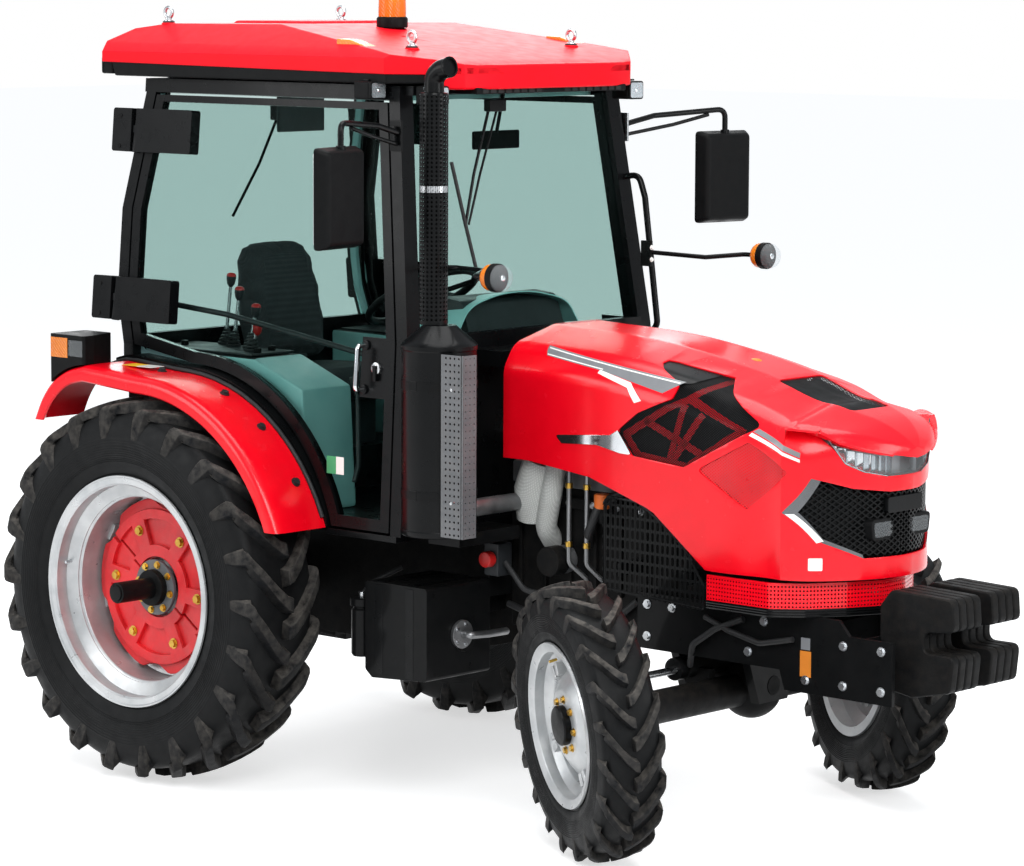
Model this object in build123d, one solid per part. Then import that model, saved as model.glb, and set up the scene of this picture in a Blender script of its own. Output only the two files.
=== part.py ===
from build123d import *
import os
from math import atan2, cos, degrees, radians, sin, sqrt

# Compact four-wheel-drive cab tractor, in millimetres. While it is drawn, X runs forward from the
# rear axle, Y to the left and Z up from the ground. Every piece is moved at the end, so that the
# origin lies on the ground under the middle of the whole machine.

# ---- running gear -------------------------------------------------------------------------------
WHEELBASE = 1835.0
GROUND_SEAT = 0.3            # the gap between two pieces that rest on each other
PIVOT_GAP = 0.05             # radial clearance of a shaft in its hole
HOOD_PIN_GAP = 0.2           # radial clearance of the hood's thin tilt pins
MOVE_GAP = 8.0               # free gap beside a piece that moves
CAMBER = 5.5                 # the front wheels lean out at the top
STEER_REST = -28.5           # the front wheels as parked, turned to the right
STEER_LOCK = 42.0            # from straight ahead to either stop

# each wheel: tyre outer radius, tyre width, centre distance from the middle, bead seat radius,
# flange radius, half width over the rim flanges, depth of the drop centre
REAR = dict(tyre_r=630.0, tyre_w=318.0, track=762.0, seat_r=356.0, flange_r=381.0, rim_half=146.0,
            drop=46.0)
FRONT = dict(tyre_r=422.5, tyre_w=198.0, track=718.0, seat_r=229.0, flange_r=252.0, rim_half=94.0,
             drop=34.0)
RIM_WALL = 7.0
CROWN_DROP = 0.034           # fall of the crown at the tread's edge, as a share of the tyre radius
KINGPIN_Y = 704.0
KINGPIN_R = 18.0
KINGPIN_BOSS_R = 42.0
KINGPIN_BOSS_H = 84.0
SPINDLE_R = 30.0
SPINDLE_TIP = 78.0           # in the wheel's own frame, out from its centre plane
HUB_BACK = 52.0
FRONT_FACE = 70.0            # outer face of the front disc at its hub
REAR_SHAFT_R = 36.0
REAR_SHAFT_END = 954.0
WEIGHT_R = 292.0             # rear wheel weight
WEIGHT_FACE = 770.0
WEIGHT_T = 62.0

# ---- driveline and frame ------------------------------------------------------------------------
ENGINE = dict(x0=1060.0, x1=1900.0, half=205.0, z0=560.0, z1=1120.0)
GEARBOX_END = 1059.7
AXLE_R = 88.0
FRAME_Y = 240.0
FRAME_T = 14.0
FRAME_Z = (500.0, 735.0)
FRAME_END = 2600.0
BEAM_R = 52.0
ARM_L = 82.0                # steering arm, from the kingpin back to its ball
TIE_R = 12.0
TIE_Z = 82.0                 # the steering rod runs this far above the wheel centres
WEIGHTS_X = (2500.0, 2770.0)
WEIGHTS_Z = (520.0, 835.0)
PLATE_T = 37.0
PLATES_PER_SIDE = 4

# ---- cab ----------------------------------------------------------------------------------------
SILL_Z = 880.0
SIDE_SILL_Y = 640.0          # half width of the cab at the sill
SIDE_LEAN = 0.084            # inward lean of the cab's sides for each unit of height
CAB_TOP_Z = 2255.0
CAP_T = 30.0                 # plate across the top of the cab's posts
POST_T = 46.0
POST_DEPTH = 60.0
LIP = 14.0
DOOR_TOP = 2232.0
DOOR_RAIL = 38.0
TOP_RAIL_SHARE = 0.6         # height of the door's top rail as a share of its other rails
FLOOR_Z = 900.0
SEAT_DECK_Z = 1040.0
FLOOR_STEP = 130.0
CAB_FRONT = 965.0
CAB_REAR = -335.0
ARCH_WALL_Y = 560.0
HINGE_Z = (1550.0, 2110.0)
HINGE_OUT = 40.0             # hinge line outside the door's outer face
HINGE_BACK = 10.0            # and behind the door's rear edge
SKIN_T = 30.0
GLASS_T = 6.0
FLOOR_T = 40.0
REAR_POST = [(-345.0, 1400.0), (-388.0, 1560.0), (-388.0, 1850.0), (-297.0, CAB_TOP_Z)]
COVER_Z = 72.0               # half height of a hinge cover
COVER_OUT = 54.0             # its outer face, outside the cab's side
COVER_X = (-112.0, 268.0)    # its ends, from the hinge line
NOSE_R = 14.0                # round rear end of the part that turns with the door
FRONT_POST = [(985.0, SILL_Z), (965.0, 1480.0), (868.0, CAB_TOP_Z)]
ARCH_R = 700.0               # outer radius of the rear fender about the axle
ARCH_GAP = 26.0              # from the fender to the door's lower edge
FENDER_Y = (640.0, 860.0)
FENDER_T = 8.0
FENDER_LIP = 22.0
ROOF_Z = (2290.0, 2445.0)
ROOF_HALF = 585.0
ROOF_X = (-500.0, 1065.0)
BEACON = (330.0, 0.0, 2468.0)
MIRROR = (1005.0, 925.0)
SIGNAL = (1400.0, 655.0, 1720.0)
FENDER_LAMP = (-365.0, 785.0, 1397.0)
CONSOLE_Y = (330.0, 556.0)
LEVERS = [(-110, -350, 230), (-40, -380, 190), (60, -400, 140), (130, -460, 90)]  # x, y, height
WHEEL_CENTRE = (470.0, 0.0, 1570.0)
WHEEL_AXIS = (-0.5, 0.0, 0.87)
WHEEL_R = 190.0

# ---- tanks and exhaust --------------------------------------------------------------------------
TANK = dict(x0=790.0, x1=1060.0, y0=305.0, y1=600.0, z0=410.0, z1=720.0)
MUFFLER = dict(x=1112.0, y=-600.0, r=120.0, z=(900.0, 1500.0))
STACK = dict(x=1087.0, r=45.0, top=2270.0)
RADIATOR_X = 2100.0
SCREEN_X = (1545.0, 1955.0)
SCREEN_Y = 318.0

# ---- hood ---------------------------------------------------------------------------------------
HOOD_X = (1150.0, 2580.0)
HOOD_HALF = 345.0
HOOD_WALL = 9.0
HOOD_LOW_Z = 850.0
BAND_Z = (765.0, 838.0)
BAND_T = 12.0
HOOD_PIN = (1175.0, 1470.0)
HOOD_HINGE_Y = 150.0

# ---- rear hitch ---------------------------------------------------------------------------------
LIFT_PIVOT = (-150.0, 790.0)
LIFT_TIP = (-480.0, 830.0)
LINK_PIVOT = (-60.0, 430.0)
LINK_RISE = 0.026            # height the lower links gain towards the rear, for each unit of length
ARM_Y = 205.0
ROD_Y = 236.0
DRAWBAR_PIN = -715.0         # the hole for the hitch pin, clear of the top link above it
LINK_Y = 205.0

# ---- ends of the whole machine ------------------------------------------------------------------
LINK_END = -830.0            # ball ends of the lower links
MIDDLE_X = (WEIGHTS_X[1] + LINK_END - 40.0) / 2

NODES = {}


# ---- shape helpers ------------------------------------------------------------------------------
def prism(axis, points, low, high, radius=0.0):
    """Prism of an outline: (y, z) points along X, (x, z) points along Y or (x, y) along Z."""
    place = {
        "x": lambda a, b: (low, a, b),
        "y": lambda a, b: (a, low, b),
        "z": lambda a, b: (a, b, low),
    }[axis]
    corners = [place(a, b) for a, b in points]
    rounded = radius if isinstance(radius, (list, tuple)) else [radius] * len(corners)
    if any(rounded):
        wire = FilletPolyline(*corners, radius=rounded, close=True)
    else:
        wire = Polyline(*corners, close=True)
    direction = {"x": (1, 0, 0), "y": (0, 1, 0), "z": (0, 0, 1)}[axis]
    return extrude(make_face(wire), amount=high - low, dir=direction)


def block(x, y, z, radius=0.0):
    """Box between pairs of X, Y and Z values, with rounded upright corners."""
    corners = [(x[0], y[0]), (x[1], y[0]), (x[1], y[1]), (x[0], y[1])]
    return prism("z", corners, z[0], z[1], radius)


def rod(start, end, radius):
    """Round bar between two points."""
    a, b = Vector(*start), Vector(*end)
    plane = Plane(origin=a, z_dir=b - a)
    return plane * Cylinder(radius, (b - a).length, align=(Align.CENTER, Align.CENTER, Align.MIN))


def bent_bar(points, radius, bend):
    """Round bar along straight runs joined by bends of one radius."""
    path = FilletPolyline(*points, radius=bend)
    return sweep(Plane(origin=path @ 0, z_dir=path % 0) * Circle(radius), path=path)


def lathe(profile):
    """Ring or disc about the Y axis from (y, radius) corners."""
    wire = Polyline(*[(0, y, r) for y, r in profile], close=True)
    return revolve(make_face(wire), axis=Axis((0, 0, 0), (0, 1, 0)))


def other_side(shape):
    """The same piece on the other side of the tractor."""
    return mirror(shape, about=Plane.XZ)


def side_y(z, side):
    """Y of the cab's outer side at a height; side is -1 on the right and 1 on the left."""
    return side * (SIDE_SILL_Y - (z - SILL_Z) * SIDE_LEAN)


def side_panel(points, side, depth, inset=0.0, radius=0.0):
    """Panel in the leaning plane of the cab's side, from (x, z) corners."""
    lean = atan2(SIDE_LEAN, 1.0)
    corners = [(x, (z - SILL_Z) / cos(lean)) for x, z in points]
    flat = prism("y", corners, -depth - inset, -inset, radius)
    flat = Pos(0, SIDE_SILL_Y, SILL_Z) * Rot(degrees(lean), 0, 0) * flat
    return flat if side > 0 else other_side(flat)


def on_line(line, z):
    """X of a chain of (x, z) points at a height."""
    for (xa, za), (xb, zb) in zip(line, line[1:]):
        if min(za, zb) - 1e-6 <= z <= max(za, zb) + 1e-6:
            return xa + (xb - xa) * (z - za) / (zb - za)
    raise ValueError("height outside the line")


def add(name, shape, side=None):
    """Keep a piece under its node name, with the side's name after it."""
    NODES[name if side is None else name + ("_right" if side < 0 else "_left")] = shape


# ---- wheels -------------------------------------------------------------------------------------
def crown_radius(wheel):
    half, drop = wheel["tyre_w"] * 0.46, wheel["tyre_r"] * CROWN_DROP
    return (half * half + drop * drop) / (2 * drop)


def tyre(wheel):
    """Tyre as one closed ring about the Y axis, from bead to bead over the crown."""
    bead = wheel["rim_half"] - 12.0
    foot = wheel["seat_r"] + GROUND_SEAT
    half = wheel["tyre_w"] / 2
    shoulder = wheel["tyre_w"] * 0.46
    edge = wheel["tyre_r"] * (1 - CROWN_DROP)
    top = wheel["tyre_r"]
    middle = (wheel["flange_r"] + top) / 2
    clear = wheel["flange_r"] + 6.0
    parts = []
    for s in (-1, 1):
        parts.append(Line((0, s * bead, foot), (0, s * bead, clear)))
        parts.append(ThreePointArc((0, s * bead, clear), (0, s * half, middle), (0, s * shoulder, edge)))
    parts.append(ThreePointArc((0, -shoulder, edge), (0, 0, top), (0, shoulder, edge)))
    parts.append(Line((0, -bead, foot), (0, bead, foot)))
    return revolve(make_face(Wire(Curve() + parts)), axis=Axis((0, 0, 0), (0, 1, 0)))


def rim(wheel, edge_y, face_y, hub_r, bore_r):
    """Steel rim with a drop centre and a dished disc; +Y points away from the tractor."""
    half, seat, flange, drop = (wheel[k] for k in ("rim_half", "seat_r", "flange_r", "drop"))
    outer = [
        (-half, flange), (-half + 10, flange), (-half + 11, seat), (-half + 48, seat),
        (-half + 70, seat - drop), (half - 70, seat - drop), (half - 48, seat), (half - 11, seat),
        (half - 10, flange), (half, flange),
    ]
    inner = [
        (half, seat - RIM_WALL), (half - 52, seat - RIM_WALL), (half - 74, seat - drop - RIM_WALL),
        (-half + 74, seat - drop - RIM_WALL), (-half + 52, seat - RIM_WALL), (-half, seat - RIM_WALL),
    ]
    inside = seat - drop - RIM_WALL / 2
    disc = [(edge_y - 8, inside), (edge_y + 8, inside), (face_y, hub_r), (face_y, bore_r),
            (face_y - 14, bore_r), (face_y - 14, hub_r)]
    return lathe(outer + inner) + lathe(disc)


def rear_wheels():
    face = WEIGHT_FACE - REAR["track"]
    disc_y = face - WEIGHT_T
    for side in (-1, 1):
        place = Pos(0, side * REAR["track"], REAR["tyre_r"]) * Rot(0, 0, 0 if side > 0 else 180)
        shaft = rod((0, 400 - REAR["track"], 0), (0, REAR_SHAFT_END - REAR["track"], 0), REAR_SHAFT_R)
        hub = rod((0, disc_y - 70, 0), (0, disc_y - 5, 0), 96.0)
        add("rear_tyre", place * tyre(REAR), side)
        add("rear_rim", place * (rim(REAR, disc_y - 8, disc_y, 120.0, REAR_SHAFT_R - 2) + hub + shaft),
            side)
        back = disc_y + GROUND_SEAT
        weight = lathe([(back, 62.0), (face, 62.0), (face, WEIGHT_R - 26), (face - 14, WEIGHT_R),
                        (back, WEIGHT_R)])
        add("wheel_weight", place * weight, side)


def front_height():
    """Height of the front wheel's centre, from the tyre's lowest point under its camber."""
    r = crown_radius(FRONT)
    return (FRONT["tyre_r"] - r) * cos(radians(CAMBER)) + r


FRONT_Z = front_height()
FRONT_OFFSET = FRONT["track"] - KINGPIN_Y


def front_place(side):
    """Place of a front wheel: on its kingpin, turned as parked, leaning by its camber."""
    turn = STEER_REST + (0 if side > 0 else 180)
    return (Pos(WHEELBASE, side * KINGPIN_Y, FRONT_Z) * Rot(0, 0, turn) * Pos(0, FRONT_OFFSET, 0)
            * Rot(-CAMBER, 0, 0))


def front_wheels():
    for side in (-1, 1):
        place = front_place(side)
        hub = lathe([(HUB_BACK, SPINDLE_R + PIVOT_GAP), (SPINDLE_TIP + 2, SPINDLE_R + PIVOT_GAP),
                     (SPINDLE_TIP + 2, 0.0), (SPINDLE_TIP + 18, 0.0), (SPINDLE_TIP + 18, 52.0),
                     (FRONT_FACE, 60.0), (HUB_BACK, 60.0)])
        add("front_tyre", place * tyre(FRONT), side)
        add("front_rim", place * (rim(FRONT, 10.0, FRONT_FACE, 100.0, 55.0) + hub), side)


def knuckle_turn(side):
    """Place of a knuckle: on its kingpin, turned as parked; +Y points away from the tractor."""
    return Pos(WHEELBASE, side * KINGPIN_Y, FRONT_Z) * Rot(0, 0, STEER_REST + (0 if side > 0 else 180))


def knuckles():
    """Steering knuckles: a fork round the beam's boss, the kingpin, the spindle and its arm."""
    high = KINGPIN_BOSS_H / 2 + GROUND_SEAT
    plate = 22.0
    for side in (-1, 1):
        fork = Part()
        for low, top in ((high, high + plate), (-high - plate, -high)):
            fork += prism("z", [(-48, -44), (48, -44), (48, 54), (-48, 54)], low, top, [24, 24, 0, 0])
        fork += prism("y", [(-48, -high - plate), (48, -high - plate), (48, high + plate),
                            (-48, high + plate)], 44.0, 54.0)
        fork += rod((0, 0, -high - plate), (0, 0, high + plate), KINGPIN_R)
        stub = Pos(0, FRONT_OFFSET, 0) * Rot(-CAMBER, 0, 0) * rod((0, 33, 0), (0, SPINDLE_TIP, 0), SPINDLE_R)
        tip = -side * ARM_L
        arm = prism("z", [(0, -24), (0, 24), (tip, 18), (tip, -18)], high, high + 18.0)
        arm += Pos(tip, 0, high + 9) * Cylinder(22.0, 18.0)
        add("knuckle", knuckle_turn(side) * (fork + stub + arm), side)


def steering_rod():
    """The cylinder's through rod, with an eye above each steering arm's ball."""
    turn = radians(STEER_REST)
    x = WHEELBASE - ARM_L * cos(turn)
    z = FRONT_Z + TIE_Z
    ends = [side * KINGPIN_Y - ARM_L * sin(turn) for side in (-1, 1)]
    bar = rod((x, ends[0], z), (x, ends[1], z), TIE_R)
    for y in ends:
        bar += Pos(x, y, z) * Cylinder(20.0, 2 * TIE_R + 4)
    add("steering_rod", bar)


# ---- driveline and frame ------------------------------------------------------------------------
def driveline():
    e = ENGINE
    outline = [(e["x0"], e["z0"]), (1600, e["z0"]), (1640, e["z0"] + 90), (e["x1"], e["z0"] + 90),
               (e["x1"], e["z1"]), (e["x0"], e["z1"])]
    add("engine_block", prism("y", outline, -e["half"], e["half"]))
    case = prism("y", [(-250, 470), (180, 430), (GEARBOX_END - 250, 440), (GEARBOX_END, 500),
                       (GEARBOX_END, FLOOR_Z - FLOOR_T - 6), (180, FLOOR_Z - FLOOR_T - 6), (60, 860),
                       (-200, 860), (-250, 760)], -165, 165)
    axle = rod((0, -392, REAR["tyre_r"]), (0, 392, REAR["tyre_r"]), AXLE_R)
    for side in (-1, 1):
        axle += rod((0, side * 392, REAR["tyre_r"]), (0, side * 628, REAR["tyre_r"]), AXLE_R + 34)
        axle -= rod((0, side * 390, REAR["tyre_r"]), (0, side * 640, REAR["tyre_r"]), REAR_SHAFT_R + PIVOT_GAP)
    add("transmission_housing", case - rod((0, -400, REAR["tyre_r"]), (0, 400, REAR["tyre_r"]),
                                           AXLE_R + GROUND_SEAT))
    add("rear_axle_housing", axle)
    pto = rod((-250 - GROUND_SEAT, 0, 560), (-262, 0, 560), 60.0) + rod((-262, 0, 560), (-360, 0, 560), 17.5)
    add("pto_shaft", pto)
    bar = prism("y", [(DRAWBAR_PIN - 50, 380), (150, 380), (150, 420), (DRAWBAR_PIN - 50, 420)], -40, 40)
    bar += prism("y", [(-250, 400), (150, 400), (150, 432.2), (-250, 469.6)], -90, 90)
    add("drawbar", bar - rod((DRAWBAR_PIN, 0, 300), (DRAWBAR_PIN, 0, 500), 12.5))


def front_frame():
    """Two side plates, the engine cradle, the axle pivot and the weight carrier."""
    x0 = ENGINE["x0"] + 560
    frame = Part()
    plate = [(x0, FRAME_Z[0] + 60), (2180, FRAME_Z[0] + 60), (2200, FRAME_Z[0]), (FRAME_END, FRAME_Z[0]),
             (FRAME_END, 690), (2440, 690), (2400, FRAME_Z[1]), (x0, FRAME_Z[1])]
    for side in (-1, 1):
        frame += prism("y", plate, *sorted((side * FRAME_Y, side * (FRAME_Y - FRAME_T))))
    inner = (-FRAME_Y + FRAME_T, FRAME_Y - FRAME_T)
    for x in ((ENGINE["x1"] + 40, ENGINE["x1"] + 60), (2180, 2200), (2470, 2490)):
        frame += block(x, inner, (FRAME_Z[0] + 70, FRAME_Z[1] - 60))
    for side in (-1, 1):
        frame += block((ENGINE["x0"] + 600, ENGINE["x0"] + 700),
                       sorted((side * (ENGINE["half"] + GROUND_SEAT), side * (FRAME_Y - FRAME_T))), (670, 720))
    frame += block((2490, WEIGHTS_X[0] - GROUND_SEAT), inner, (560, 690))
    pivot = FRONT_Z + 30
    for x in (WHEELBASE - 180, WHEELBASE + 104):
        frame += prism("x", [(-70, pivot - 50), (70, pivot - 50), (150, FRAME_Z[0] + 120),
                             (-150, FRAME_Z[0] + 120)], x, x + 32)
        frame += block((x, x + 32), inner, (FRAME_Z[0] + 100, FRAME_Z[0] + 140))
    frame -= rod((WHEELBASE - 200, 0, pivot), (WHEELBASE + 200, 0, pivot), 30.0 + GROUND_SEAT)
    add("front_frame", frame)


def front_axle():
    """Axle beam with its differential, pivot pins, kingpin bosses and steering cylinder."""
    tip = KINGPIN_Y - 20
    beam = rod((WHEELBASE, -tip, FRONT_Z), (WHEELBASE, tip, FRONT_Z), BEAM_R - 14)
    beam += rod((WHEELBASE, -tip + 190, FRONT_Z), (WHEELBASE, tip - 190, FRONT_Z), BEAM_R)
    beam += Pos(WHEELBASE, 60, FRONT_Z) * Sphere(98.0)
    beam += rod((WHEELBASE - 182, 0, FRONT_Z + 30), (WHEELBASE + 138, 0, FRONT_Z + 30), 30.0)
    for side in (-1, 1):
        boss = Pos(WHEELBASE, side * KINGPIN_Y, FRONT_Z) * Cylinder(KINGPIN_BOSS_R, KINGPIN_BOSS_H)
        beam += boss
        beam -= (Pos(WHEELBASE, side * KINGPIN_Y, FRONT_Z)
                 * Cylinder(KINGPIN_R + PIVOT_GAP, KINGPIN_BOSS_H + 2))
    x = WHEELBASE - ARM_L * cos(radians(STEER_REST))
    z = FRONT_Z + TIE_Z
    beam += rod((x, -190, z), (x, 190, z), 32.0)
    for y in (-150, 122):
        beam += block((x - 20, WHEELBASE), (y, y + 28), (FRONT_Z - 20, z))
    beam -= rod((x, -200, z), (x, 200, z), TIE_R + PIVOT_GAP)
    add("front_axle_beam", beam)


def front_weights():
    """Two groups of suitcase weights with a tow gap between them."""
    x0, x1 = WEIGHTS_X
    z0, z1 = WEIGHTS_Z
    profile = [(x0, z0 + 20), (x0 + 120, z0), (x1 - 12, z0 + 30), (x1, z0 + 140), (x1 - 110, z0 + 140),
               (x1 - 110, z1 - 115), (x1, z1 - 105), (x1 - 8, z1 - 8), (x0 + 40, z1), (x0, z1 - 50)]
    weights = Part()
    for side in (-1, 1):
        for i in range(PLATES_PER_SIDE):
            low = 26.0 + i * PLATE_T
            weights += prism("y", profile, *sorted((side * low, side * (low + PLATE_T - 2.0))))
        weights += block((x0 + 20, x1 - 130), sorted((side * 26.0, side * (26.0 + PLATES_PER_SIDE * PLATE_T - 2))),
                         (z0 + 60, z0 + 200))
    weights += block((x0, x0 + 60), (-30, 30), (z0 + 60, z0 + 170))
    add("front_weights", weights)


# ---- tanks, exhaust and engine bay --------------------------------------------------------------
def chassis_boxes():
    tank = prism("y", [(TANK["x0"], TANK["z0"] + 25), (TANK["x0"] + 30, TANK["z0"]), (TANK["x1"], TANK["z0"] + 14),
                       (TANK["x1"], TANK["z1"]), (TANK["x0"], TANK["z1"])], -TANK["y1"], -TANK["y0"], 12.0)
    tank += rod((TANK["x1"] - 2, -430, 545), (TANK["x1"] + 10, -430, 545), 42.0)
    for x in (TANK["x0"] + 60, TANK["x1"] - 90):
        tank += block((x, x + 30), (-TANK["y0"] - 40, -165 - GROUND_SEAT), (600, 660))
    add("fuel_tank", tank)
    box = block((610, 1030), (330, 470), (430, 740), 12.0)
    for x in (660, 900):
        box += block((x, x + 40), (165 + GROUND_SEAT, 332), (560, 620))
    box += block((640, 1000), (440, 620), (740, 765)) + block((640, 1000), (470, 620), (430, 455))
    for x in (640, 980):
        box += block((x, x + 20), (600, 620), (430, 765))
    add("step_and_battery_box", box)


def exhaust():
    x, y, r = MUFFLER["x"], MUFFLER["y"], MUFFLER["r"]
    z0, z1 = MUFFLER["z"]
    foot = Align.CENTER, Align.CENTER, Align.MIN
    body = rod((x, y, z0), (x, y, z1), r)
    body += Pos(x, y, z1) * Cone(r, STACK["r"] + 6, 55.0, align=foot)
    inlet_x = x + 60
    body += bent_bar([(x, y, z0 + 80), (inlet_x, y + 80, z0 + 80), (inlet_x, -ENGINE["half"] - GROUND_SEAT, z0 + 80)],
                     28.0, 30.0)
    body += block((x - 75, x + 60), (y + 30, -290), (z0 - 40, z0 + 2))
    body += block((x - 75, x - 60), (-300, -165 - GROUND_SEAT), (z0 - 240, z0 - 20))
    add("muffler", body)
    sx, top = STACK["x"], STACK["top"]
    stack = rod((sx, y, z1 + 55 + GROUND_SEAT), (sx, y, top), STACK["r"])
    stack += bent_bar([(sx, y, top - 5), (sx, y, top + 50), (sx + 66, y, top + 76)], 34.0, 30.0)
    add("exhaust_stack", stack)
    x0, x1 = x + 100, x + 192
    shield = block((x0, x1), (y - 100, y - 97), (z0 + 12, z1 - 22))
    shield += block((x1 - 3, x1), (y - 100, y - 20), (z0 + 12, z1 - 22))
    for z in (z0 + 100, z1 - 150):
        shield += block((x + 40, x1 - 2), (y - 40, y - 30), (z, z + 40))
    add("heat_shield", shield - rod((x, y, z0 - 5), (x, y, z1 + 5), r + GROUND_SEAT))


def engine_bay():
    e = ENGINE
    core = block((RADIATOR_X, RADIATOR_X + 90), (-220, 220), (FRAME_Z[1] - 60 + GROUND_SEAT, 1230))
    core += block((RADIATOR_X - 60, RADIATOR_X), (-190, 190), (FRAME_Z[1] + 40, 1200))
    core += block((RADIATOR_X - 160, RADIATOR_X - 60), (-60, 60), (900, 1020))
    core += block((e["x1"] + GROUND_SEAT, RADIATOR_X - 150), (-30, 30), (930, 990))
    add("radiator", core)
    can = rod((1240, -40, 1235), (1560, -40, 1235), 95.0)
    can += block((1300, 1500), (-80, 0), (e["z1"] + GROUND_SEAT, 1180))
    add("air_cleaner", can)
    screens = Part()
    for side in (-1, 1):
        outline = [(SCREEN_X[0], 745), (SCREEN_X[0], 1010), (SCREEN_X[0] + 20, 1040), (1690, 1035), (1780, 985),
                   (1890, 900), (SCREEN_X[1], 790), (SCREEN_X[1], 720)]
        y = side * SCREEN_Y
        screens += prism("y", outline, *sorted((y, y + side * 6.0)))
        for x in (SCREEN_X[0] + 40, SCREEN_X[1] - 100):
            screens += block((x, x + 30), sorted((y, side * (e["half"] + GROUND_SEAT))), (790, 830))
    add("engine_screens", screens)


# ---- cab ----------------------------------------------------------------------------------------
def arch_curve(inset):
    """Outline of the rear wheel's arch in the XZ plane: over the tyre, then flatter to the rear."""
    r, centre = ARCH_R - inset, REAR["tyre_r"]
    front = (sqrt(r * r - (SILL_Z - centre) ** 2), 0, SILL_Z)
    middle = (r * cos(radians(55)), 0, centre + r * sin(radians(55)))
    crown, shelf = (0, 0, centre + r), (-260, 0, 1350 - inset)
    corner, tail = (-420 + 0.66 * inset, 0, 1285 - 0.75 * inset), (-510 + inset, 0, 1150)
    return [ThreePointArc(front, middle, crown), Line(crown, shelf), ThreePointArc(shelf, corner, tail)]


def arch_body(inset, y0, y1, low):
    """Everything under the arch's outline, down to a height, between two Y values."""
    curve = arch_curve(inset)
    start, end = curve[0] @ 0, curve[2] @ 1
    foot = [(end.X, 0, low), (start.X, 0, low)]
    edges = curve + [Line(end, foot[0]), Line(foot[0], foot[1]), Line(foot[1], start)]
    return Pos(0, y0, 0) * extrude(make_face(edges), amount=y1 - y0, dir=(0, 1, 0))


def fenders():
    """Rear fenders: a curved top over each tyre with a turned-down outer edge."""
    y0, y1 = FENDER_Y
    piece = arch_body(0, y0, y1, 850) - arch_body(FENDER_T, y0 - 1, y1 - FENDER_T, 800)
    piece -= arch_body(FENDER_LIP, y0 - 1, y1 + 1, 800)
    piece -= block((-700, 800), (y0 - 1, y1 + 1), (700, SILL_Z))
    piece -= block((-700, -300), (y0 - 1, y1 + 1), (700, 1152))
    add("rear_fenders", piece + other_side(piece))


def cab_floor():
    low = FLOOR_Z - FLOOR_T
    floor = block((FLOOR_STEP, CAB_FRONT), (-ARCH_WALL_Y, ARCH_WALL_Y), (low, FLOOR_Z))
    floor += block((FLOOR_STEP, FLOOR_STEP + 30), (-ARCH_WALL_Y, ARCH_WALL_Y), (low, SEAT_DECK_Z))
    floor += block((CAB_REAR, FLOOR_STEP + 30), (-ARCH_WALL_Y, ARCH_WALL_Y),
                   (SEAT_DECK_Z - FLOOR_T, SEAT_DECK_Z))
    door_back = SIDE_SILL_Y - SKIN_T - MOVE_GAP
    for side in (-1, 1):
        floor += block((657, CAB_FRONT), sorted((side * (ARCH_WALL_Y - 2), side * door_back)), (low, FLOOR_Z))
        floor += block((657, CAB_FRONT), sorted((side * (door_back - 2), side * SIDE_SILL_Y)),
                       (low, SILL_Z - GROUND_SEAT))
    for x in (-160, 700):
        for y in (-120, 60):
            base, top = (860, SEAT_DECK_Z - FLOOR_T) if x < 0 else (low - 6, low)
            floor += block((x, x + 60), (y, y + 60), (base + GROUND_SEAT, top + 1))
    add("cab_floor", floor)


def post(line, side, front):
    """One corner post along a chain of (x, z) points, with the stop its door closes on."""
    (xa, za), (xb, zb) = line[-2], line[-1]
    line = line[:-1] + [(xb + (xb - xa) * 22 / (zb - za), zb + 22)]
    turn = -1 if front else 1
    body = [(x, z) for x, z in line] + [(x + turn * POST_T, z) for x, z in reversed(line)]
    edge = [(x + turn * POST_T, z) for x, z in line]
    stop = edge + [(x + turn * LIP, z) for x, z in reversed(edge)]
    return side_panel(body, side, POST_DEPTH) + side_panel(stop, side, 16.0, inset=SKIN_T + MOVE_GAP)


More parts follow.
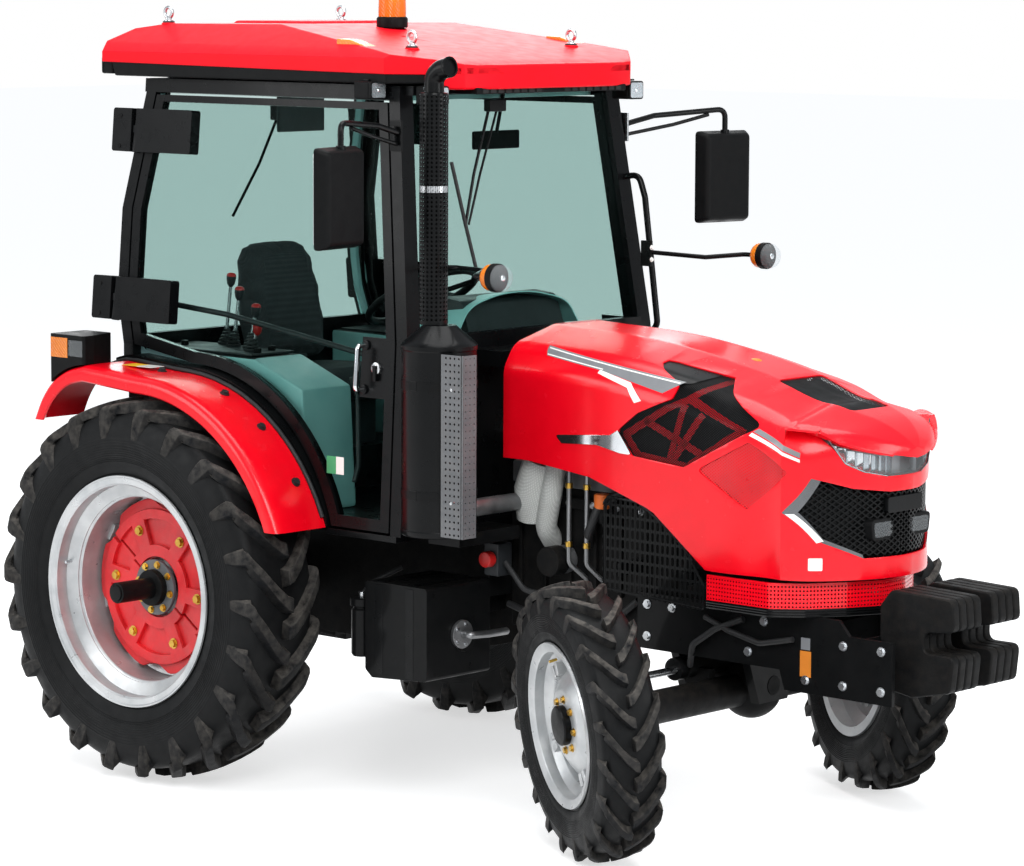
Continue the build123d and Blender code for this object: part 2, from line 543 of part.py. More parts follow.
def cab_frame():
    """Posts, side rails, arch walls, front and rear walls, hinge brackets and the hood's lugs."""
    frame = Part()
    top_y = side_y(CAB_TOP_Z, 1)
    for side in (-1, 1):
        frame += post(REAR_POST, side, False)
        frame += post(FRONT_POST, side, True)
        x0, x1 = on_line(REAR_POST, CAB_TOP_Z), on_line(FRONT_POST, CAB_TOP_Z)
        rail = [(x0 - 10, DOOR_TOP + MOVE_GAP), (x1, DOOR_TOP + MOVE_GAP), (x1, CAB_TOP_Z + CAP_T),
                (x0 - 10, CAB_TOP_Z + CAP_T)]
        frame += side_panel(rail, side, POST_DEPTH)
        y0 = ARCH_WALL_Y + GROUND_SEAT
        wall = arch_body(4, y0, y0 + 24, FLOOR_Z - FLOOR_T)
        wall += arch_body(-19, y0, FENDER_Y[0] - GROUND_SEAT, 850) - arch_body(12, y0 - 1, FENDER_Y[0], 800)
        wall &= block((CAB_REAR, 656), (0, 700), (FLOOR_Z - FLOOR_T, 1450))
        wall -= block((640, 700), (y0 + 24, 700), (700, SILL_Z))
        wall += block((REAR_POST[0][0], REAR_POST[0][0] + POST_T), (542, 596), (1340, 1410))
        frame += wall if side > 0 else other_side(wall)
    roof_x = (on_line(REAR_POST, CAB_TOP_Z) - 10, on_line(FRONT_POST, CAB_TOP_Z) + 40)
    frame += block(roof_x, (-top_y + 20, top_y - 20), (CAB_TOP_Z, CAB_TOP_Z + CAP_T))
    frame += block((CAB_REAR, CAB_REAR + 30), (-ARCH_WALL_Y - 2, ARCH_WALL_Y + 2),
                   (SEAT_DECK_Z + GROUND_SEAT, REAR_POST[0][1] + 30))
    wall_x = (FRONT_POST[1][0] - 30, FRONT_POST[1][0])
    half = side_y(FRONT_POST[1][1], 1) - POST_DEPTH + 12
    frame += block(wall_x, (-half, half), (FLOOR_Z + GROUND_SEAT, FRONT_POST[1][1] + 20))
    frame += block((wall_x[1] - 2, 1100), (-300, 300), (1400, 1450))
    px, pz = HOOD_PIN
    for side in (-1, 1):
        y = side * HOOD_HINGE_Y
        frame += block((1060, px), (y - 12, y + 12), (1440, pz))
        frame += rod((px, y - 12, pz), (px, y + 12, pz), 14.0)
        frame -= rod((px, y - 20, pz), (px, y + 20, pz), 8 + HOOD_PIN_GAP)
        for z in HINGE_Z:
            (xa, ya), (xb, yb) = hinge_point(z - 28, side), hinge_point(z - 17, side)
            frame += rod((xa, ya, z - 26), (xb, yb, z - 19), 8.0)
            frame += block((xa - 9, xa + 9), sorted((ya, ya - side * (HINGE_OUT - 7))), (z - 28, z - 17))
            frame += block((xa - 26, xa - 2), sorted((ya - side * 20, ya - side * (HINGE_OUT + 8))), (z - 28, z - 17))
            x = hinge_point(z, side)[0]
            fixed = [(x + COVER_X[0], z - COVER_Z), (x - NOSE_R - MOVE_GAP, z - COVER_Z),
                     (x - NOSE_R - MOVE_GAP, z + COVER_Z), (x + COVER_X[0], z + COVER_Z)]
            frame += side_panel(fixed, side, COVER_OUT + 5, inset=-COVER_OUT, radius=[10, 0, 0, 10])
            xc, yc = hinge_point(z + 16, side)
            frame += rod((xa, ya, z - 28), (xc, yc, z + 16), 5.0)
    add("cab_frame", frame - NODES["cab_floor"])


def hinge_point(z, side):
    """X and Y of a door's hinge line at a height."""
    za, zb = HINGE_Z
    xa, xb = on_line(REAR_POST, za), on_line(REAR_POST, zb)
    x = xa + (xb - xa) * (z - za) / (zb - za) + POST_T + MOVE_GAP - HINGE_BACK
    return x, side_y(z, side) + side * HINGE_OUT


def pane(line, offset):
    """Glass across the cab along a chain of (x, z) points, as wide as the posts leave it."""
    za, zb = line[0][1], line[-1][1]
    sheet = prism("y", line + [(x + GLASS_T, z) for x, z in reversed(line)], -700, 700)
    wide, narrow = side_y(za, 1) - offset, side_y(zb, 1) - offset
    return sheet & prism("x", [(-wide, za), (wide, za), (narrow, zb), (-narrow, zb)], -700, 1200)


def windows():
    offset = POST_DEPTH + 0.7
    low, high = FRONT_POST[1][1] + 20 + GROUND_SEAT, CAB_TOP_Z - GROUND_SEAT
    front = on_line(FRONT_POST, low) - 28, on_line(FRONT_POST, high) - 28
    add("windshield", pane([(front[0], low), (front[1], high)], offset))
    low = REAR_POST[0][1] + 30 + GROUND_SEAT
    line = [(CAB_REAR + 8, low)] + [(x + 14, z) for x, z in REAR_POST[1:-1]]
    add("rear_window", pane(line + [(on_line(REAR_POST, high) + 14, high)], offset))


def door_shape(inset, depth, shift):
    """A door's outline as a flat piece in the cab's leaning side plane, drawn in by an inset."""
    gap = MOVE_GAP + inset
    rear = [(x + POST_T + gap, z) for x, z in REAR_POST]
    front = [(x - POST_T - gap, z) for x, z in FRONT_POST]
    top, low_rear, sill = DOOR_TOP - TOP_RAIL_SHARE * inset, REAR_POST[0][1] + inset, SILL_Z + MOVE_GAP + inset
    radius = ARCH_R + ARCH_GAP + inset
    start_x, end_x = 0.0, sqrt(radius * radius - (sill - REAR["tyre_r"]) ** 2)
    lean = atan2(SIDE_LEAN, 1.0)

    def flat(x, z):
        return (x, 0, (z - SILL_Z) / cos(lean))

    def on_arch(x):
        return flat(x, REAR["tyre_r"] + sqrt(radius * radius - x * x))

    corners = [on_arch(start_x), flat(on_line(rear, low_rear), low_rear), *[flat(*p) for p in rear[1:-1]],
               flat(on_line(rear, top), top), flat(on_line(front, top), top), flat(*front[1]),
               flat(on_line(front, sill), sill), flat(end_x, sill)]
    edges = [Line(a, b) for a, b in zip(corners, corners[1:])]
    edges.append(ThreePointArc(corners[-1], on_arch((start_x + end_x) / 2), corners[0]))
    body = Pos(0, -shift, 0) * extrude(make_face(edges), amount=depth, dir=(0, -1, 0))
    return Pos(0, SIDE_SILL_Y, SILL_Z) * Rot(degrees(lean), 0, 0) * body


def doors():
    """Full-height doors: a frame with a glass pane, hung on two pins at the rear post."""
    frame = door_shape(0.0, SKIN_T, 0.0) - door_shape(DOOR_RAIL, SKIN_T + 20, -10.0)
    for z in HINGE_Z:
        hx = hinge_point(z, 1)[0]
        arm = [(hx - 12, z - 8), (hx + 60, z - 8), (hx + 60, z + 15), (hx - 12, z + 15)]
        cover = [(hx, z - COVER_Z), (hx + COVER_X[1], z - COVER_Z), (hx + COVER_X[1], z + COVER_Z), (hx, z + COVER_Z)]
        space = [(hx - 40, z - 36), (hx + 30, z - 36), (hx + 30, z + 26), (hx - 40, z + 26)]
        foot = [(hx + 18, z - 50), (hx + 33, z - 50), (hx + 33, z + 50), (hx + 18, z + 50)]
        (xa, ya), (xb, yb) = hinge_point(z - COVER_Z + 2, 1), hinge_point(z + COVER_Z - 2, 1)
        shell = side_panel(cover, 1, COVER_OUT - 14, inset=-COVER_OUT, radius=[0, 10, 10, 0])
        shell += rod((xa, ya, z - COVER_Z + 2), (xb, yb, z + COVER_Z - 2), NOSE_R)
        frame += shell - side_panel(space, 1, 37.0, inset=-50.0)
        frame += side_panel(arm, 1, 38.0, inset=-52.0) + side_panel(foot, 1, 60.0, inset=-40.0)
        (xa, ya), (xb, yb) = hinge_point(z - 60, 1), hinge_point(z + 18, 1)
        frame -= rod((xa, ya, z - 60), (xb, yb, z + 18), 5.0 + PIVOT_GAP)
    plate = [(770, 1305), (890, 1305), (890, 1495), (770, 1495)]
    lug_low = [(778, 1320), (800, 1320), (800, 1340), (778, 1340)]
    lug_high = [(778, 1460), (800, 1460), (800, 1480), (778, 1480)]
    grip = [(778, 1320), (800, 1320), (800, 1480), (778, 1480)]
    frame += side_panel(plate, 1, 24.0)
    for lug in (lug_low, lug_high):
        frame += side_panel(lug, 1, 46.0, inset=-45.0)
    frame += side_panel(grip, 1, 14.0, inset=-45.0)
    glass = door_shape(DOOR_RAIL + GROUND_SEAT, GLASS_T, 12.0)
    glass -= side_panel([(769.7, 1304.7), (900, 1304.7), (900, 1495.3), (769.7, 1495.3)], 1, 60.0, inset=-20)
    for side in (-1, 1):
        add("door_frame", frame if side > 0 else other_side(frame), side)
        add("door_glass", glass if side > 0 else other_side(glass), side)


def cab_roof():
    side_view = [(ROOF_X[0], 2372), (ROOF_X[0] - 4, 2390), (-430, 2448), (-300, 2466), (330, 2470), (780, 2398),
                 (950, 2376), (ROOF_X[1] - 8, 2345), (ROOF_X[1], ROOF_Z[0]), (940, ROOF_Z[0]), (880, 2300),
                 (-405, 2300), (-425, 2372)]
    front_view = [(-ROOF_HALF, 2285), (ROOF_HALF, 2285), (ROOF_HALF, 2372), (ROOF_HALF - 40, 2402), (400, 2480),
                  (-400, 2480), (-ROOF_HALF + 40, 2402), (-ROOF_HALF, 2372)]
    plan = [(ROOF_X[0] - 4, -500), (-455, -ROOF_HALF), (860, -ROOF_HALF), (1030, -400), (ROOF_X[1], -250),
            (ROOF_X[1], 250), (1030, 400), (860, ROOF_HALF), (-455, ROOF_HALF), (ROOF_X[0] - 4, 500)]
    roof = prism("y", side_view, -ROOF_HALF - 5, ROOF_HALF + 5)
    roof &= prism("x", front_view, ROOF_X[0] - 20, ROOF_X[1] + 20)
    roof &= prism("z", plan, 2280, 2490)
    roof -= block((-380, 900), (-530, 530), (2270, CAB_TOP_Z + 60))
    roof += block((-270, 840), (-470, 470), (CAB_TOP_Z + CAP_T + GROUND_SEAT, CAB_TOP_Z + 70))
    add("cab_roof", roof)


# roof fittings: x, y and z of each piece's foot
LIFTING_EYES = [(-315, 410, 2462), (785, 382, 2395)]
MARKERS = [(675, 500, 2396)]
# work lamps: x, y, lower and upper ends, half depth along X, half width
WORK_LAMPS = [(-464, 520, 2297, 2357, 29, 35), (780, 567, 2243, 2299, 40, 35), (958, 470, 2226, 2286, 42, 35)]


def roof_fittings():
    eyes, markers, lamps = Part(), Part(), Part()
    for side in (-1, 1):
        for x, y, z in LIFTING_EYES:
            eyes += rod((x, side * y, z - 25), (x, side * y, z + 28), 9.0)
            ring = Pos(x, side * y, z + 44) * Rot(90, 0, 0) * Torus(18.0, 5.5)
            eyes += ring
        for x, y, z in MARKERS:
            markers += block((x - 60, x + 60), sorted((side * (y - 30), side * (y + 30))), (z - 12, z + 22), 14.0)
        for x, y, low, top, deep, half in WORK_LAMPS:
            lamps += block((x - deep, x + deep), sorted((side * (y - half), side * (y + half))), (low, top), 8.0)
            lamps += rod((x, side * y, top - 6), (x, side * y, top + 27), 8.0)
    bx, by, bz = BEACON
    beacon = rod((bx, by, bz - 12), (bx, by, bz + 22), 52.0) + rod((bx, by, bz + 22), (bx, by, bz + 118), 46.0)
    roof = NODES["cab_roof"]
    for cutter in (eyes, markers, beacon, lamps):
        roof -= cutter
    NODES["cab_roof"] = roof
    add("lifting_eyes", eyes)
    NODES["marker_lamps"] = markers
    add("beacon", beacon)
    add("work_lamps", lamps)


def outside_fittings():
    """Mirrors on their arms, the grab rail, and the amber lamps on their brackets."""
    mirrors, rails, lamps = Part(), Part(), Part()
    sx, sy, sz = SIGNAL
    lx, ly, lz = FENDER_LAMP
    for side in (1, -1):
        y_top = side_y(2130, 1)
        base_x = on_line(FRONT_POST, 2130)
        half = block((base_x - 38, base_x + 16), (y_top + GROUND_SEAT + 4, y_top + 30), (2080, 2180))
        mx, my = MIRROR
        half += bent_bar([(base_x, y_top + 15, 2140), (base_x + 25, y_top + 130, 2165), (mx, my, 2185),
                          (mx, my, 2110)], 11.0, 24.0)
        half += Pos(mx, my, 1955) * Rot(0, 0, -10) * block((-26, 26), (-118, 118), (-160, 160), 18.0)
        mirrors += half if side > 0 else other_side(half)
        lamp = rod((sx - 44, sy, sz), (sx + 44, sy, sz), 44.0)
        plan = [(lx - 60, ly - 90), (lx + 68, ly - 90), (lx + 110, ly + 25), (lx + 110, ly + 70), (lx - 60, ly + 70)]
        lamp += (prism("z", plan, 1240, lz + 48, [12, 8, 8, 12, 12])
                 - arch_body(-GROUND_SEAT, ly - 100, ly + 80, 800))
        lamps += lamp if side > 0 else other_side(lamp)
    end = (sx - 44 - GROUND_SEAT, sy, sz)
    rails += bent_bar([(on_line(FRONT_POST, 1965) - 8, 520, 1965), (960, 528, 1980), (985, 532, 1900),
                       (1045, 532, 1480), (1000, 532, 1430), (940, 536, 1425)], 11.0, 24.0)
    rails += block((985, 1030), (508, 524), (1670, 1760))
    rails += bent_bar([(1008, 516, sz), (1200, 590, sz - 12), (sx - 90, sy, sz), end], 8.0, 30.0)
    rails += bent_bar([(925, -505, sz), (1040, -440, sz), (1180, -470, sz), (sx - 90, -sy, sz), (end[0], -sy, sz)],
                      8.0, 40.0)
    posts = NODES["cab_frame"]
    add("grab_rails", rails - posts)
    add("mirrors", mirrors - posts)
    add("signal_lamps", lamps + NODES.pop("marker_lamps"))


# ---- inside the cab -----------------------------------------------------------------------------
def cab_inside():
    consoles = Part()
    for side in (-1, 1):
        outline = [(CAB_REAR + 50, SEAT_DECK_Z + GROUND_SEAT), (FLOOR_STEP + 30 + GROUND_SEAT, SEAT_DECK_Z + GROUND_SEAT),
                   (FLOOR_STEP + 30 + GROUND_SEAT, FLOOR_Z + GROUND_SEAT), (490, FLOOR_Z + GROUND_SEAT), (465, 1300),
                   (240, 1385), (CAB_REAR + 50, 1390)]
        consoles += prism("y", outline, *sorted((side * CONSOLE_Y[0], side * CONSOLE_Y[1])))
    add("side_consoles", consoles)
    low = FLOOR_Z + GROUND_SEAT
    dash = prism("y", [(690, low), (880, low), (900, 1480), (860, 1590), (760, 1600), (640, 1500), (660, 1440),
                       (740, 1380)], -230, 230, [0, 0, 20, 30, 30, 10, 10, 10])
    dash += block((540, 720), (-70, 70), (low, 1040))
    add("dash_console", dash)
    deck = SEAT_DECK_Z
    add("seat_base", block((-210, 110), (-160, 160), (deck + GROUND_SEAT, deck + 160), 20.0))
    add("seat_cushion", block((-230, 240), (-240, 240), (deck + 160 + GROUND_SEAT, deck + 270), 50.0))
    back = prism("y", [(-225, deck + 280), (-115, deck + 272), (-185, deck + 690), (-255, deck + 690)],
                 -195, 195, 20.0)
    add("seat_backrest", back + block((-215, -125), (-60, 60), (deck + 270 + GROUND_SEAT, deck + 320)))
    levers = Part()
    for x, y, h in LEVERS:
        levers += rod((x, y, 1385), (x + 30, y, 1390 + h), 7.0)
        levers += Pos(x + 30, y, 1390 + h) * Sphere(18.0)
    add("control_levers", levers - consoles)


def steering_wheel():
    """Steering wheel on its column pin, turning about the leaning column."""
    centre, axis = Vector(*WHEEL_CENTRE), Vector(*WHEEL_AXIS).normalized()
    plane = Plane(origin=centre, x_dir=(0, 1, 0), z_dir=axis)
    hoop = plane * Torus(WHEEL_R, 13.0)
    hub = plane * Cylinder(38.0, 36.0)
    for angle in (90, 210, 330):
        a = radians(angle)
        inner = plane.from_local_coords(Vector(30 * cos(a), 30 * sin(a), 0))
        outer = plane.from_local_coords(Vector(WHEEL_R * cos(a), WHEEL_R * sin(a), 0))
        hub += rod(tuple(inner), tuple(outer), 9.0)
    shaft = rod(tuple(centre - axis * 150), tuple(centre - axis * 10), 11.0)
    add("steering_wheel", hoop + hub + shaft)
    column = rod(tuple(centre - axis * 740), tuple(centre - axis * 40), 32.0)
    column -= rod(tuple(centre - axis * 151), tuple(centre), 11.0 + PIVOT_GAP)
    NODES["dash_console"] = NODES["dash_console"] + column


# ---- hood ---------------------------------------------------------------------------------------
# sections of the hood: x, half width, top, bottom
HOOD_SECTIONS = [
    (1150, 345, 1530, 800), (1650, 345, 1500, 800), (2060, 342, 1418, 800), (2250, 332, 1360, 800),
    (2310, 302, 1342, 800), (2400, 200, 1314, 800), (2450, 100, 1286, 800), (2466, 30, 1268, 800),
]
BROW_SECTIONS = [
    (2262, 336, 1359, 1150), (2340, 300, 1340, 1150), (2400, 240, 1322, 1150), (2450, 168, 1296, 1150),
    (2485, 100, 1268, 1150), (2502, 40, 1245, 1150),
]
# lower edge of the brow over half the nose, as (y, z) points
BROW_EDGE = [(52, 1217), (170, 1244), (240, 1268), (285, 1301), (360, 1312)]
# corners of a section as shares of its half width: across, and down from its top
CROWN = [(1.0, 0.36), (0.855, 0.14), (0.3, 0.0)]
# cut-outs, as (x, z) corners through the sides and (y, z) corners through the nose
MESH_WINDOW = [(1670, 1472), (1955, 1424), (2160, 1300), (1885, 1156), (1680, 1173), (1619, 1246), (1699, 1306),
               (1830, 1360), (1836, 1405)]
LAMP_HALF = [(285, 1298), (222, 1216), (175, 1185), (90, 1163), (50, 1214), (170, 1241), (240, 1265)]
GRILLE_HALF = [(90, 1114), (195, 1126), (277, 1163), (336, 1050), (225, 958), (165, 926)]


def both_sides(half, split):
    """Outline across the nose from (y, z) corners of one half, which crosses the middle after split."""
    other = [(-y, z) for y, z in reversed(half)]
    return half[:split] + other[len(half) - split:] + other[:len(half) - split] + half[split:]


def hood_loft(sections, inset=0.0):
    faces = []
    for x, half, top, low in sections:
        w, t = half - inset, top - inset
        side = [(x, w * across, t - w * down) for across, down in CROWN]
        flip = [(x, -y, z) for _, y, z in reversed(side)]
        corners = [(x, -w, low), (x, w, low)] + side + flip
        r = 0.26 * w
        faces.append(make_face(FilletPolyline(*corners, radius=[0, 0, r, r, r, r, r, r], close=True)))
    return loft(faces, ruled=True)


def zone(axis, points, low, high, shrink):
    """Prism of a straight-sided outline, drawn in all round by a small amount."""
    flat = prism(axis, points, low, low + 1.0)
    direction = {"x": (1, 0, 0), "y": (0, 1, 0), "z": (0, 0, 1)}[axis]
    face = flat.faces().sort_by(Axis((0, 0, 0), direction))[0]
    face = offset(face, amount=-shrink) if shrink else face
    return extrude(face, amount=high - low, dir=direction)


def hood():
    """Tilting hood: a thin shell with mesh windows, its grille and its headlamps."""
    first = HOOD_SECTIONS[0]
    inside = [(first[0] - 2, *first[1:3], 795)] + [(*row[:3], 795) for row in HOOD_SECTIONS[1:3]]
    inside += [(row[0] - HOOD_WALL, *row[1:3], 795) for row in HOOD_SECTIONS[3:]]
    below = prism("y", [(1100, 700), (1100, 1122), (1250, 1122), (1510, 1092), (1760, 1012), (1870, 930),
                        (1975, HOOD_LOW_Z), (2700, HOOD_LOW_Z), (2700, 700)], -400, 400)
    outer = hood_loft(HOOD_SECTIONS)
    under = both_sides(BROW_EDGE[::-1] + [(360, 1100)], 5)
    brow = hood_loft(BROW_SECTIONS) - prism("x", under, 2200, 2600)
    skin = outer + brow - hood_loft(inside, HOOD_WALL) - below
    lamp, grille = both_sides(LAMP_HALF, 4), both_sides(GRILLE_HALF, 6)
    cuts = [("hood_grilles", "y", MESH_WINDOW, -400, 400), ("headlamps", "x", lamp, 2280, 2700),
            ("hood_grilles", "x", grille, 2150, 2700)]
    shell, panels = skin, {"hood_grilles": Part(), "headlamps": Part()}
    for name, axis, outline, low, high in cuts:
        shell -= zone(axis, outline, low, high, 0.0)
        panels[name] += skin & zone(axis, outline, low, high, GROUND_SEAT)
    for name, panel in panels.items():
        add(name, panel)
    px, pz = HOOD_PIN
    for side in (-1, 1):
        y = side * HOOD_HINGE_Y
        for off in (-22, 15):
            shell += block((px - 10, px + 60), (y + off, y + off + 7), (pz - 10, first[2])) & outer
        shell += rod((px, y - 22, pz), (px, y + 22, pz), 8.0)
    add("hood_shell", shell)


def nose_band():
    """Fixed perforated band below the hood, round the nose, on two bars across the front frame."""
    half = [(1975, 338), (2215, 338), (2300, 270), (2372, 165), (2422, 60)]
    outline = half + [(x, -y) for x, y in reversed(half)]
    low = FRAME_Z[1] + GROUND_SEAT
    band = prism("z", outline, low, BAND_Z[1]) - zone("z", outline, low - 1, BAND_Z[1] + 1, BAND_T)
    band -= block((1960, 2100), (-338 + BAND_T, 338 - BAND_T), (low - 1, BAND_Z[1] + 1))
    for x, y in ((2000, 330), (2270, 272)):
        band += block((x, x + 30), (-y, y), (low, low + 25))
    add("nose_band", band)


# ---- rear hitch ---------------------------------------------------------------------------------
def link_z(x):
    """Height of the lower links' middle line at X."""
    return LINK_PIVOT[1] + (LINK_PIVOT[0] - x) * LINK_RISE


def hitch():
    """Rear three-point linkage: lift arms, the rods hanging from them, lower links and top link."""
    arms, rods, links = Part(), Part(), Part()
    ax, az = LIFT_PIVOT
    tx, tz = LIFT_TIP
    lx, lz = LINK_PIVOT
    foot_z, end_z = link_z(tx), link_z(LINK_END)
    arms += rod((ax, -ARM_Y, az), (ax, ARM_Y, az), 24.0)
    for side in (-1, 1):
        y, eye, ly = side * ARM_Y, side * ROD_Y, side * LINK_Y
        arms += prism("y", [(ax + 40, az - 34), (ax + 40, az + 34), (tx, tz + 24), (tx - 24, tz), (tx, tz - 24)],
                      y - 13, y + 13)
        arms += rod((tx, y, tz), (tx, side * (ROD_Y + 16), tz), 11.0)
        hang = rod((tx, eye, tz - 18), (tx, eye, foot_z + 20), 13.0)
        hang += rod((tx, eye - 12, tz), (tx, eye + 12, tz), 24.0)
        hang += rod((tx, eye - 12, foot_z), (tx, eye + 12, foot_z), 24.0)
        rods += hang - rod((tx, eye - 20, tz), (tx, eye + 20, tz), 11 + PIVOT_GAP)
        bar = prism("y", [(lx + 26, lz - 26), (lx + 26, lz + 26), (LINK_END, end_z + 22), (LINK_END, end_z - 22)],
                    ly - 11, ly + 11)
        bar += rod((LINK_END, ly - 22, end_z), (LINK_END, ly + 22, end_z), 40.0)
        bar -= rod((LINK_END, ly - 30, end_z), (LINK_END, ly + 30, end_z), 14.5)
        links += bar - rod((lx, ly - 30, lz), (lx, ly + 30, lz), 14 + PIVOT_GAP)
    add("lift_arms", arms)
    add("lift_rods", rods)
    add("lower_links", links)
    housing = NODES["transmission_housing"] - rod((ax, -170, az), (ax, 170, az), 24 + PIVOT_GAP)
    for side in (-1, 1):
        housing += block((lx - 30, lx + 60), sorted((side * 160, side * (LINK_Y - 12))), (lz - 30, lz + 80))
        housing += rod((lx, side * (LINK_Y - 20), lz), (lx, side * (LINK_Y + 26), lz), 14.0)
    NODES["transmission_housing"] = housing
    top = rod((-265, 0, 800), (-640, 0, 850), 15.0) + rod((-640, -28, 850), (-640, 28, 850), 28.0)
    top += block((-290, -250 - GROUND_SEAT), (-30, 30), (700, 830))
    add("top_link", top - rod((-640, -40, 850), (-640, 40, 850), 9.75))


BUILD_STEPS = [
    rear_wheels, front_wheels, knuckles, steering_rod, driveline, front_frame, front_axle, front_weights,
    chassis_boxes, exhaust, engine_bay, fenders, cab_floor, cab_frame, windows, doors, cab_roof, roof_fittings,
    outside_fittings, cab_inside, steering_wheel, hood, nose_band, hitch,
]
for step in BUILD_STEPS:
    step()

os.makedirs("parts", exist_ok=True)
for name, shape in NODES.items():
    solids = [Pos(-MIDDLE_X, 0, 0) * solid for solid in shape.solids()]
    export_step(Compound(children=solids) if len(solids) > 1 else solids[0], f"parts/{name}.step")
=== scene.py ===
import sys

import logging
import math
from collections.abc import Callable, Iterable, Sequence
from dataclasses import dataclass, field
from enum import Enum

import bmesh
import bpy
from mathutils import Matrix, Vector


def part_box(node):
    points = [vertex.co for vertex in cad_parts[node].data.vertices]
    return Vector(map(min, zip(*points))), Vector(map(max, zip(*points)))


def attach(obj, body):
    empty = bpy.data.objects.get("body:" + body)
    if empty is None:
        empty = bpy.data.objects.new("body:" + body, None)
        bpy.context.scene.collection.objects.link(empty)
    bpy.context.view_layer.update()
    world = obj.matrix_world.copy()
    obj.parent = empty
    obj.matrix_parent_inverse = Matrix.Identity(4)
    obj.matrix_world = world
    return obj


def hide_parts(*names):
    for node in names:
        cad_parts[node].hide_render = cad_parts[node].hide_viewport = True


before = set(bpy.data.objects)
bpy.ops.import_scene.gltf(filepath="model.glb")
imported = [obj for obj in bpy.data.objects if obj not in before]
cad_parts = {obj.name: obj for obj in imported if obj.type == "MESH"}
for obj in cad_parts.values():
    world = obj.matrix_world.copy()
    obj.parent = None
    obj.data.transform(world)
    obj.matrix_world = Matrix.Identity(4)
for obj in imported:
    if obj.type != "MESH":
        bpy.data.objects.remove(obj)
LOG = logging.getLogger("tractor")
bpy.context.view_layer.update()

# Every place below is in metres, forward of the rear axle, left of the middle and up from the ground.
# A piece is moved by AXLE_X at the end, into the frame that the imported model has.
AXLE_X = sum(corner.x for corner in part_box("rear_tyre_right")) / 2
SIDE_SILL_Y, SIDE_LEAN, SILL_Z = 0.64, 0.084, 0.88

Flat = tuple[float, float]
Point = tuple[float, float, float]
Tree = bpy.types.NodeTree
Socket = bpy.types.NodeSocket
Sheet = bmesh.types.BMesh
Test = Callable[[Vector], bool]
Warp = Callable[[Vector], Vector]
SIDES = (-1, 1)
PLATES = 4
PLATE_THICK = 0.037
SHEET_THICK = 0.0015
CENTRE, ACROSS, UP, AHEAD = (0, 0, 0), (0, 1, 0), (0, 0, 1), (1, 0, 0)
# radians between two faces from which their shared edge is rounded, on built shapes and on CAD copies
HARD_EDGE, HARD_CAD_EDGE = 0.35, 0.6
# metres: points this close are one; steps of the seat's voxels; how far a plane cut reaches
SAME_POINT, VOXEL, CUT_REACH = 2e-5, 0.0055, 1e-6
# metres: how near an outline's edge a face is cut, and the margin round the outline for faces to look at
SCORE_REACH, WINDOW_MARGIN = 0.024, 0.03
# the cloth settles from the first frame up to this one
LAST_CLOTH_FRAME = 14


class Axis(Enum):
    """The direction that a slab is drawn along."""

    X = "x"
    Y = "y"
    Z = "z"

    def lift(self, a: float, b: float, along: float) -> Point:
        """The place of two values across this axis and one along it."""
        return {"x": (along, a, b), "y": (a, along, b), "z": (a, b, along)}[self.value]


# ---- finishes -----------------------------------------------------------------------------------
def linear(code: str) -> tuple[float, float, float, float]:
    """Linear RGBA of an sRGB hex colour.

    Args:
        code: Six hex digits.

    Returns:
        Red, green, blue and an alpha of 1.
    """
    parts = [int(code[i:i + 2], 16) / 255 for i in (1, 3, 5)]
    turned = [c / 12.92 if c <= 0.04045 else ((c + 0.055) / 1.055) ** 2.4 for c in parts]
    return (turned[0], turned[1], turned[2], 1.0)


def put(tree: Tree, kind: str, inputs: dict | None = None, **settings: object) -> bpy.types.Node:
    """Adds a node with its settings and its inputs.

    Args:
        tree: The node tree that gets it.
        kind: The node's type.
        inputs: A constant value, or a socket to link from, by input name or number.
        settings: The node's own properties.

    Returns:
        The new node.
    """
    node = tree.nodes.new(kind)
    for key, value in settings.items():
        setattr(node, key, value)
    for key, value in (inputs or {}).items():
        if isinstance(value, Socket):
            tree.links.new(value, node.inputs[key])
        else:
            node.inputs[key].default_value = value
    return node


def placed(name: str, data: bpy.types.ID) -> bpy.types.Object:
    """Puts data in the scene.

    Args:
        name: The object's name.
        data: Its mesh, camera or light.

    Returns:
        The new object.
    """
    made = bpy.data.objects.new(name, data)
    bpy.context.scene.collection.objects.link(made)
    return made


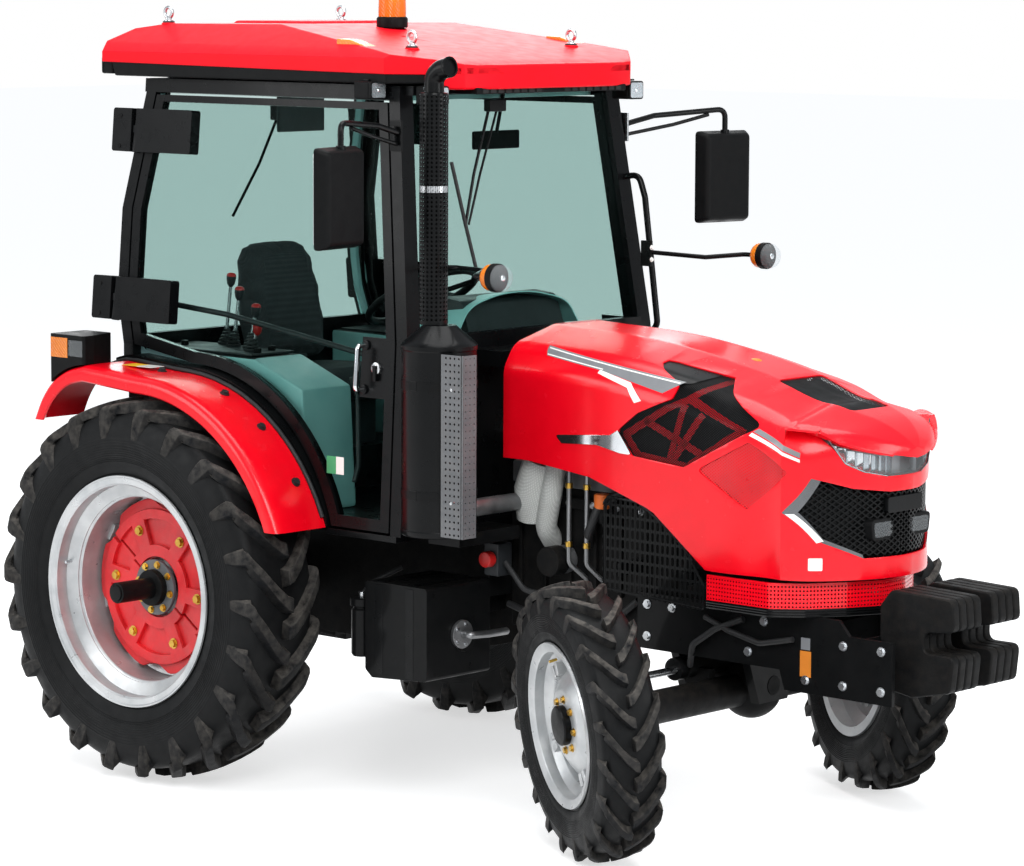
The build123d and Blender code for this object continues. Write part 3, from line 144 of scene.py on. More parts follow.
@dataclass(frozen=True)
class Finish:
    """A solid surface whose colour, gloss and relief vary as the real one's do."""

    name: str
    colour: str
    shade: str
    roughness: float = 0.5
    metallic: float = 0.0
    coat: float = 0.0
    grain: float = 350.0
    bump: float = 0.0
    patch: float = 7.0
    spread: float = 0.1
    dust: float = 0.0
    dust_colour: str = "#A59A8C"
    shine: float = 0.5

    def material(self) -> bpy.types.Material:
        """The material for this finish, made once.

        Returns:
            The material, the same one on each call.
        """
        made = bpy.data.materials.get(self.name)
        if made:
            return made
        made = bpy.data.materials.new(self.name)
        made.use_nodes = True
        tree = made.node_tree
        tree.nodes.clear()
        place = put(tree, "ShaderNodeTexCoord").outputs["Object"]
        surface = self.surface(tree, place)
        put(tree, "ShaderNodeOutputMaterial", {"Surface": surface})
        return made

    def surface(self, tree: Tree, place: Socket) -> Socket:
        """The shader of this finish.

        Args:
            tree: The material's tree.
            place: Object coordinates.

        Returns:
            The shader socket.
        """
        inputs = {"Metallic": self.metallic, "Coat Weight": self.coat, "Coat Roughness": 0.08,
            "Specular IOR Level": self.shine, "Base Color": self.paint(tree, place),
            "Roughness": self.gloss(tree, place)}
        if self.bump:
            height = self.relief(tree, place)
            bump = put(tree, "ShaderNodeBump", {"Strength": 0.6, "Distance": self.bump, "Height": height})
            inputs["Normal"] = bump.outputs["Normal"]
        return put(tree, "ShaderNodeBsdfPrincipled", inputs).outputs["BSDF"]

    def noise(self, tree: Tree, place: Socket, scale: float, low: float, high: float,
            detail: float = 4.0) -> Socket:
        """Noise of one scale, stretched so that low turns to 0 and high to 1.

        Args:
            tree: The material's node tree.
            place: The coordinates that the pattern reads.
            scale: Cells of noise to a metre.
            low: The noise value that turns to 0.
            high: The noise value that turns to 1.
            detail: Octaves of noise.

        Returns:
            The stretched value.
        """
        cloud = put(tree, "ShaderNodeTexNoise", {"Scale": scale, "Detail": detail, "Roughness": 0.6,
            "Vector": place})
        spread = put(tree, "ShaderNodeMapRange", {"From Min": low, "From Max": high,
            "Value": cloud.outputs["Fac"]})
        return spread.outputs["Result"]

    def paint(self, tree: Tree, place: Socket) -> Socket:
        """The colour: patches of the second colour, and dust on what faces up.

        Args:
            tree: The material's node tree.
            place: The coordinates that the pattern reads.

        Returns:
            The colour.
        """
        patches = self.noise(tree, place, self.patch, 0.4, 0.64)
        colour = put(tree, "ShaderNodeMix", {0: patches, 6: linear(self.colour), 7: linear(self.shade)},
            data_type="RGBA").outputs[2]
        return self.dusted(tree, place, colour) if self.dust else colour

    def dusted(self, tree: Tree, place: Socket, colour: Socket) -> Socket:
        """The colour with a film of dust that is thickest on what faces up.

        Args:
            tree: The material's node tree.
            place: The coordinates that the pattern reads.
            colour: The colour under the dust.

        Returns:
            The colour with its dust.
        """
        normal = put(tree, "ShaderNodeNewGeometry").outputs["Normal"]
        up = put(tree, "ShaderNodeSeparateXYZ", {"Vector": normal}).outputs["Z"]
        film = put(tree, "ShaderNodeMapRange", {"From Min": -0.6, "From Max": 1.0, "To Min": 0.15,
            "To Max": 1.0, "Value": up})
        spots = self.noise(tree, place, 38.0, 0.3, 0.75, 6.0)
        share = put(tree, "ShaderNodeMath", {0: film.outputs["Result"], 1: spots},
            operation="MULTIPLY").outputs[0]
        held = put(tree, "ShaderNodeMath", {0: share, 1: self.dust}, operation="MULTIPLY").outputs[0]
        return put(tree, "ShaderNodeMix", {0: held, 6: colour, 7: linear(self.dust_colour)},
            data_type="RGBA").outputs[2]

    def gloss(self, tree: Tree, place: Socket) -> Socket:
        """The roughness, which swings a little in soft patches.

        Args:
            tree: The material's node tree.
            place: The coordinates that the pattern reads.

        Returns:
            The roughness.
        """
        cloud = put(tree, "ShaderNodeTexNoise", {"Scale": self.patch * 3.1, "Detail": 5.0, "Vector": place})
        swing = put(tree, "ShaderNodeMapRange", {"From Min": 0.3, "From Max": 0.7,
            "To Min": max(0.02, self.roughness - self.spread),
            "To Max": min(1.0, self.roughness + self.spread), "Value": cloud.outputs["Fac"]})
        return swing.outputs["Result"]

    def relief(self, tree: Tree, place: Socket) -> Socket:
        """The height of the fine grain."""
        return put(tree, "ShaderNodeTexNoise", {"Scale": self.grain, "Detail": 3.0,
            "Vector": place}).outputs["Fac"]


@dataclass(frozen=True)
class Woven(Finish):
    """Upholstery cloth: two sets of threads that cross, and a lighter fleck."""

    thread: float = 0.0022

    def threads(self, tree: Tree, place: Socket) -> Socket:
        """The weave's height: bands one way, crossed by bands the other way.

        Args:
            tree: The material's node tree.
            place: The coordinates that the pattern reads.

        Returns:
            The height, from 0 to 1.
        """
        waves = []
        for turn in (0.0, math.pi / 2):
            turned = put(tree, "ShaderNodeMapping", {"Rotation": (0.6, turn, turn), "Vector": place})
            wave = put(tree, "ShaderNodeTexWave", {"Scale": 0.32 / self.thread, "Distortion": 0.4,
                "Vector": turned.outputs["Vector"]})
            waves.append(wave.outputs["Fac"])
        return put(tree, "ShaderNodeMath", {0: waves[0], 1: waves[1]}, operation="MULTIPLY").outputs[0]

    def paint(self, tree: Tree, place: Socket) -> Socket:
        """Darker between the threads, with flecks.

        Args:
            tree: The material's node tree.
            place: The coordinates that the pattern reads.

        Returns:
            The colour.
        """
        base = put(tree, "ShaderNodeMix", {0: self.threads(tree, place), 6: linear(self.shade),
            7: linear(self.colour)}, data_type="RGBA").outputs[2]
        flecks = self.noise(tree, place, 260.0, 0.6, 0.75, 2.0)
        held = put(tree, "ShaderNodeMath", {0: flecks, 1: 0.35}, operation="MULTIPLY").outputs[0]
        return put(tree, "ShaderNodeMix", {0: held, 6: base, 7: linear("#6E6A66")},
            data_type="RGBA").outputs[2]

    def relief(self, tree: Tree, place: Socket) -> Socket:
        """The weave's own height."""
        return self.threads(tree, place)


@dataclass(frozen=True)
class Pane(Finish):
    """Flat glass: what is behind it shows through its tint, and it mirrors more at a low angle."""

    tint: str = "#DCE4E2"
    mirror: float = 0.22

    def surface(self, tree: Tree, place: Socket) -> Socket:
        """A tinted see-through shader under a clear gloss.

        Args:
            tree: The material's node tree.
            place: The coordinates that the pattern reads.

        Returns:
            The shader.
        """
        gloss = super().surface(tree, place)
        clear = put(tree, "ShaderNodeBsdfTransparent", {"Color": linear(self.tint)})
        edge = put(tree, "ShaderNodeLayerWeight", {"Blend": self.mirror})
        return put(tree, "ShaderNodeMixShader", {0: edge.outputs["Fresnel"], 1: clear.outputs[0],
            2: gloss}).outputs[0]


@dataclass(frozen=True)
class Ribbed(Pane):
    """A moulded lamp lens: clear or coloured plastic with fine upright ribs."""

    pitch: float = 0.007
    body: float = 0.5

    def relief(self, tree: Tree, place: Socket) -> Socket:
        """The ribs' height, across both X and Y."""
        wave = put(tree, "ShaderNodeTexWave", {"Scale": 0.32 / self.pitch, "Vector": place},
            bands_direction="DIAGONAL")
        return wave.outputs["Fac"]

    def surface(self, tree: Tree, place: Socket) -> Socket:
        """A shader that is partly the plastic's own colour and partly see-through.

        Args:
            tree: The material's node tree.
            place: The coordinates that the pattern reads.

        Returns:
            The shader.
        """
        gloss = Finish.surface(self, tree, place)
        clear = put(tree, "ShaderNodeBsdfTransparent", {"Color": linear(self.tint)})
        return put(tree, "ShaderNodeMixShader", {0: self.body, 1: clear.outputs[0], 2: gloss}).outputs[0]


@dataclass(frozen=True)
class Mesh(Finish):
    """Expanded black mesh: rows of small openings, drawn as coarse as they need to show."""

    pitch: float = 0.008
    open_share: float = 0.45

    def surface(self, tree: Tree, place: Socket) -> Socket:
        """See-through where an opening is, and the sheet elsewhere.

        Args:
            tree: The material's node tree.
            place: The coordinates that the pattern reads.

        Returns:
            The shader.
        """
        sheet = super().surface(tree, place)
        waves = []
        for sign in (-1.0, 1.0):
            way = tuple(c * math.pi / self.pitch for c in (1.0, sign * 1.2, sign * 1.3))
            turns = put(tree, "ShaderNodeVectorMath", {1: way, 0: place},
                operation="DOT_PRODUCT").outputs["Value"]
            wave = put(tree, "ShaderNodeMath", {0: turns}, operation="SINE").outputs[0]
            waves.append(put(tree, "ShaderNodeMath", {0: wave}, operation="ABSOLUTE").outputs[0])
        least = put(tree, "ShaderNodeMath", {0: waves[0], 1: waves[1]}, operation="MINIMUM").outputs[0]
        hole = put(tree, "ShaderNodeMath", {0: least, 1: 1.0 - self.open_share},
            operation="GREATER_THAN").outputs[0]
        clear = put(tree, "ShaderNodeBsdfTransparent")
        return put(tree, "ShaderNodeMixShader", {0: hole, 1: sheet, 2: clear.outputs[0]}).outputs[0]


# enamel sprayed over pressed steel: a deep even red with a clear, slightly rippled gloss
RED = Finish("red_enamel", "#E8041A", "#E00317", 0.24, coat=0.12, grain=30.0, bump=0.00005, spread=0.04,
    shine=0.3)
# the roof cap: the same red on moulded plastic, softer to look at along its top
ROOF_RED = Finish("red_moulded_roof", "#E4061B", "#DA0518", 0.44, grain=300.0, bump=0.0001, spread=0.04,
    shine=0.12)
# the same enamel on rough castings: duller, with dust on what faces up
RED_CAST = Finish("red_enamel_on_casting", "#D8101D", "#B80E18", 0.4, grain=260.0, bump=0.001, dust=0.12)
# silver wheel paint: fine metal flake in a satin film
SILVER = Finish("silver_wheel_paint", "#BFC1C2", "#A9ACAE", 0.36, metallic=0.55, grain=700.0, bump=0.0001,
    dust=0.18)
# black chassis paint with road dust
CHASSIS = Finish("black_chassis_paint", "#0D0E0F", "#0E0F10", 0.36, coat=0.1, grain=300.0, bump=0.0006,
    dust=0.025, dust_colour="#6E655A", shine=0.05)
# cast iron under thin black paint: sandy grain, dull
CAST = Finish("painted_cast_iron", "#131415", "#0C0D0E", 0.46, grain=420.0, bump=0.001, dust=0.08,
    dust_colour="#75695C", shine=0.06)
# satin black enamel of the cab frame
SATIN = Finish("satin_black_enamel", "#0A0B0C", "#070809", 0.3, coat=0.08, grain=200.0, bump=0.0001,
    spread=0.05, shine=0.1)
# moulded black polypropylene: fine leather grain
PLASTIC = Finish("moulded_black_plastic", "#0D0E0F", "#0E0F10", 0.44, grain=900.0, bump=0.0004, dust=0.012,
    shine=0.07)
# grey-green ABS trim of the cab's inside
TEAL = Finish("teal_abs_trim", "#A3D2D1", "#94C8C7", 0.42, grain=700.0, bump=0.0005)
# dark mouldings inside the cab
COWL = Finish("charcoal_abs", "#202326", "#191B1E", 0.52, grain=800.0, bump=0.0006)
# rubber: nearly black, smooth on the sides and dusty where it treads
RUBBER = Finish("tyre_sidewall_rubber", "#111213", "#0C0D0E", 0.48, grain=500.0, bump=0.0006, dust=0.04,
    dust_colour="#6B6864", shine=0.1)
TREAD = Finish("tyre_tread_rubber", "#15171A", "#0F1012", 0.5, grain=320.0, bump=0.0012, dust=0.42,
    dust_colour="#8A847C", shine=0.05)
SEAL = Finish("black_rubber_seal", "#161719", "#0F1011", 0.62, grain=600.0, bump=0.0005)
# zinc-plated and polished metals
ZINC = Finish("bright_zinc_steel", "#C4C6C8", "#AEB1B4", 0.28, metallic=1.0, grain=600.0, bump=0.0002)
BRASS = Finish("yellow_zinc_plate", "#C8A34E", "#A98438", 0.32, metallic=1.0, grain=600.0, bump=0.0003)
DARK_CHROME = Finish("smoked_chrome", "#6C6E70", "#5C5E60", 0.22, metallic=0.9, grain=300.0, bump=0.0,
    spread=0.03)
CHROME = Finish("chrome_plate", "#E4E6E8", "#D6D9DC", 0.08, metallic=1.0, grain=300.0, bump=0.0, spread=0.03)
STEEL = Finish("bare_steel_pipe", "#8E8F90", "#77787A", 0.38, metallic=0.9, grain=400.0, bump=0.0004)
# grey enamel on perforated sheet
GREY = Finish("grey_enamel", "#56585B", "#4B4D50", 0.45, grain=320.0, bump=0.0006, dust=0.15)
# heat wrap: quilted grey cloth
WRAP = Woven("heat_cloth", "#C9CBC8", "#A5A7A4", 0.8, bump=0.002, thread=0.006)
CLOTH = Woven("seat_cloth", "#3A3B3E", "#242528", 0.85, bump=0.0012, thread=0.004)
PIPING = Finish("seat_piping", "#2A2B2D", "#1D1E20", 0.6, grain=900.0, bump=0.0004)
# printed film on the hood, blank labels and small plastic parts; the grey and white film also paint the shade
# and highlight of a crease on the hood
FILM_GREY_AND_SHADE = Finish("grey_printed_film_and_painted_shade", "#77797C", "#6D6F72", 0.35, coat=0.4, grain=100.0, spread=0.04)
FILM_WHITE_AND_HIGHLIGHT = Finish("white_printed_film_and_painted_highlight", "#E9E8E4", "#DEDDD8", 0.35, coat=0.4, grain=100.0, spread=0.04)
FILM_ORANGE = Finish("orange_blank_label", "#D8802A", "#C9741F", 0.4, grain=100.0, spread=0.04)
FILM_YELLOW = Finish("yellow_blank_label", "#E8B81E", "#DDAE1A", 0.4, grain=100.0, spread=0.04)
FILM_GREEN = Finish("green_blank_label", "#3F9E6A", "#358E5E", 0.4, grain=100.0, spread=0.04)
ORANGE = Finish("orange_moulded_cap", "#D9691C", "#C25A14", 0.45, grain=500.0, bump=0.0004)
RED_PLASTIC = Finish("red_moulded_plastic", "#C01C1A", "#A81614", 0.4, grain=500.0, bump=0.0003)
# painted shade: matt black for the roof inlet's slots and the sheets behind the hood's meshes, vent and
# grille, where the inside is only in shade
PAINTED_SHADE_BLACK = Finish("painted_shade_black", "#0C0D0E", "#08090A", 0.8, grain=300.0, bump=0.0006)
# lamps and glass
GLASS = Pane("tinted_cab_glass", "#0B0F10", "#0B0F10", 0.04, tint="#E2ECEA", mirror=0.1, spread=0.01)
LENS = Ribbed("clear_lamp_lens", "#D9DEE0", "#CDD3D6", 0.12, bump=0.0015, tint="#F9FBFC", body=0.14,
    spread=0.02)
AMBER = Ribbed("amber_lamp_lens", "#F08A1E", "#DE7412", 0.18, bump=0.0012, tint="#FFA23A", body=0.78,
    spread=0.03)
RED_MESH = Mesh("red_expanded_mesh", "#DC0A1C", "#C80A18", 0.35, bump=0.0, pitch=0.012, open_share=0.3)
MESH = Mesh("black_expanded_mesh", "#0C0D0E", "#090A0B", 0.4, bump=0.0, pitch=0.01, open_share=0.42,
    shine=0.08)


# ---- outlines and paths -------------------------------------------------------------------------
def soften(points: Sequence[Sequence[float]], radius: float | Sequence[float], steps: int = 4,
        closed: bool = True) -> list[tuple[float, ...]]:
    """Rounds the corners of an outline or a path.

    Args:
        points: The corners.
        radius: One radius, or one for each corner.
        steps: Edges in each rounded corner.
        closed: Whether the last corner joins the first.

    Returns:
        The rounded points.
    """
    made: list[tuple[float, ...]] = []
    count = len(points)
    for i, point in enumerate(points):
        r = radius[i] if isinstance(radius, (list, tuple)) else radius
        here = Vector(point)
        if r <= 0 or (not closed and i in (0, count - 1)):
            made.append(tuple(here))
            continue
        back, ahead = Vector(points[i - 1]) - here, Vector(points[(i + 1) % count]) - here
        angle = back.angle(ahead, math.pi)
        if angle > 3.08:
            made.append(tuple(here))
            continue
        cut = min(r / math.tan(angle / 2), back.length * 0.49, ahead.length * 0.49)
        start, end = here + back.normalized() * cut, here + ahead.normalized() * cut
        for k in range(steps + 1):
            t = k / steps
            made.append(tuple(start * (1 - t) ** 2 + here * (2 * t * (1 - t)) + end * t * t))
    return made


def curve(points: Sequence[Sequence[float]], steps: int = 8) -> list[Vector]:
    """A smooth line through the points.

    Args:
        points: The points it passes.
        steps: Edges between two points.

    Returns:
        Points along it.
    """
    p = [Vector(q) for q in points]
    gaps = [(b - a).length for a, b in zip(p, p[1:])]
    slopes = [(p[1] - p[0]) / gaps[0]]
    for i in range(1, len(p) - 1):
        before, after = (p[i] - p[i - 1]) / gaps[i - 1], (p[i + 1] - p[i]) / gaps[i]
        slopes.append((before * gaps[i] + after * gaps[i - 1]) / (gaps[i - 1] + gaps[i]))
    slopes.append((p[-1] - p[-2]) / gaps[-1])
    made = []
    for i, gap in enumerate(gaps):
        for k in range(steps):
            t = k / steps
            made.append(p[i] * (2 * t ** 3 - 3 * t * t + 1) + slopes[i] * gap * (t ** 3 - 2 * t * t + t)
                + p[i + 1] * (3 * t * t - 2 * t ** 3) + slopes[i + 1] * gap * (t ** 3 - t * t))
    return [*made, p[-1]]


def angles(count: int) -> list[float]:
    """Angles that share a full turn evenly, from 0."""
    return [2 * math.pi * k / count for k in range(count)]


def polar(radius: float, angle: float) -> Flat:
    """A place at a distance and an angle from the origin."""
    return radius * math.cos(angle), radius * math.sin(angle)


def hand(side: int) -> str:
    """A side's name, as node names end."""
    return "right" if side < 0 else "left"


def on_line(line: Sequence[Flat], z: float) -> float:
    """The first value of a chain of pairs where the second is z.

    Args:
        line: The chain of pairs.
        z: The second value.

    Returns:
        The first value there.
    """
    for (xa, za), (xb, zb) in zip(line, line[1:]):
        if min(za, zb) - 1e-6 <= z <= max(za, zb) + 1e-6:
            return xa + (xb - xa) * (z - za) / (zb - za)
    return line[0][0] if abs(z - line[0][1]) < abs(z - line[-1][1]) else line[-1][0]


def side_y(z: float, side: int, out: float = 0.0) -> float:
    """Y of the cab's leaning side at a height, moved out by a distance."""
    return side * (SIDE_SILL_Y - (z - SILL_Z) * SIDE_LEAN + out)


# ---- pieces -------------------------------------------------------------------------------------
def ease(shape: Sheet, edges: list, width: float, steps: int = 2) -> None:
    """Rounds some of a shape's edges."""
    bmesh.ops.bevel(shape, geom=edges, offset=width, segments=steps, profile=0.6, affect="EDGES",
        clamp_overlap=True)


def block(low: Point, high: Point) -> Sheet:
    """A block between two corners.

    Args:
        low: One corner.
        high: The opposite corner, on any side of the first.

    Returns:
        The block.
    """
    shape = bmesh.new()
    bmesh.ops.create_cube(shape, size=1.0)
    for v in shape.verts:
        v.co = Vector([(a + b) / 2 + c * abs(b - a) for a, b, c in zip(Vector(low), Vector(high), v.co)])
    return shape


def loft(rows: Iterable[Iterable[Sequence[float]]]) -> Sheet:
    """A closed shape through rings of points.

    Args:
        rows: The rings, which all have the same number of points.

    Returns:
        The shape, with its faces outwards.
    """
    shape = bmesh.new()
    rings = [[shape.verts.new(p) for p in row] for row in rows]
    for one, two in zip(rings, rings[1:]):
        for k in range(len(one)):
            n = (k + 1) % len(one)
            shape.faces.new((one[k], one[n], two[n], two[k]))
    shape.faces.new(rings[0][::-1])
    shape.faces.new(rings[-1])
    bmesh.ops.recalc_face_normals(shape, faces=shape.faces)
    return shape


class Piece:
    """A mesh that grows shape by shape, each with its own finish, and then rides on a body."""

    def __init__(self, name: str, body: str = "chassis") -> None:
        """An empty piece with its name and the body that it rides on.

        Args:
            name: The piece's name.
            body: The body that it rides on.
        """
        self.name = name
        self.body = body
        self.verts: list[Vector] = []
        self.faces: list[list[int]] = []
        self.marks: list[int] = []
        self.finishes: list[Finish] = []
        self.place = Matrix.Identity(4)

    def add(self, verts: Iterable[Sequence[float]], faces: Iterable[Sequence[int]],
            finish: Finish) -> "Piece":
        """Adds raw points and faces, turned by the place that is set.

        Args:
            verts: The points.
            faces: The points of each face, by number.
            finish: What the faces are made of.

        Returns:
            The piece itself.
        """
        if finish not in self.finishes:
            self.finishes.append(finish)
        base, mark = len(self.verts), self.finishes.index(finish)
        self.verts += [self.place @ Vector(v) for v in verts]
        for face in faces:
            self.faces.append([base + i for i in face])
            self.marks.append(mark)
        return self

    def take(self, shape: Sheet, finish: Finish, bevel: float = 0.0, steps: int = 2) -> "Piece":
        """Adds a bmesh with its hard edges rounded, and frees it.

        Args:
            shape: The bmesh, which is freed.
            finish: What it is made of.
            bevel: How far its hard edges are rounded, in metres.
            steps: Faces in each rounding.

        Returns:
            The piece itself.
        """
        if bevel:
            edges = [e for e in shape.edges if e.is_manifold and e.calc_face_angle(0) > HARD_EDGE]
            ease(shape, edges, bevel, steps)
        shape.verts.index_update()
        self.add([v.co.copy() for v in shape.verts], [[v.index for v in f.verts] for f in shape.faces],
            finish)
        shape.free()
        return self

    def box(self, low: Point, high: Point, finish: Finish, bevel: float = 0.003, steps: int = 2) -> "Piece":
        """A block between two corners."""
        return self.take(block(low, high), finish, bevel, steps)

    def slab(self, axis: Axis, outline: Sequence[Flat], low: float, high: float, finish: Finish,
            bevel: float = 0.002, steps: int = 2) -> "Piece":
        """An outline drawn out between two values along an axis, given in any order.

        Args:
            axis: The axis that it is drawn out along.
            outline: The outline, seen along that axis.
            low: One end.
            high: The other end.
            finish: What it is made of.
            bevel: How far its ends' edges are rounded, in metres.
            steps: Faces in each rounding.

        Returns:
            The piece itself.
        """
        shape = loft([axis.lift(a, b, d) for a, b in outline] for d in sorted((low, high)))
        if bevel:
            k = "xyz".index(axis.value)
            rim = [e for e in shape.edges if abs(e.verts[0].co[k] - e.verts[1].co[k]) < 1e-7]
            ease(shape, rim, bevel, steps)
        return self.take(shape, finish)

    def spin(self, profile: Sequence[Flat], centre: Point, axis: Point, finish: Finish, sides: int = 48,
            closed: bool = False) -> "Piece":
        """A profile turned about an axis.

        Args:
            profile: Pairs of distance along the axis and radius.
            centre: Where the distance is 0.
            axis: The direction of the axis.
            finish: Its finish.
            sides: Faces round it.
            closed: Whether the profile's end joins its start.

        Returns:
            The piece.
        """
        turn = Vector(axis).to_track_quat("Z", "Y").to_matrix()
        middle = Vector(centre)
        verts, rings = [], []
        for along, r in profile:
            if r < 1e-6:
                rings.append([len(verts)])
                verts.append(middle + turn @ Vector((0, 0, along)))
                continue
            rings.append(list(range(len(verts), len(verts) + sides)))
            verts += [middle + turn @ Vector((*polar(r, a), along)) for a in angles(sides)]
        pairs = list(zip(rings, rings[1:])) + ([(rings[-1], rings[0])] if closed else [])
        faces = []
        for first, second in pairs:
            for k in range(sides):
                n = (k + 1) % sides
                if len(first) == 1 and len(second) > 1:
                    faces.append((first[0], second[n], second[k]))
                elif len(second) == 1 and len(first) > 1:
                    faces.append((first[k], first[n], second[0]))
                elif len(first) > 1:
                    faces.append((first[k], first[n], second[n], second[k]))
        return self.add(verts, faces, finish)

    def rod(self, start: Point, end: Point, radius: float, finish: Finish, bevel: float = 0.0015,
            sides: int = 24) -> "Piece":
        """A round bar between two points, with its ends' edges broken.

        Args:
            start: One end.
            end: The other end.
            radius: Its radius.
            finish: What it is made of.
            bevel: How far its ends' edges are rounded.
            sides: Faces round it.

        Returns:
            The piece itself.
        """
        length = (Vector(end) - Vector(start)).length
        b = min(bevel, radius * 0.4, length * 0.4)
        profile = [(0, 0), (0, radius - b), (b * 0.3, radius - b * 0.3), (b, radius), (length - b, radius),
            (length - b * 0.3, radius - b * 0.3), (length, radius - b), (length, 0)]
        return self.spin(profile, start, tuple(Vector(end) - Vector(start)), finish, sides)

    def ball(self, centre: Point, radius: float, finish: Finish, flat: float = 1.0) -> "Piece":
        """A ball, or a flattened one along Z."""
        profile = [(-radius * flat * math.cos(math.pi * k / 12), radius * math.sin(math.pi * k / 12))
            for k in range(13)]
        return self.spin(profile, centre, UP, finish, 24)

    def tube(self, points: Sequence[Sequence[float]], radius: float, finish: Finish, bend: float = 0.02,
            sides: int = 14, closed: bool = False) -> "Piece":
        """A round bar along a path whose corners are bent.

        Args:
            points: Corners of the path.
            radius: The bar's radius.
            finish: Its finish.
            bend: Radius of each bend, or 0 for a path that is smooth already.
            sides: Faces round it.
            closed: Whether it is a ring.

        Returns:
            The piece.
        """
        path = [Vector(p) for p in (soften(points, bend, 6, closed) if bend else points)]
        count = len(path)
        verts, faces = [], []
        normal = None
        for i, p in enumerate(path):
            ahead = path[(i + 1) % count] if closed or i < count - 1 else p
            back = path[i - 1] if closed or i else p
            way = (ahead - back).normalized()
            if normal is None:
                normal = way.orthogonal().normalized()
            normal = (normal - way * normal.dot(way)).normalized()
            across = way.cross(normal)
            verts += [p + (normal * math.cos(a) + across * math.sin(a)) * radius for a in angles(sides)]
        for i in range(count if closed else count - 1):
            j = (i + 1) % count
            for k in range(sides):
                n = (k + 1) % sides
                faces.append((i * sides + k, i * sides + n, j * sides + n, j * sides + k))
        if not closed:
            faces.append(tuple(range(sides))[::-1])
            faces.append(tuple((count - 1) * sides + k for k in range(sides)))
        return self.add(verts, faces, finish)

    def band(self, rows: Sequence[Sequence[Sequence[float]]], finish: Finish, thick: float = 0.0) -> "Piece":
        """A sheet through rows of points, given a thickness inwards if it has one.

        Args:
            rows: Rows of points, all of one length.
            finish: What it is made of.
            thick: Its thickness, or 0 for a bare sheet.

        Returns:
            The piece itself.
        """
        wide = len(rows[0])
        verts = [Vector(p) for row in rows for p in row]
        faces = [(r * wide + c, r * wide + c + 1, (r + 1) * wide + c + 1, (r + 1) * wide + c)
            for r in range(len(rows) - 1) for c in range(wide - 1)]
        if not thick:
            return self.add(verts, faces, finish)
        shape = bmesh.new()
        made = [shape.verts.new(v) for v in verts]
        for face in faces:
            shape.faces.new([made[i] for i in face])
        bmesh.ops.recalc_face_normals(shape, faces=shape.faces)
        bmesh.ops.solidify(shape, geom=shape.faces[:], thickness=thick)
        return self.take(shape, finish)

    def copy(self, node: str, finish: Finish | Callable[[Vector, Vector], Finish], bevel: float = 0.0,
            keep: Test | None = None) -> "Piece":
        """Adds a CAD node's shape, merged, with its hard edges rounded.

        Args:
            node: The CAD node.
            finish: One finish, or a function of a face's middle and normal that gives it.
            bevel: Width of the rounding.
            keep: A test of a face's middle that says whether it stays.

        Returns:
            The piece.
        """
        shape = bmesh.new()
        shape.from_mesh(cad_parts[node].data)
        bmesh.ops.translate(shape, vec=(-AXLE_X, 0, 0), verts=shape.verts)
        bmesh.ops.remove_doubles(shape, verts=shape.verts, dist=SAME_POINT)
        bmesh.ops.dissolve_limit(shape, angle_limit=math.radians(1.2), verts=shape.verts, edges=shape.edges)
        if keep:
            gone = [f for f in shape.faces if not keep(f.calc_center_median())]
            bmesh.ops.delete(shape, geom=gone, context="FACES")
        if bevel:
            edges = [e for e in shape.edges if e.is_manifold and e.calc_face_angle(0) > HARD_CAD_EDGE]
            ease(shape, edges, bevel)
        shape.verts.index_update()
        shape.normal_update()
        groups: dict[Finish, list[list[int]]] = {}
        for f in shape.faces:
            chosen = finish(f.calc_center_median(), f.normal) if callable(finish) else finish
            groups.setdefault(chosen, []).append([v.index for v in f.verts])
        base = len(self.verts)
        self.add([v.co.copy() for v in shape.verts], [], next(iter(groups)))
        for chosen, faces in groups.items():
            if chosen not in self.finishes:
                self.finishes.append(chosen)
            for face in faces:
                self.faces.append([base + i for i in face])
                self.marks.append(self.finishes.index(chosen))
        shape.free()
        return self

    def done(self, *stands_for: str, slot: str = "", angle: float = 38.0, outward: bool = True,
            weighted: bool = True) -> bpy.types.Object:
        """Makes the object, gives it its finishes and hangs it on its body.

        Args:
            stands_for: CAD nodes that it replaces.
            slot: Not used.
            angle: Edges sharper than this many degrees stay sharp.
            outward: Whether faces are turned outwards first.
            weighted: Whether flat faces keep their shading flat beside rounded edges.

        Returns:
            The object.
        """
        mesh = bpy.data.meshes.new(self.name)
        mesh.from_pydata([(v.x + AXLE_X, v.y, v.z) for v in self.verts], [], self.faces)
        mesh.validate()
        for finish in self.finishes:
            mesh.materials.append(finish.material())
        if len(mesh.polygons) == len(self.marks):
            mesh.polygons.foreach_set("material_index", self.marks)
        if outward:
            shape = bmesh.new()
            shape.from_mesh(mesh)
            bmesh.ops.recalc_face_normals(shape, faces=shape.faces)
            shape.to_mesh(mesh)
            shape.free()
        mesh.polygons.foreach_set("use_smooth", [True] * len(mesh.polygons))
        mesh.set_sharp_from_angle(angle=math.radians(angle))
        made = placed(self.name, mesh)
        if weighted:
            made.modifiers.new("flat_shading", "WEIGHTED_NORMAL").keep_sharp = True
        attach(made, self.body)
        if stands_for:
            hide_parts(*stands_for)
        LOG.info("%s on %s: %d faces", self.name, self.body, len(mesh.polygons))
        return made


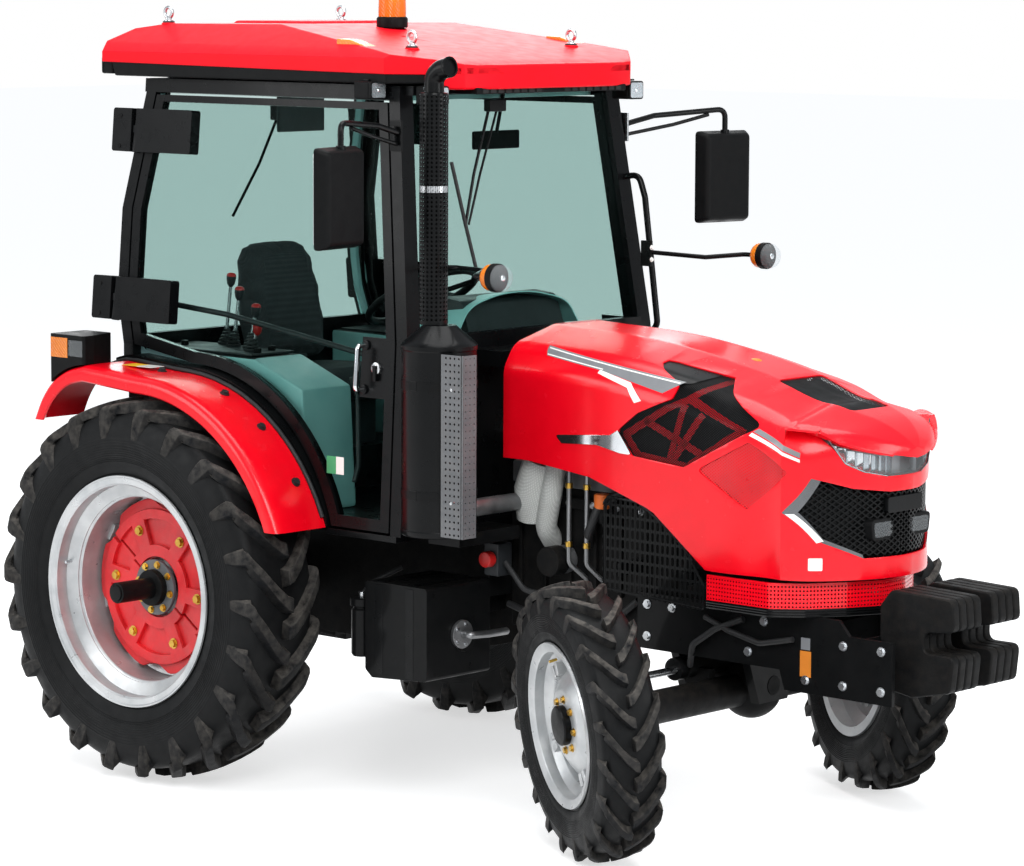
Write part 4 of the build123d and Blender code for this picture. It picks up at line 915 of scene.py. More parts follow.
# ---- what repeats -------------------------------------------------------------------------------
class Copies:
    """Geometry Nodes trees that repeat a shape, and the plain meshes that they turn into."""

    @staticmethod
    def start(name: str, inputs: Sequence[tuple[str, str, object]]) -> tuple[Tree, dict]:
        """A new tree with a Geometry input and output and other named inputs.

        Args:
            name: The tree's name.
            inputs: Name, socket type and default value of each.

        Returns:
            The tree, and its input sockets by name.
        """
        tree = bpy.data.node_groups.new(name, "GeometryNodeTree")
        tree.interface.new_socket("Geometry", in_out="OUTPUT", socket_type="NodeSocketGeometry")
        tree.interface.new_socket("Geometry", in_out="INPUT", socket_type="NodeSocketGeometry")
        for label, kind, value in inputs:
            made = tree.interface.new_socket(label, in_out="INPUT", socket_type=kind)
            if value is not None:
                made.default_value = value
        entry = put(tree, "NodeGroupInput")
        return tree, {socket.name: socket for socket in entry.outputs if socket.name}

    @staticmethod
    def finish(tree: Tree, shape: Socket, material: Socket) -> None:
        """Ends a tree: instances made real, then the material.

        Args:
            tree: The tree to end.
            shape: The geometry that the tree has made.
            material: The material's input.
        """
        real = put(tree, "GeometryNodeRealizeInstances", {"Geometry": shape})
        dressed = put(tree, "GeometryNodeSetMaterial", {"Geometry": real.outputs[0], "Material": material})
        put(tree, "NodeGroupOutput", {0: dressed.outputs[0]})

    @classmethod
    def ring(cls) -> Tree:
        """Copies of a shape round the Y axis.

        Returns:
            The tree.
        """
        if "ring_of_copies" in bpy.data.node_groups:
            return bpy.data.node_groups["ring_of_copies"]
        tree, port = cls.start("ring_of_copies", [("Count", "NodeSocketInt", 22),
            ("First Angle", "NodeSocketFloat", 0.0), ("Material", "NodeSocketMaterial", None)])
        points = put(tree, "GeometryNodePoints", {"Count": port["Count"]})
        step = put(tree, "ShaderNodeMath", {0: 2 * math.pi, 1: port["Count"]}, operation="DIVIDE").outputs[0]
        number = put(tree, "GeometryNodeInputIndex")
        angle = put(tree, "ShaderNodeMath", {0: number.outputs[0], 1: step, 2: port["First Angle"]},
            operation="MULTIPLY_ADD").outputs[0]
        turn = put(tree, "ShaderNodeCombineXYZ", {"Y": angle})
        copies = put(tree, "GeometryNodeInstanceOnPoints", {"Points": points.outputs[0],
            "Instance": port["Geometry"], "Rotation": turn.outputs[0]})
        cls.finish(tree, copies.outputs[0], port["Material"])
        return tree

    @classmethod
    def heads(cls) -> Tree:
        """A bolt head with its washer on every point, along the point's aim and in its size.

        Returns:
            The tree.
        """
        if "bolt_heads" in bpy.data.node_groups:
            return bpy.data.node_groups["bolt_heads"]
        tree, port = cls.start("bolt_heads", [("Head Height", "NodeSocketFloat", 0.7),
            ("Washer Radius", "NodeSocketFloat", 1.35), ("Material", "NodeSocketMaterial", None)])
        head = put(tree, "GeometryNodeMeshCylinder", {"Vertices": 6, "Radius": 1.0,
            "Depth": port["Head Height"]})
        lift = put(tree, "ShaderNodeMath", {0: port["Head Height"], 1: 0.5, 2: 0.2},
            operation="MULTIPLY_ADD").outputs[0]
        rise = put(tree, "ShaderNodeCombineXYZ", {"Z": lift})
        raised = put(tree, "GeometryNodeTransform", {"Geometry": head.outputs["Mesh"],
            "Translation": rise.outputs[0]})
        washer = put(tree, "GeometryNodeMeshCylinder", {"Vertices": 16, "Depth": 0.4,
            "Radius": port["Washer Radius"]})
        both = put(tree, "GeometryNodeJoinGeometry", {0: raised.outputs[0]})
        tree.links.new(washer.outputs["Mesh"], both.inputs[0])
        aim = put(tree, "GeometryNodeInputNamedAttribute", {"Name": "aim"}, data_type="FLOAT_VECTOR")
        size = put(tree, "GeometryNodeInputNamedAttribute", {"Name": "size"}, data_type="FLOAT")
        turn = put(tree, "FunctionNodeAlignRotationToVector", {"Vector": aim.outputs[0]}, axis="Z")
        copies = put(tree, "GeometryNodeInstanceOnPoints", {"Points": port["Geometry"],
            "Instance": both.outputs[0], "Rotation": turn.outputs[0], "Scale": size.outputs[0]})
        cls.finish(tree, copies.outputs[0], port["Material"])
        return tree

    @classmethod
    def rows(cls) -> Tree:
        """Copies of a cell in rows and columns over the XZ plane, from the origin.

        Returns:
            The tree.
        """
        if "rows_of_cells" in bpy.data.node_groups:
            return bpy.data.node_groups["rows_of_cells"]
        tree, port = cls.start("rows_of_cells", [("Columns", "NodeSocketInt", 10),
            ("Rows", "NodeSocketInt", 10), ("Column Pitch", "NodeSocketFloat", 0.01),
            ("Row Pitch", "NodeSocketFloat", 0.01), ("Material", "NodeSocketMaterial", None)])
        total = put(tree, "ShaderNodeMath", {0: port["Columns"], 1: port["Rows"]},
            operation="MULTIPLY").outputs[0]
        points = put(tree, "GeometryNodePoints", {"Count": total})
        number = put(tree, "GeometryNodeInputIndex")
        ratio = put(tree, "ShaderNodeMath", {0: number.outputs[0], 1: port["Columns"]},
            operation="DIVIDE").outputs[0]
        row = put(tree, "ShaderNodeMath", {0: ratio}, operation="FLOOR").outputs[0]
        column = put(tree, "ShaderNodeMath", {0: number.outputs[0], 1: port["Columns"]},
            operation="FLOORED_MODULO").outputs[0]
        x = put(tree, "ShaderNodeMath", {0: column, 1: port["Column Pitch"]}, operation="MULTIPLY").outputs[0]
        z = put(tree, "ShaderNodeMath", {0: row, 1: port["Row Pitch"]}, operation="MULTIPLY").outputs[0]
        spot = put(tree, "ShaderNodeCombineXYZ", {"X": x, "Z": z})
        laid = put(tree, "GeometryNodeSetPosition", {"Geometry": points.outputs[0],
            "Position": spot.outputs[0]})
        copies = put(tree, "GeometryNodeInstanceOnPoints", {"Points": laid.outputs[0],
            "Instance": port["Geometry"]})
        cls.finish(tree, copies.outputs[0], port["Material"])
        return tree

    @classmethod
    def sheet(cls, mesh: bpy.types.Mesh, columns: int, rows: int, pitch: Flat,
            finish: Finish) -> bpy.types.Mesh:
        """Rows and columns of a cell, the given distances apart, in a finish."""
        return cls.run(cls.rows(), mesh, {"Columns": columns, "Rows": rows, "Column Pitch": pitch[0],
            "Row Pitch": pitch[1], "Material": finish.material()})

    @staticmethod
    def run(tree: Tree, mesh: bpy.types.Mesh, values: dict[str, object]) -> bpy.types.Mesh:
        """The plain mesh that a tree makes of a mesh.

        Args:
            tree: The tree.
            mesh: What goes in.
            values: Its inputs by name.

        Returns:
            The new mesh.
        """
        host = placed("host", mesh)
        modifier = host.modifiers.new("copies", "NODES")
        modifier.node_group = tree
        for socket in tree.interface.items_tree:
            if socket.item_type == "SOCKET" and socket.in_out == "INPUT" and socket.name in values:
                modifier[socket.identifier] = values[socket.name]
        bpy.context.view_layer.update()
        seen = host.evaluated_get(bpy.context.evaluated_depsgraph_get())
        made = bpy.data.meshes.new_from_object(seen)
        host.modifiers.clear()
        bpy.data.objects.remove(host)
        return made


def take_mesh(piece: Piece, mesh: bpy.types.Mesh, finish: Finish, warp: Warp | None = None) -> None:
    """Adds a mesh to a piece, with each point moved by a function if there is one.

    Args:
        piece: The piece that gets it.
        mesh: The mesh, which is removed.
        finish: What it is made of.
        warp: Where each point goes, if it moves.
    """
    verts = [warp(v.co.copy()) if warp else v.co.copy() for v in mesh.vertices]
    piece.add(verts, [list(p.vertices) for p in mesh.polygons], finish)
    bpy.data.meshes.remove(mesh)


def bolts(piece: Piece, spots: Sequence[tuple[Point, Point]], size: float, finish: Finish) -> None:
    """Adds a hexagon bolt head with its washer at every spot.

    Args:
        piece: The piece that gets them.
        spots: Place and outward direction of each.
        size: Radius of the hexagon.
        finish: Their finish.
    """
    mesh = bpy.data.meshes.new("bolt_spots")
    mesh.from_pydata([tuple(p) for p, _ in spots], [], [])
    aim = mesh.attributes.new("aim", "FLOAT_VECTOR", "POINT")
    aim.data.foreach_set("vector", [c for _, d in spots for c in Vector(d).normalized()])
    mesh.attributes.new("size", "FLOAT", "POINT").data.foreach_set("value", [size] * len(spots))
    take_mesh(piece, Copies.run(Copies.heads(), mesh, {"Material": finish.material()}), finish)


def cell(width: float, height: float, hole: float, slot: float = 0.0) -> bpy.types.Mesh:
    """One cell of a perforated sheet: a rectangle with a round hole or an upright slot in it.

    Args:
        width: Across, along X.
        height: Up, along Z.
        hole: Radius of the hole.
        slot: Length of its straight part, upright.

    Returns:
        The cell's mesh.
    """
    inner = [(hole * math.cos(a), hole * math.sin(a) + math.copysign(slot / 2, math.sin(a)))
        for a in [math.pi * (2 * k + 1) / 8 for k in range(8)]]
    outer = []
    for a, b in inner:
        reach = max(abs(a) / (width / 2), abs(b) / (height / 2))
        outer.append((a / reach, b / reach))
    corners = [(sa * width / 2, sb * height / 2) for sa, sb in ((1, 1), (-1, 1), (-1, -1), (1, -1))]
    verts, faces = [], []
    for y in (0.0, SHEET_THICK):
        verts += [(a, y, b) for a, b in inner] + [(a, y, b) for a, b in outer] + [(a, y, b) for a,
            b in corners]
    for layer in (0, 20):
        for k in range(8):
            n = (k + 1) % 8
            face = [layer + k, layer + 8 + k, layer + 8 + n, layer + n]
            if k % 2 == 0:
                face = [layer + k, layer + 8 + k, layer + 16 + k // 2, layer + 8 + n, layer + n]
            faces.append(face)
    faces += [(k, (k + 1) % 8, 20 + (k + 1) % 8, 20 + k) for k in range(8)]
    mesh = bpy.data.meshes.new("cell")
    mesh.from_pydata(verts, [], faces)
    return mesh


def crossing(width: float, height: float, bar: float, deep: float) -> bpy.types.Mesh:
    """One cell of a coarse mesh: two bars that cross from corner to corner.

    Args:
        width: Across, along X.
        height: Up, along Z.
        bar: Width of a bar.
        deep: Its depth, along Y.

    Returns:
        The cell's mesh.
    """
    verts, faces = [], []
    for way in (1, -1):
        run = Vector((width, 0.0, height * way)) / 2
        n = Vector((-run.z, 0.0, run.x)).normalized() * bar / 2
        start = len(verts)
        verts += [tuple(end + side + Vector((0.0, y, 0.0))) for y in (0.0, deep) for end,
            side in ((run, n), (-run, n), (-run, -n), (run, -n))]
        faces += [tuple(start + k for k in face) for face in ((0, 1, 2, 3), (7, 6, 5, 4), (0, 4, 5, 1),
            (2, 6, 7, 3))]
    mesh = bpy.data.meshes.new("crossing")
    mesh.from_pydata(verts, [], faces)
    return mesh


def perforated(piece: Piece, columns: int, rows: int, pitch: Flat, hole: float, finish: Finish,
        warp: Warp) -> None:
    """Adds a perforated sheet.

    Args:
        piece: The piece that gets it.
        columns: Holes across.
        rows: Holes up.
        pitch: Distances between holes, across and up.
        hole: Radius of a hole.
        finish: Its finish.
        warp: Where a point of the flat sheet goes; X is across, Z up and Y through it.
    """
    take_mesh(piece, Copies.sheet(cell(*pitch, hole), columns, rows, pitch, finish), finish, warp)


# ---- wheels -------------------------------------------------------------------------------------
@dataclass
class Wheel:
    """A wheel in its own frame: about the Y axis, with +Y away from the tractor."""

    side: int
    tyre_r: float
    half: float
    seat_r: float
    flange_r: float
    rim_half: float
    lug_depth: float
    lugs: int
    lug_wide: float
    crown_drop: float = 0.034
    sweep: float = 0.26
    end: str = ""

    def place(self) -> Matrix:
        """From the wheel's own frame to the tractor's."""
        raise NotImplementedError

    def piece(self, kind: str) -> Piece:
        """An empty piece in this wheel's place, on the wheel's body.

        Args:
            kind: The first words of its name.

        Returns:
            The piece.
        """
        made = Piece(kind + "_dressed_" + hand(self.side), self.end + "_wheel_" + hand(self.side))
        made.place = self.place()
        return made

    def well(self, deep: float) -> list[Flat]:
        """The rim's outline over its well, from the inner edge to the outer flange's top."""
        h, s, f = self.rim_half, self.seat_r, self.flange_r
        return [(-h, f), (-h + 0.01, f), (-h + 0.011, s), (-h + 0.048, s), (-h + 0.07, s - deep),
            (h - 0.07, s - deep), (h - 0.048, s), (h - 0.011, s), (h - 0.01, f - 0.003), (h - 0.006, f)]

    def tyre(self) -> None:
        """The whole tyre."""
        tyre = self.piece(self.end + "_tyre")
        self.tread(tyre)
        tyre.done(self.end + "_tyre_" + hand(self.side), slot="tyre_rubber", angle=50)

    def top_r(self, y: float) -> float:
        """Radius of the lugs' tops at a distance from the middle."""
        shoulder = self.half * 0.92
        return self.tyre_r * (1 - self.crown_drop * min(1.0, abs(y) / shoulder) ** 2)

    def carcass(self) -> list[Flat]:
        """The tyre's outline without its lugs, from bead to bead, with fine rings on its sides.

        Returns:
            The outline as pairs of Y and radius.
        """
        h, r, bead = self.half, self.tyre_r, self.rim_half - 0.012
        tall = r - self.flange_r
        side = [(bead, self.seat_r + 0.0004), (bead, self.flange_r + 0.004),
            (bead + 0.006, self.flange_r + 0.008), (h * 0.925, self.flange_r + tall * 0.13),
            (h * 0.962, self.flange_r + tall * 0.22), (h * 0.985, self.flange_r + tall * 0.34),
            (h * 0.992, self.flange_r + tall * 0.48), (h * 0.955, self.flange_r + tall * 0.62),
            (h * 0.895, self.flange_r + tall * 0.72), (h * 0.83, r - self.lug_depth * 1.38),
            (h * 0.76, r - self.lug_depth * 1.18), (h * 0.6, r - self.lug_depth * 1.05),
            (h * 0.3, r - self.lug_depth * 0.98), (0.0, r - self.lug_depth * 0.96)]
        smooth = side[:3] + [tuple(p) for p in curve(side[3:], 4)]
        rings = []
        for y, radius in smooth:
            share = (radius - self.flange_r) / tall
            rings.append((y, radius))
            if 0.16 < share < 0.5:
                rings += [(y + 0.0012, radius + 0.0012), (y + 0.0012, radius + 0.0028), (y, radius + 0.004)]
        return rings + [(-y, radius) for y, radius in reversed(rings[:-1])]

    def lug(self, flip: int) -> bpy.types.Mesh:
        """One lug at the top of the wheel, on the half of the tread that flip names.

        Args:
            flip: 1 or -1, the half of the tread.

        Returns:
            The mesh of one lug.
        """
        h, d = self.half, self.lug_depth
        stations = [(-0.05 * h, 0.0, 1.0), (0.1 * h, 0.06, 1.0), (0.36 * h, 0.3, 1.0), (0.62 * h, 0.6, 1.0),
            (0.86 * h, 0.86, 1.02), (0.915 * h, 0.95, 1.05)]
        rows = []
        shape = bmesh.new()
        for y, share, wide in stations:
            rows.append((y, self.top_r(y) - 0.0005, y * 0.985, self.tyre_r - d * 1.25, share, wide))
        shoulder, f, tall = self.top_r(h), self.flange_r, self.tyre_r - self.flange_r
        rows += [(0.965 * h, shoulder - d * 0.35, 0.8 * h, self.tyre_r - d * 1.5, 1.0, 1.08),
            (0.994 * h, shoulder - d * 1.0, 0.82 * h, self.tyre_r - d * 2.0, 1.02, 1.06),
            (0.998 * h, f + tall * 0.64, 0.88 * h, f + tall * 0.58, 1.04, 0.98),
            (0.994 * h, f + tall * 0.5, 0.93 * h, f + tall * 0.49, 1.07, 0.78),
            (0.984 * h, f + tall * 0.44, 0.95 * h, f + tall * 0.44, 1.08, 0.55)]
        lead = 1 if self.side > 0 else -1
        rings = []
        for y, top, low_y, low, share, wide in rows:
            a = lead * self.sweep * (0.5 - share) * (1 + 0.16 * share)
            flare = self.lug_wide * wide
            ring = []
            for yy, r, half in ((y, top, flare * 0.5), (y, top, -flare * 0.5), (low_y, low, -flare * 0.78),
                    (low_y, low, flare * 0.78)):
                t = a + half / self.tyre_r
                ring.append(shape.verts.new((r * math.sin(t), flip * yy, r * math.cos(t))))
            rings.append(ring)
        for one, two in zip(rings, rings[1:]):
            for k in range(4):
                n = (k + 1) % 4
                shape.faces.new((one[k], one[n], two[n], two[k]))
        shape.faces.new(rings[0])
        shape.faces.new(rings[-1][::-1])
        bmesh.ops.recalc_face_normals(shape, faces=shape.faces)
        sharp = [e for e in shape.edges if e.is_manifold and e.calc_face_angle(0) > 0.7]
        bmesh.ops.bevel(shape, geom=sharp, offset=0.0035, segments=1, affect="EDGES", clamp_overlap=True)
        mesh = bpy.data.meshes.new("lug")
        shape.to_mesh(mesh)
        shape.free()
        return mesh

    def tread(self, piece: Piece) -> None:
        """The carcass and both rings of lugs.

        Args:
            piece: The piece that gets them.
        """
        piece.spin(self.carcass(), CENTRE, ACROSS, RUBBER, 144, closed=True)
        for flip in (-1, 1):
            mesh = Copies.run(Copies.ring(), self.lug(flip), {"Count": self.lugs, "First Angle": 0.0
                if flip > 0 else math.pi / self.lugs, "Material": TREAD.material()})
            take_mesh(piece, mesh, TREAD)

    def round_bolts(self, piece: Piece, count: int, radius: float, y: float, size: float, finish: Finish,
            first: float = 0.0) -> None:
        """A ring of bolt heads that face outwards.

        Args:
            piece: The piece that gets them.
            count: How many.
            radius: The ring's radius.
            y: Where they stand along the axle.
            size: A head's size.
            finish: What they are made of.
            first: The angle of the first one.
        """
        spots = [((radius * math.cos(first + a), y, radius * math.sin(first + a)), ACROSS)
            for a in angles(count)]
        part = Piece("ring")
        bolts(part, spots, size, finish)
        piece.add(part.verts, part.faces, finish)


@dataclass
class RearWheel(Wheel):
    """A rear wheel: tyre, stepped silver rim with a deep dished disc, and a red weight on it."""

    tyre_r: float = 0.63
    half: float = 0.159
    seat_r: float = 0.356
    flange_r: float = 0.381
    rim_half: float = 0.146
    lug_depth: float = 0.04
    lugs: int = 22
    lug_wide: float = 0.046
    face: float = 0.008
    disc: float = -0.054
    phase: float = 0.62
    end: str = "rear"

    def place(self) -> Matrix:
        """From the wheel's own frame to the tractor's.

        Returns:
            The wheel's place as a matrix.
        """
        lo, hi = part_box("rear_tyre_" + hand(self.side))
        turn = Matrix.Rotation(0 if self.side > 0 else math.pi, 4, "Z")
        return Matrix.Translation((0, (lo.y + hi.y) / 2, (lo.z + hi.z) / 2)) @ turn

    def build(self) -> None:
        """Makes the tyre, the rim and the weight."""
        self.tyre()
        self.rim()
        self.weight()

    def rim(self) -> None:
        """The rim, its disc, hub and half shaft."""
        rim = self.piece("rear_rim")
        h, s, f = self.rim_half, self.seat_r, self.flange_r
        outer = [*self.well(0.046), (h, f - 0.001), (h, f - 0.005), (h - 0.004, f - 0.01),
            (h - 0.005, s - 0.002), (h - 0.01, s - 0.008), (h - 0.052, s - 0.008), (h - 0.058, s - 0.012),
            (h - 0.074, s - 0.048), (h - 0.08, s - 0.053), (-h + 0.074, s - 0.053), (-h + 0.052, s - 0.007),
            (-h, s - 0.007)]
        rim.spin(outer, CENTRE, ACROSS, SILVER, 144, closed=True)
        y = self.disc
        dish = [(y - 0.016, 0.3045), (y + 0.004, 0.3045), (y + 0.008, 0.3), (y + 0.004, 0.286),
            (y - 0.004, 0.262), (y, 0.12), (y, 0.034), (y - 0.014, 0.034), (y - 0.014, 0.12),
            (y - 0.018, 0.262)]
        rim.spin(dish, CENTRE, ACROSS, SILVER, 144, closed=True)
        for a in angles(8):
            rim.place = self.place() @ Matrix.Rotation(a + 0.25, 4, "Y")
            rim.box((-0.03, y - 0.012, 0.292), (0.03, y + 0.03, 0.3045), SILVER, 0.004)
        rim.place = self.place()
        rim.rod((0, y - 0.07, 0), (0, y - 0.004, 0), 0.096, CAST, 0.004)
        rim.rod((0, y - 0.1, 0), (0, 0.15, 0), 0.034, CAST, 0.004)
        rim.rod((0, self.face - 0.004, 0), (0, self.face + 0.01, 0), 0.092, GREY, 0.003, 48)
        rim.rod((0, self.face, 0), (0, self.face + 0.034, 0), 0.06, CAST, 0.005, 40)
        rim.rod((0, self.face, 0), (0, 0.186, 0), 0.0345, CHASSIS, 0.003, 40)
        rim.rod((0, 0.18, 0), (0, 0.1918, 0), 0.027, CHASSIS, 0.003, 32)
        rim.rod((0, -0.362, 0), (0, -0.1, 0), 0.0358, CHASSIS, 0.003, 32)
        self.round_bolts(rim, 8, 0.077, self.face + 0.01, 0.0095, BRASS, 0.2)
        rim.rod((0.335, 0.075, 0.06), (0.322, 0.12, 0.06), 0.005, ZINC, 0.001, 12)
        rim.done("rear_rim_" + hand(self.side), slot="silver_paint", angle=30)

    def weight(self) -> None:
        """The two-part wheel weight: lobed outline, raised ribs with pockets between, and bolts."""
        piece = self.piece("wheel_weight")
        back, face = self.disc + 0.0004, self.face
        for start in (self.phase, self.phase + math.pi):
            outline = []
            for k in range(61):
                a = start + 0.014 + (math.pi - 0.028) * k / 60
                lobe = math.cos(3 * (a - self.phase - math.pi / 6)) ** 2
                outline.append(polar(0.262 + 0.029 * min(1.0, lobe * 2.6), a))
            inner = [polar(0.096, a) for a in [start + 0.04 + (math.pi - 0.08) * k / 24
                for k in range(24, -1, -1)]]
            piece.slab(Axis.Y, outline + inner, back, face - 0.016, RED_CAST, 0.004)
            arc = [start + 0.03 + (math.pi - 0.06) * (k / 40) for k in range(41)]
            for r0, r1 in ((0.225, 0.258), (0.1, 0.14)):
                ring = [polar(r1, a) for a in arc]
                ring += [polar(r0, a) for a in reversed(arc)]
                piece.slab(Axis.Y, ring, face - 0.018, face - 0.001, RED_CAST, 0.005)
            for k in range(3):
                a = start + math.pi * (k + 0.5) / 3
                rib = [(0.12, -0.026), (0.24, -0.034), (0.24, 0.034), (0.12, 0.026)]
                turned = [(x * math.cos(a) - z * math.sin(a), x * math.sin(a) + z * math.cos(a)) for x,
                    z in rib]
                piece.slab(Axis.Y, turned, face - 0.018, face, RED_CAST, 0.006)
        self.round_bolts(piece, 6, 0.196, face - 0.0002, 0.013, BRASS, self.phase + math.pi / 6)
        piece.done("wheel_weight_" + hand(self.side), slot="red_paint", angle=34)


@dataclass
class FrontWheel(Wheel):
    """A steered front wheel: tyre and silver rim with welded lugs and a bolted disc."""

    tyre_r: float = 0.4225
    half: float = 0.099
    seat_r: float = 0.229
    flange_r: float = 0.252
    rim_half: float = 0.094
    lug_depth: float = 0.03
    lugs: int = 20
    lug_wide: float = 0.031
    sweep: float = 0.29
    camber: float = 5.5
    turn: float = -28.5
    end: str = "front"

    def place(self) -> Matrix:
        """From the wheel's own frame to the tractor's.

        Returns:
            The wheel's place as a matrix.
        """
        lo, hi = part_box("front_tyre_" + hand(self.side))
        centre = (lo + hi) / 2
        turn = math.radians(self.turn + (0 if self.side > 0 else 180))
        spot = Matrix.Translation((centre.x - AXLE_X, centre.y, centre.z))
        return spot @ Matrix.Rotation(turn, 4, "Z") @ Matrix.Rotation(math.radians(-self.camber), 4, "X")

    def build(self) -> None:
        """Makes the tyre and the rim."""
        self.tyre()
        rim = self.piece("front_rim")
        h, s, f = self.rim_half, self.seat_r, self.flange_r
        outer = [*self.well(0.034), (h, f - 0.002), (h - 0.002, f - 0.008), (h - 0.006, s - 0.003),
            (h - 0.01, s - 0.008), (h - 0.04, s - 0.009), (h - 0.046, s - 0.014), (h - 0.06, s - 0.036),
            (h - 0.07, s - 0.041), (-h + 0.074, s - 0.041), (-h + 0.052, s - 0.007), (-h, s - 0.007)]
        rim.spin(outer, CENTRE, ACROSS, SILVER, 128, closed=True)
        dish = [(-0.002, 0.1915), (0.014, 0.1915), (0.019, 0.186), (0.026, 0.17), (0.05, 0.138),
            (0.066, 0.112), (0.07, 0.1), (0.07, 0.055), (0.056, 0.055), (0.056, 0.099), (0.052, 0.108),
            (0.036, 0.134), (0.01, 0.168)]
        rim.spin(dish, CENTRE, ACROSS, SILVER, 128, closed=True)
        for a in angles(4):
            for off in (-0.1, 0.1):
                rim.place = self.place() @ Matrix.Rotation(a + 0.5 + off, 4, "Y")
                rim.box((-0.011, 0.004, 0.15), (0.011, 0.06, 0.1905), SILVER, 0.004)
        rim.place = self.place()
        rim.spin([(0.05, 0.0), (0.05, 0.06), (0.0895, 0.06), (0.0935, 0.056), (0.0955, 0.04), (0.096, 0.0)],
            CENTRE, ACROSS, CHASSIS, 48)
        self.round_bolts(rim, 8, 0.079, 0.07, 0.0095, BRASS, 0.1)
        rim.rod((0.05, 0.06, 0.19), (0.05, 0.085, 0.186), 0.0045, BRASS, 0.001, 12)
        rim.done("front_rim_" + hand(self.side), slot="silver_paint", angle=30)


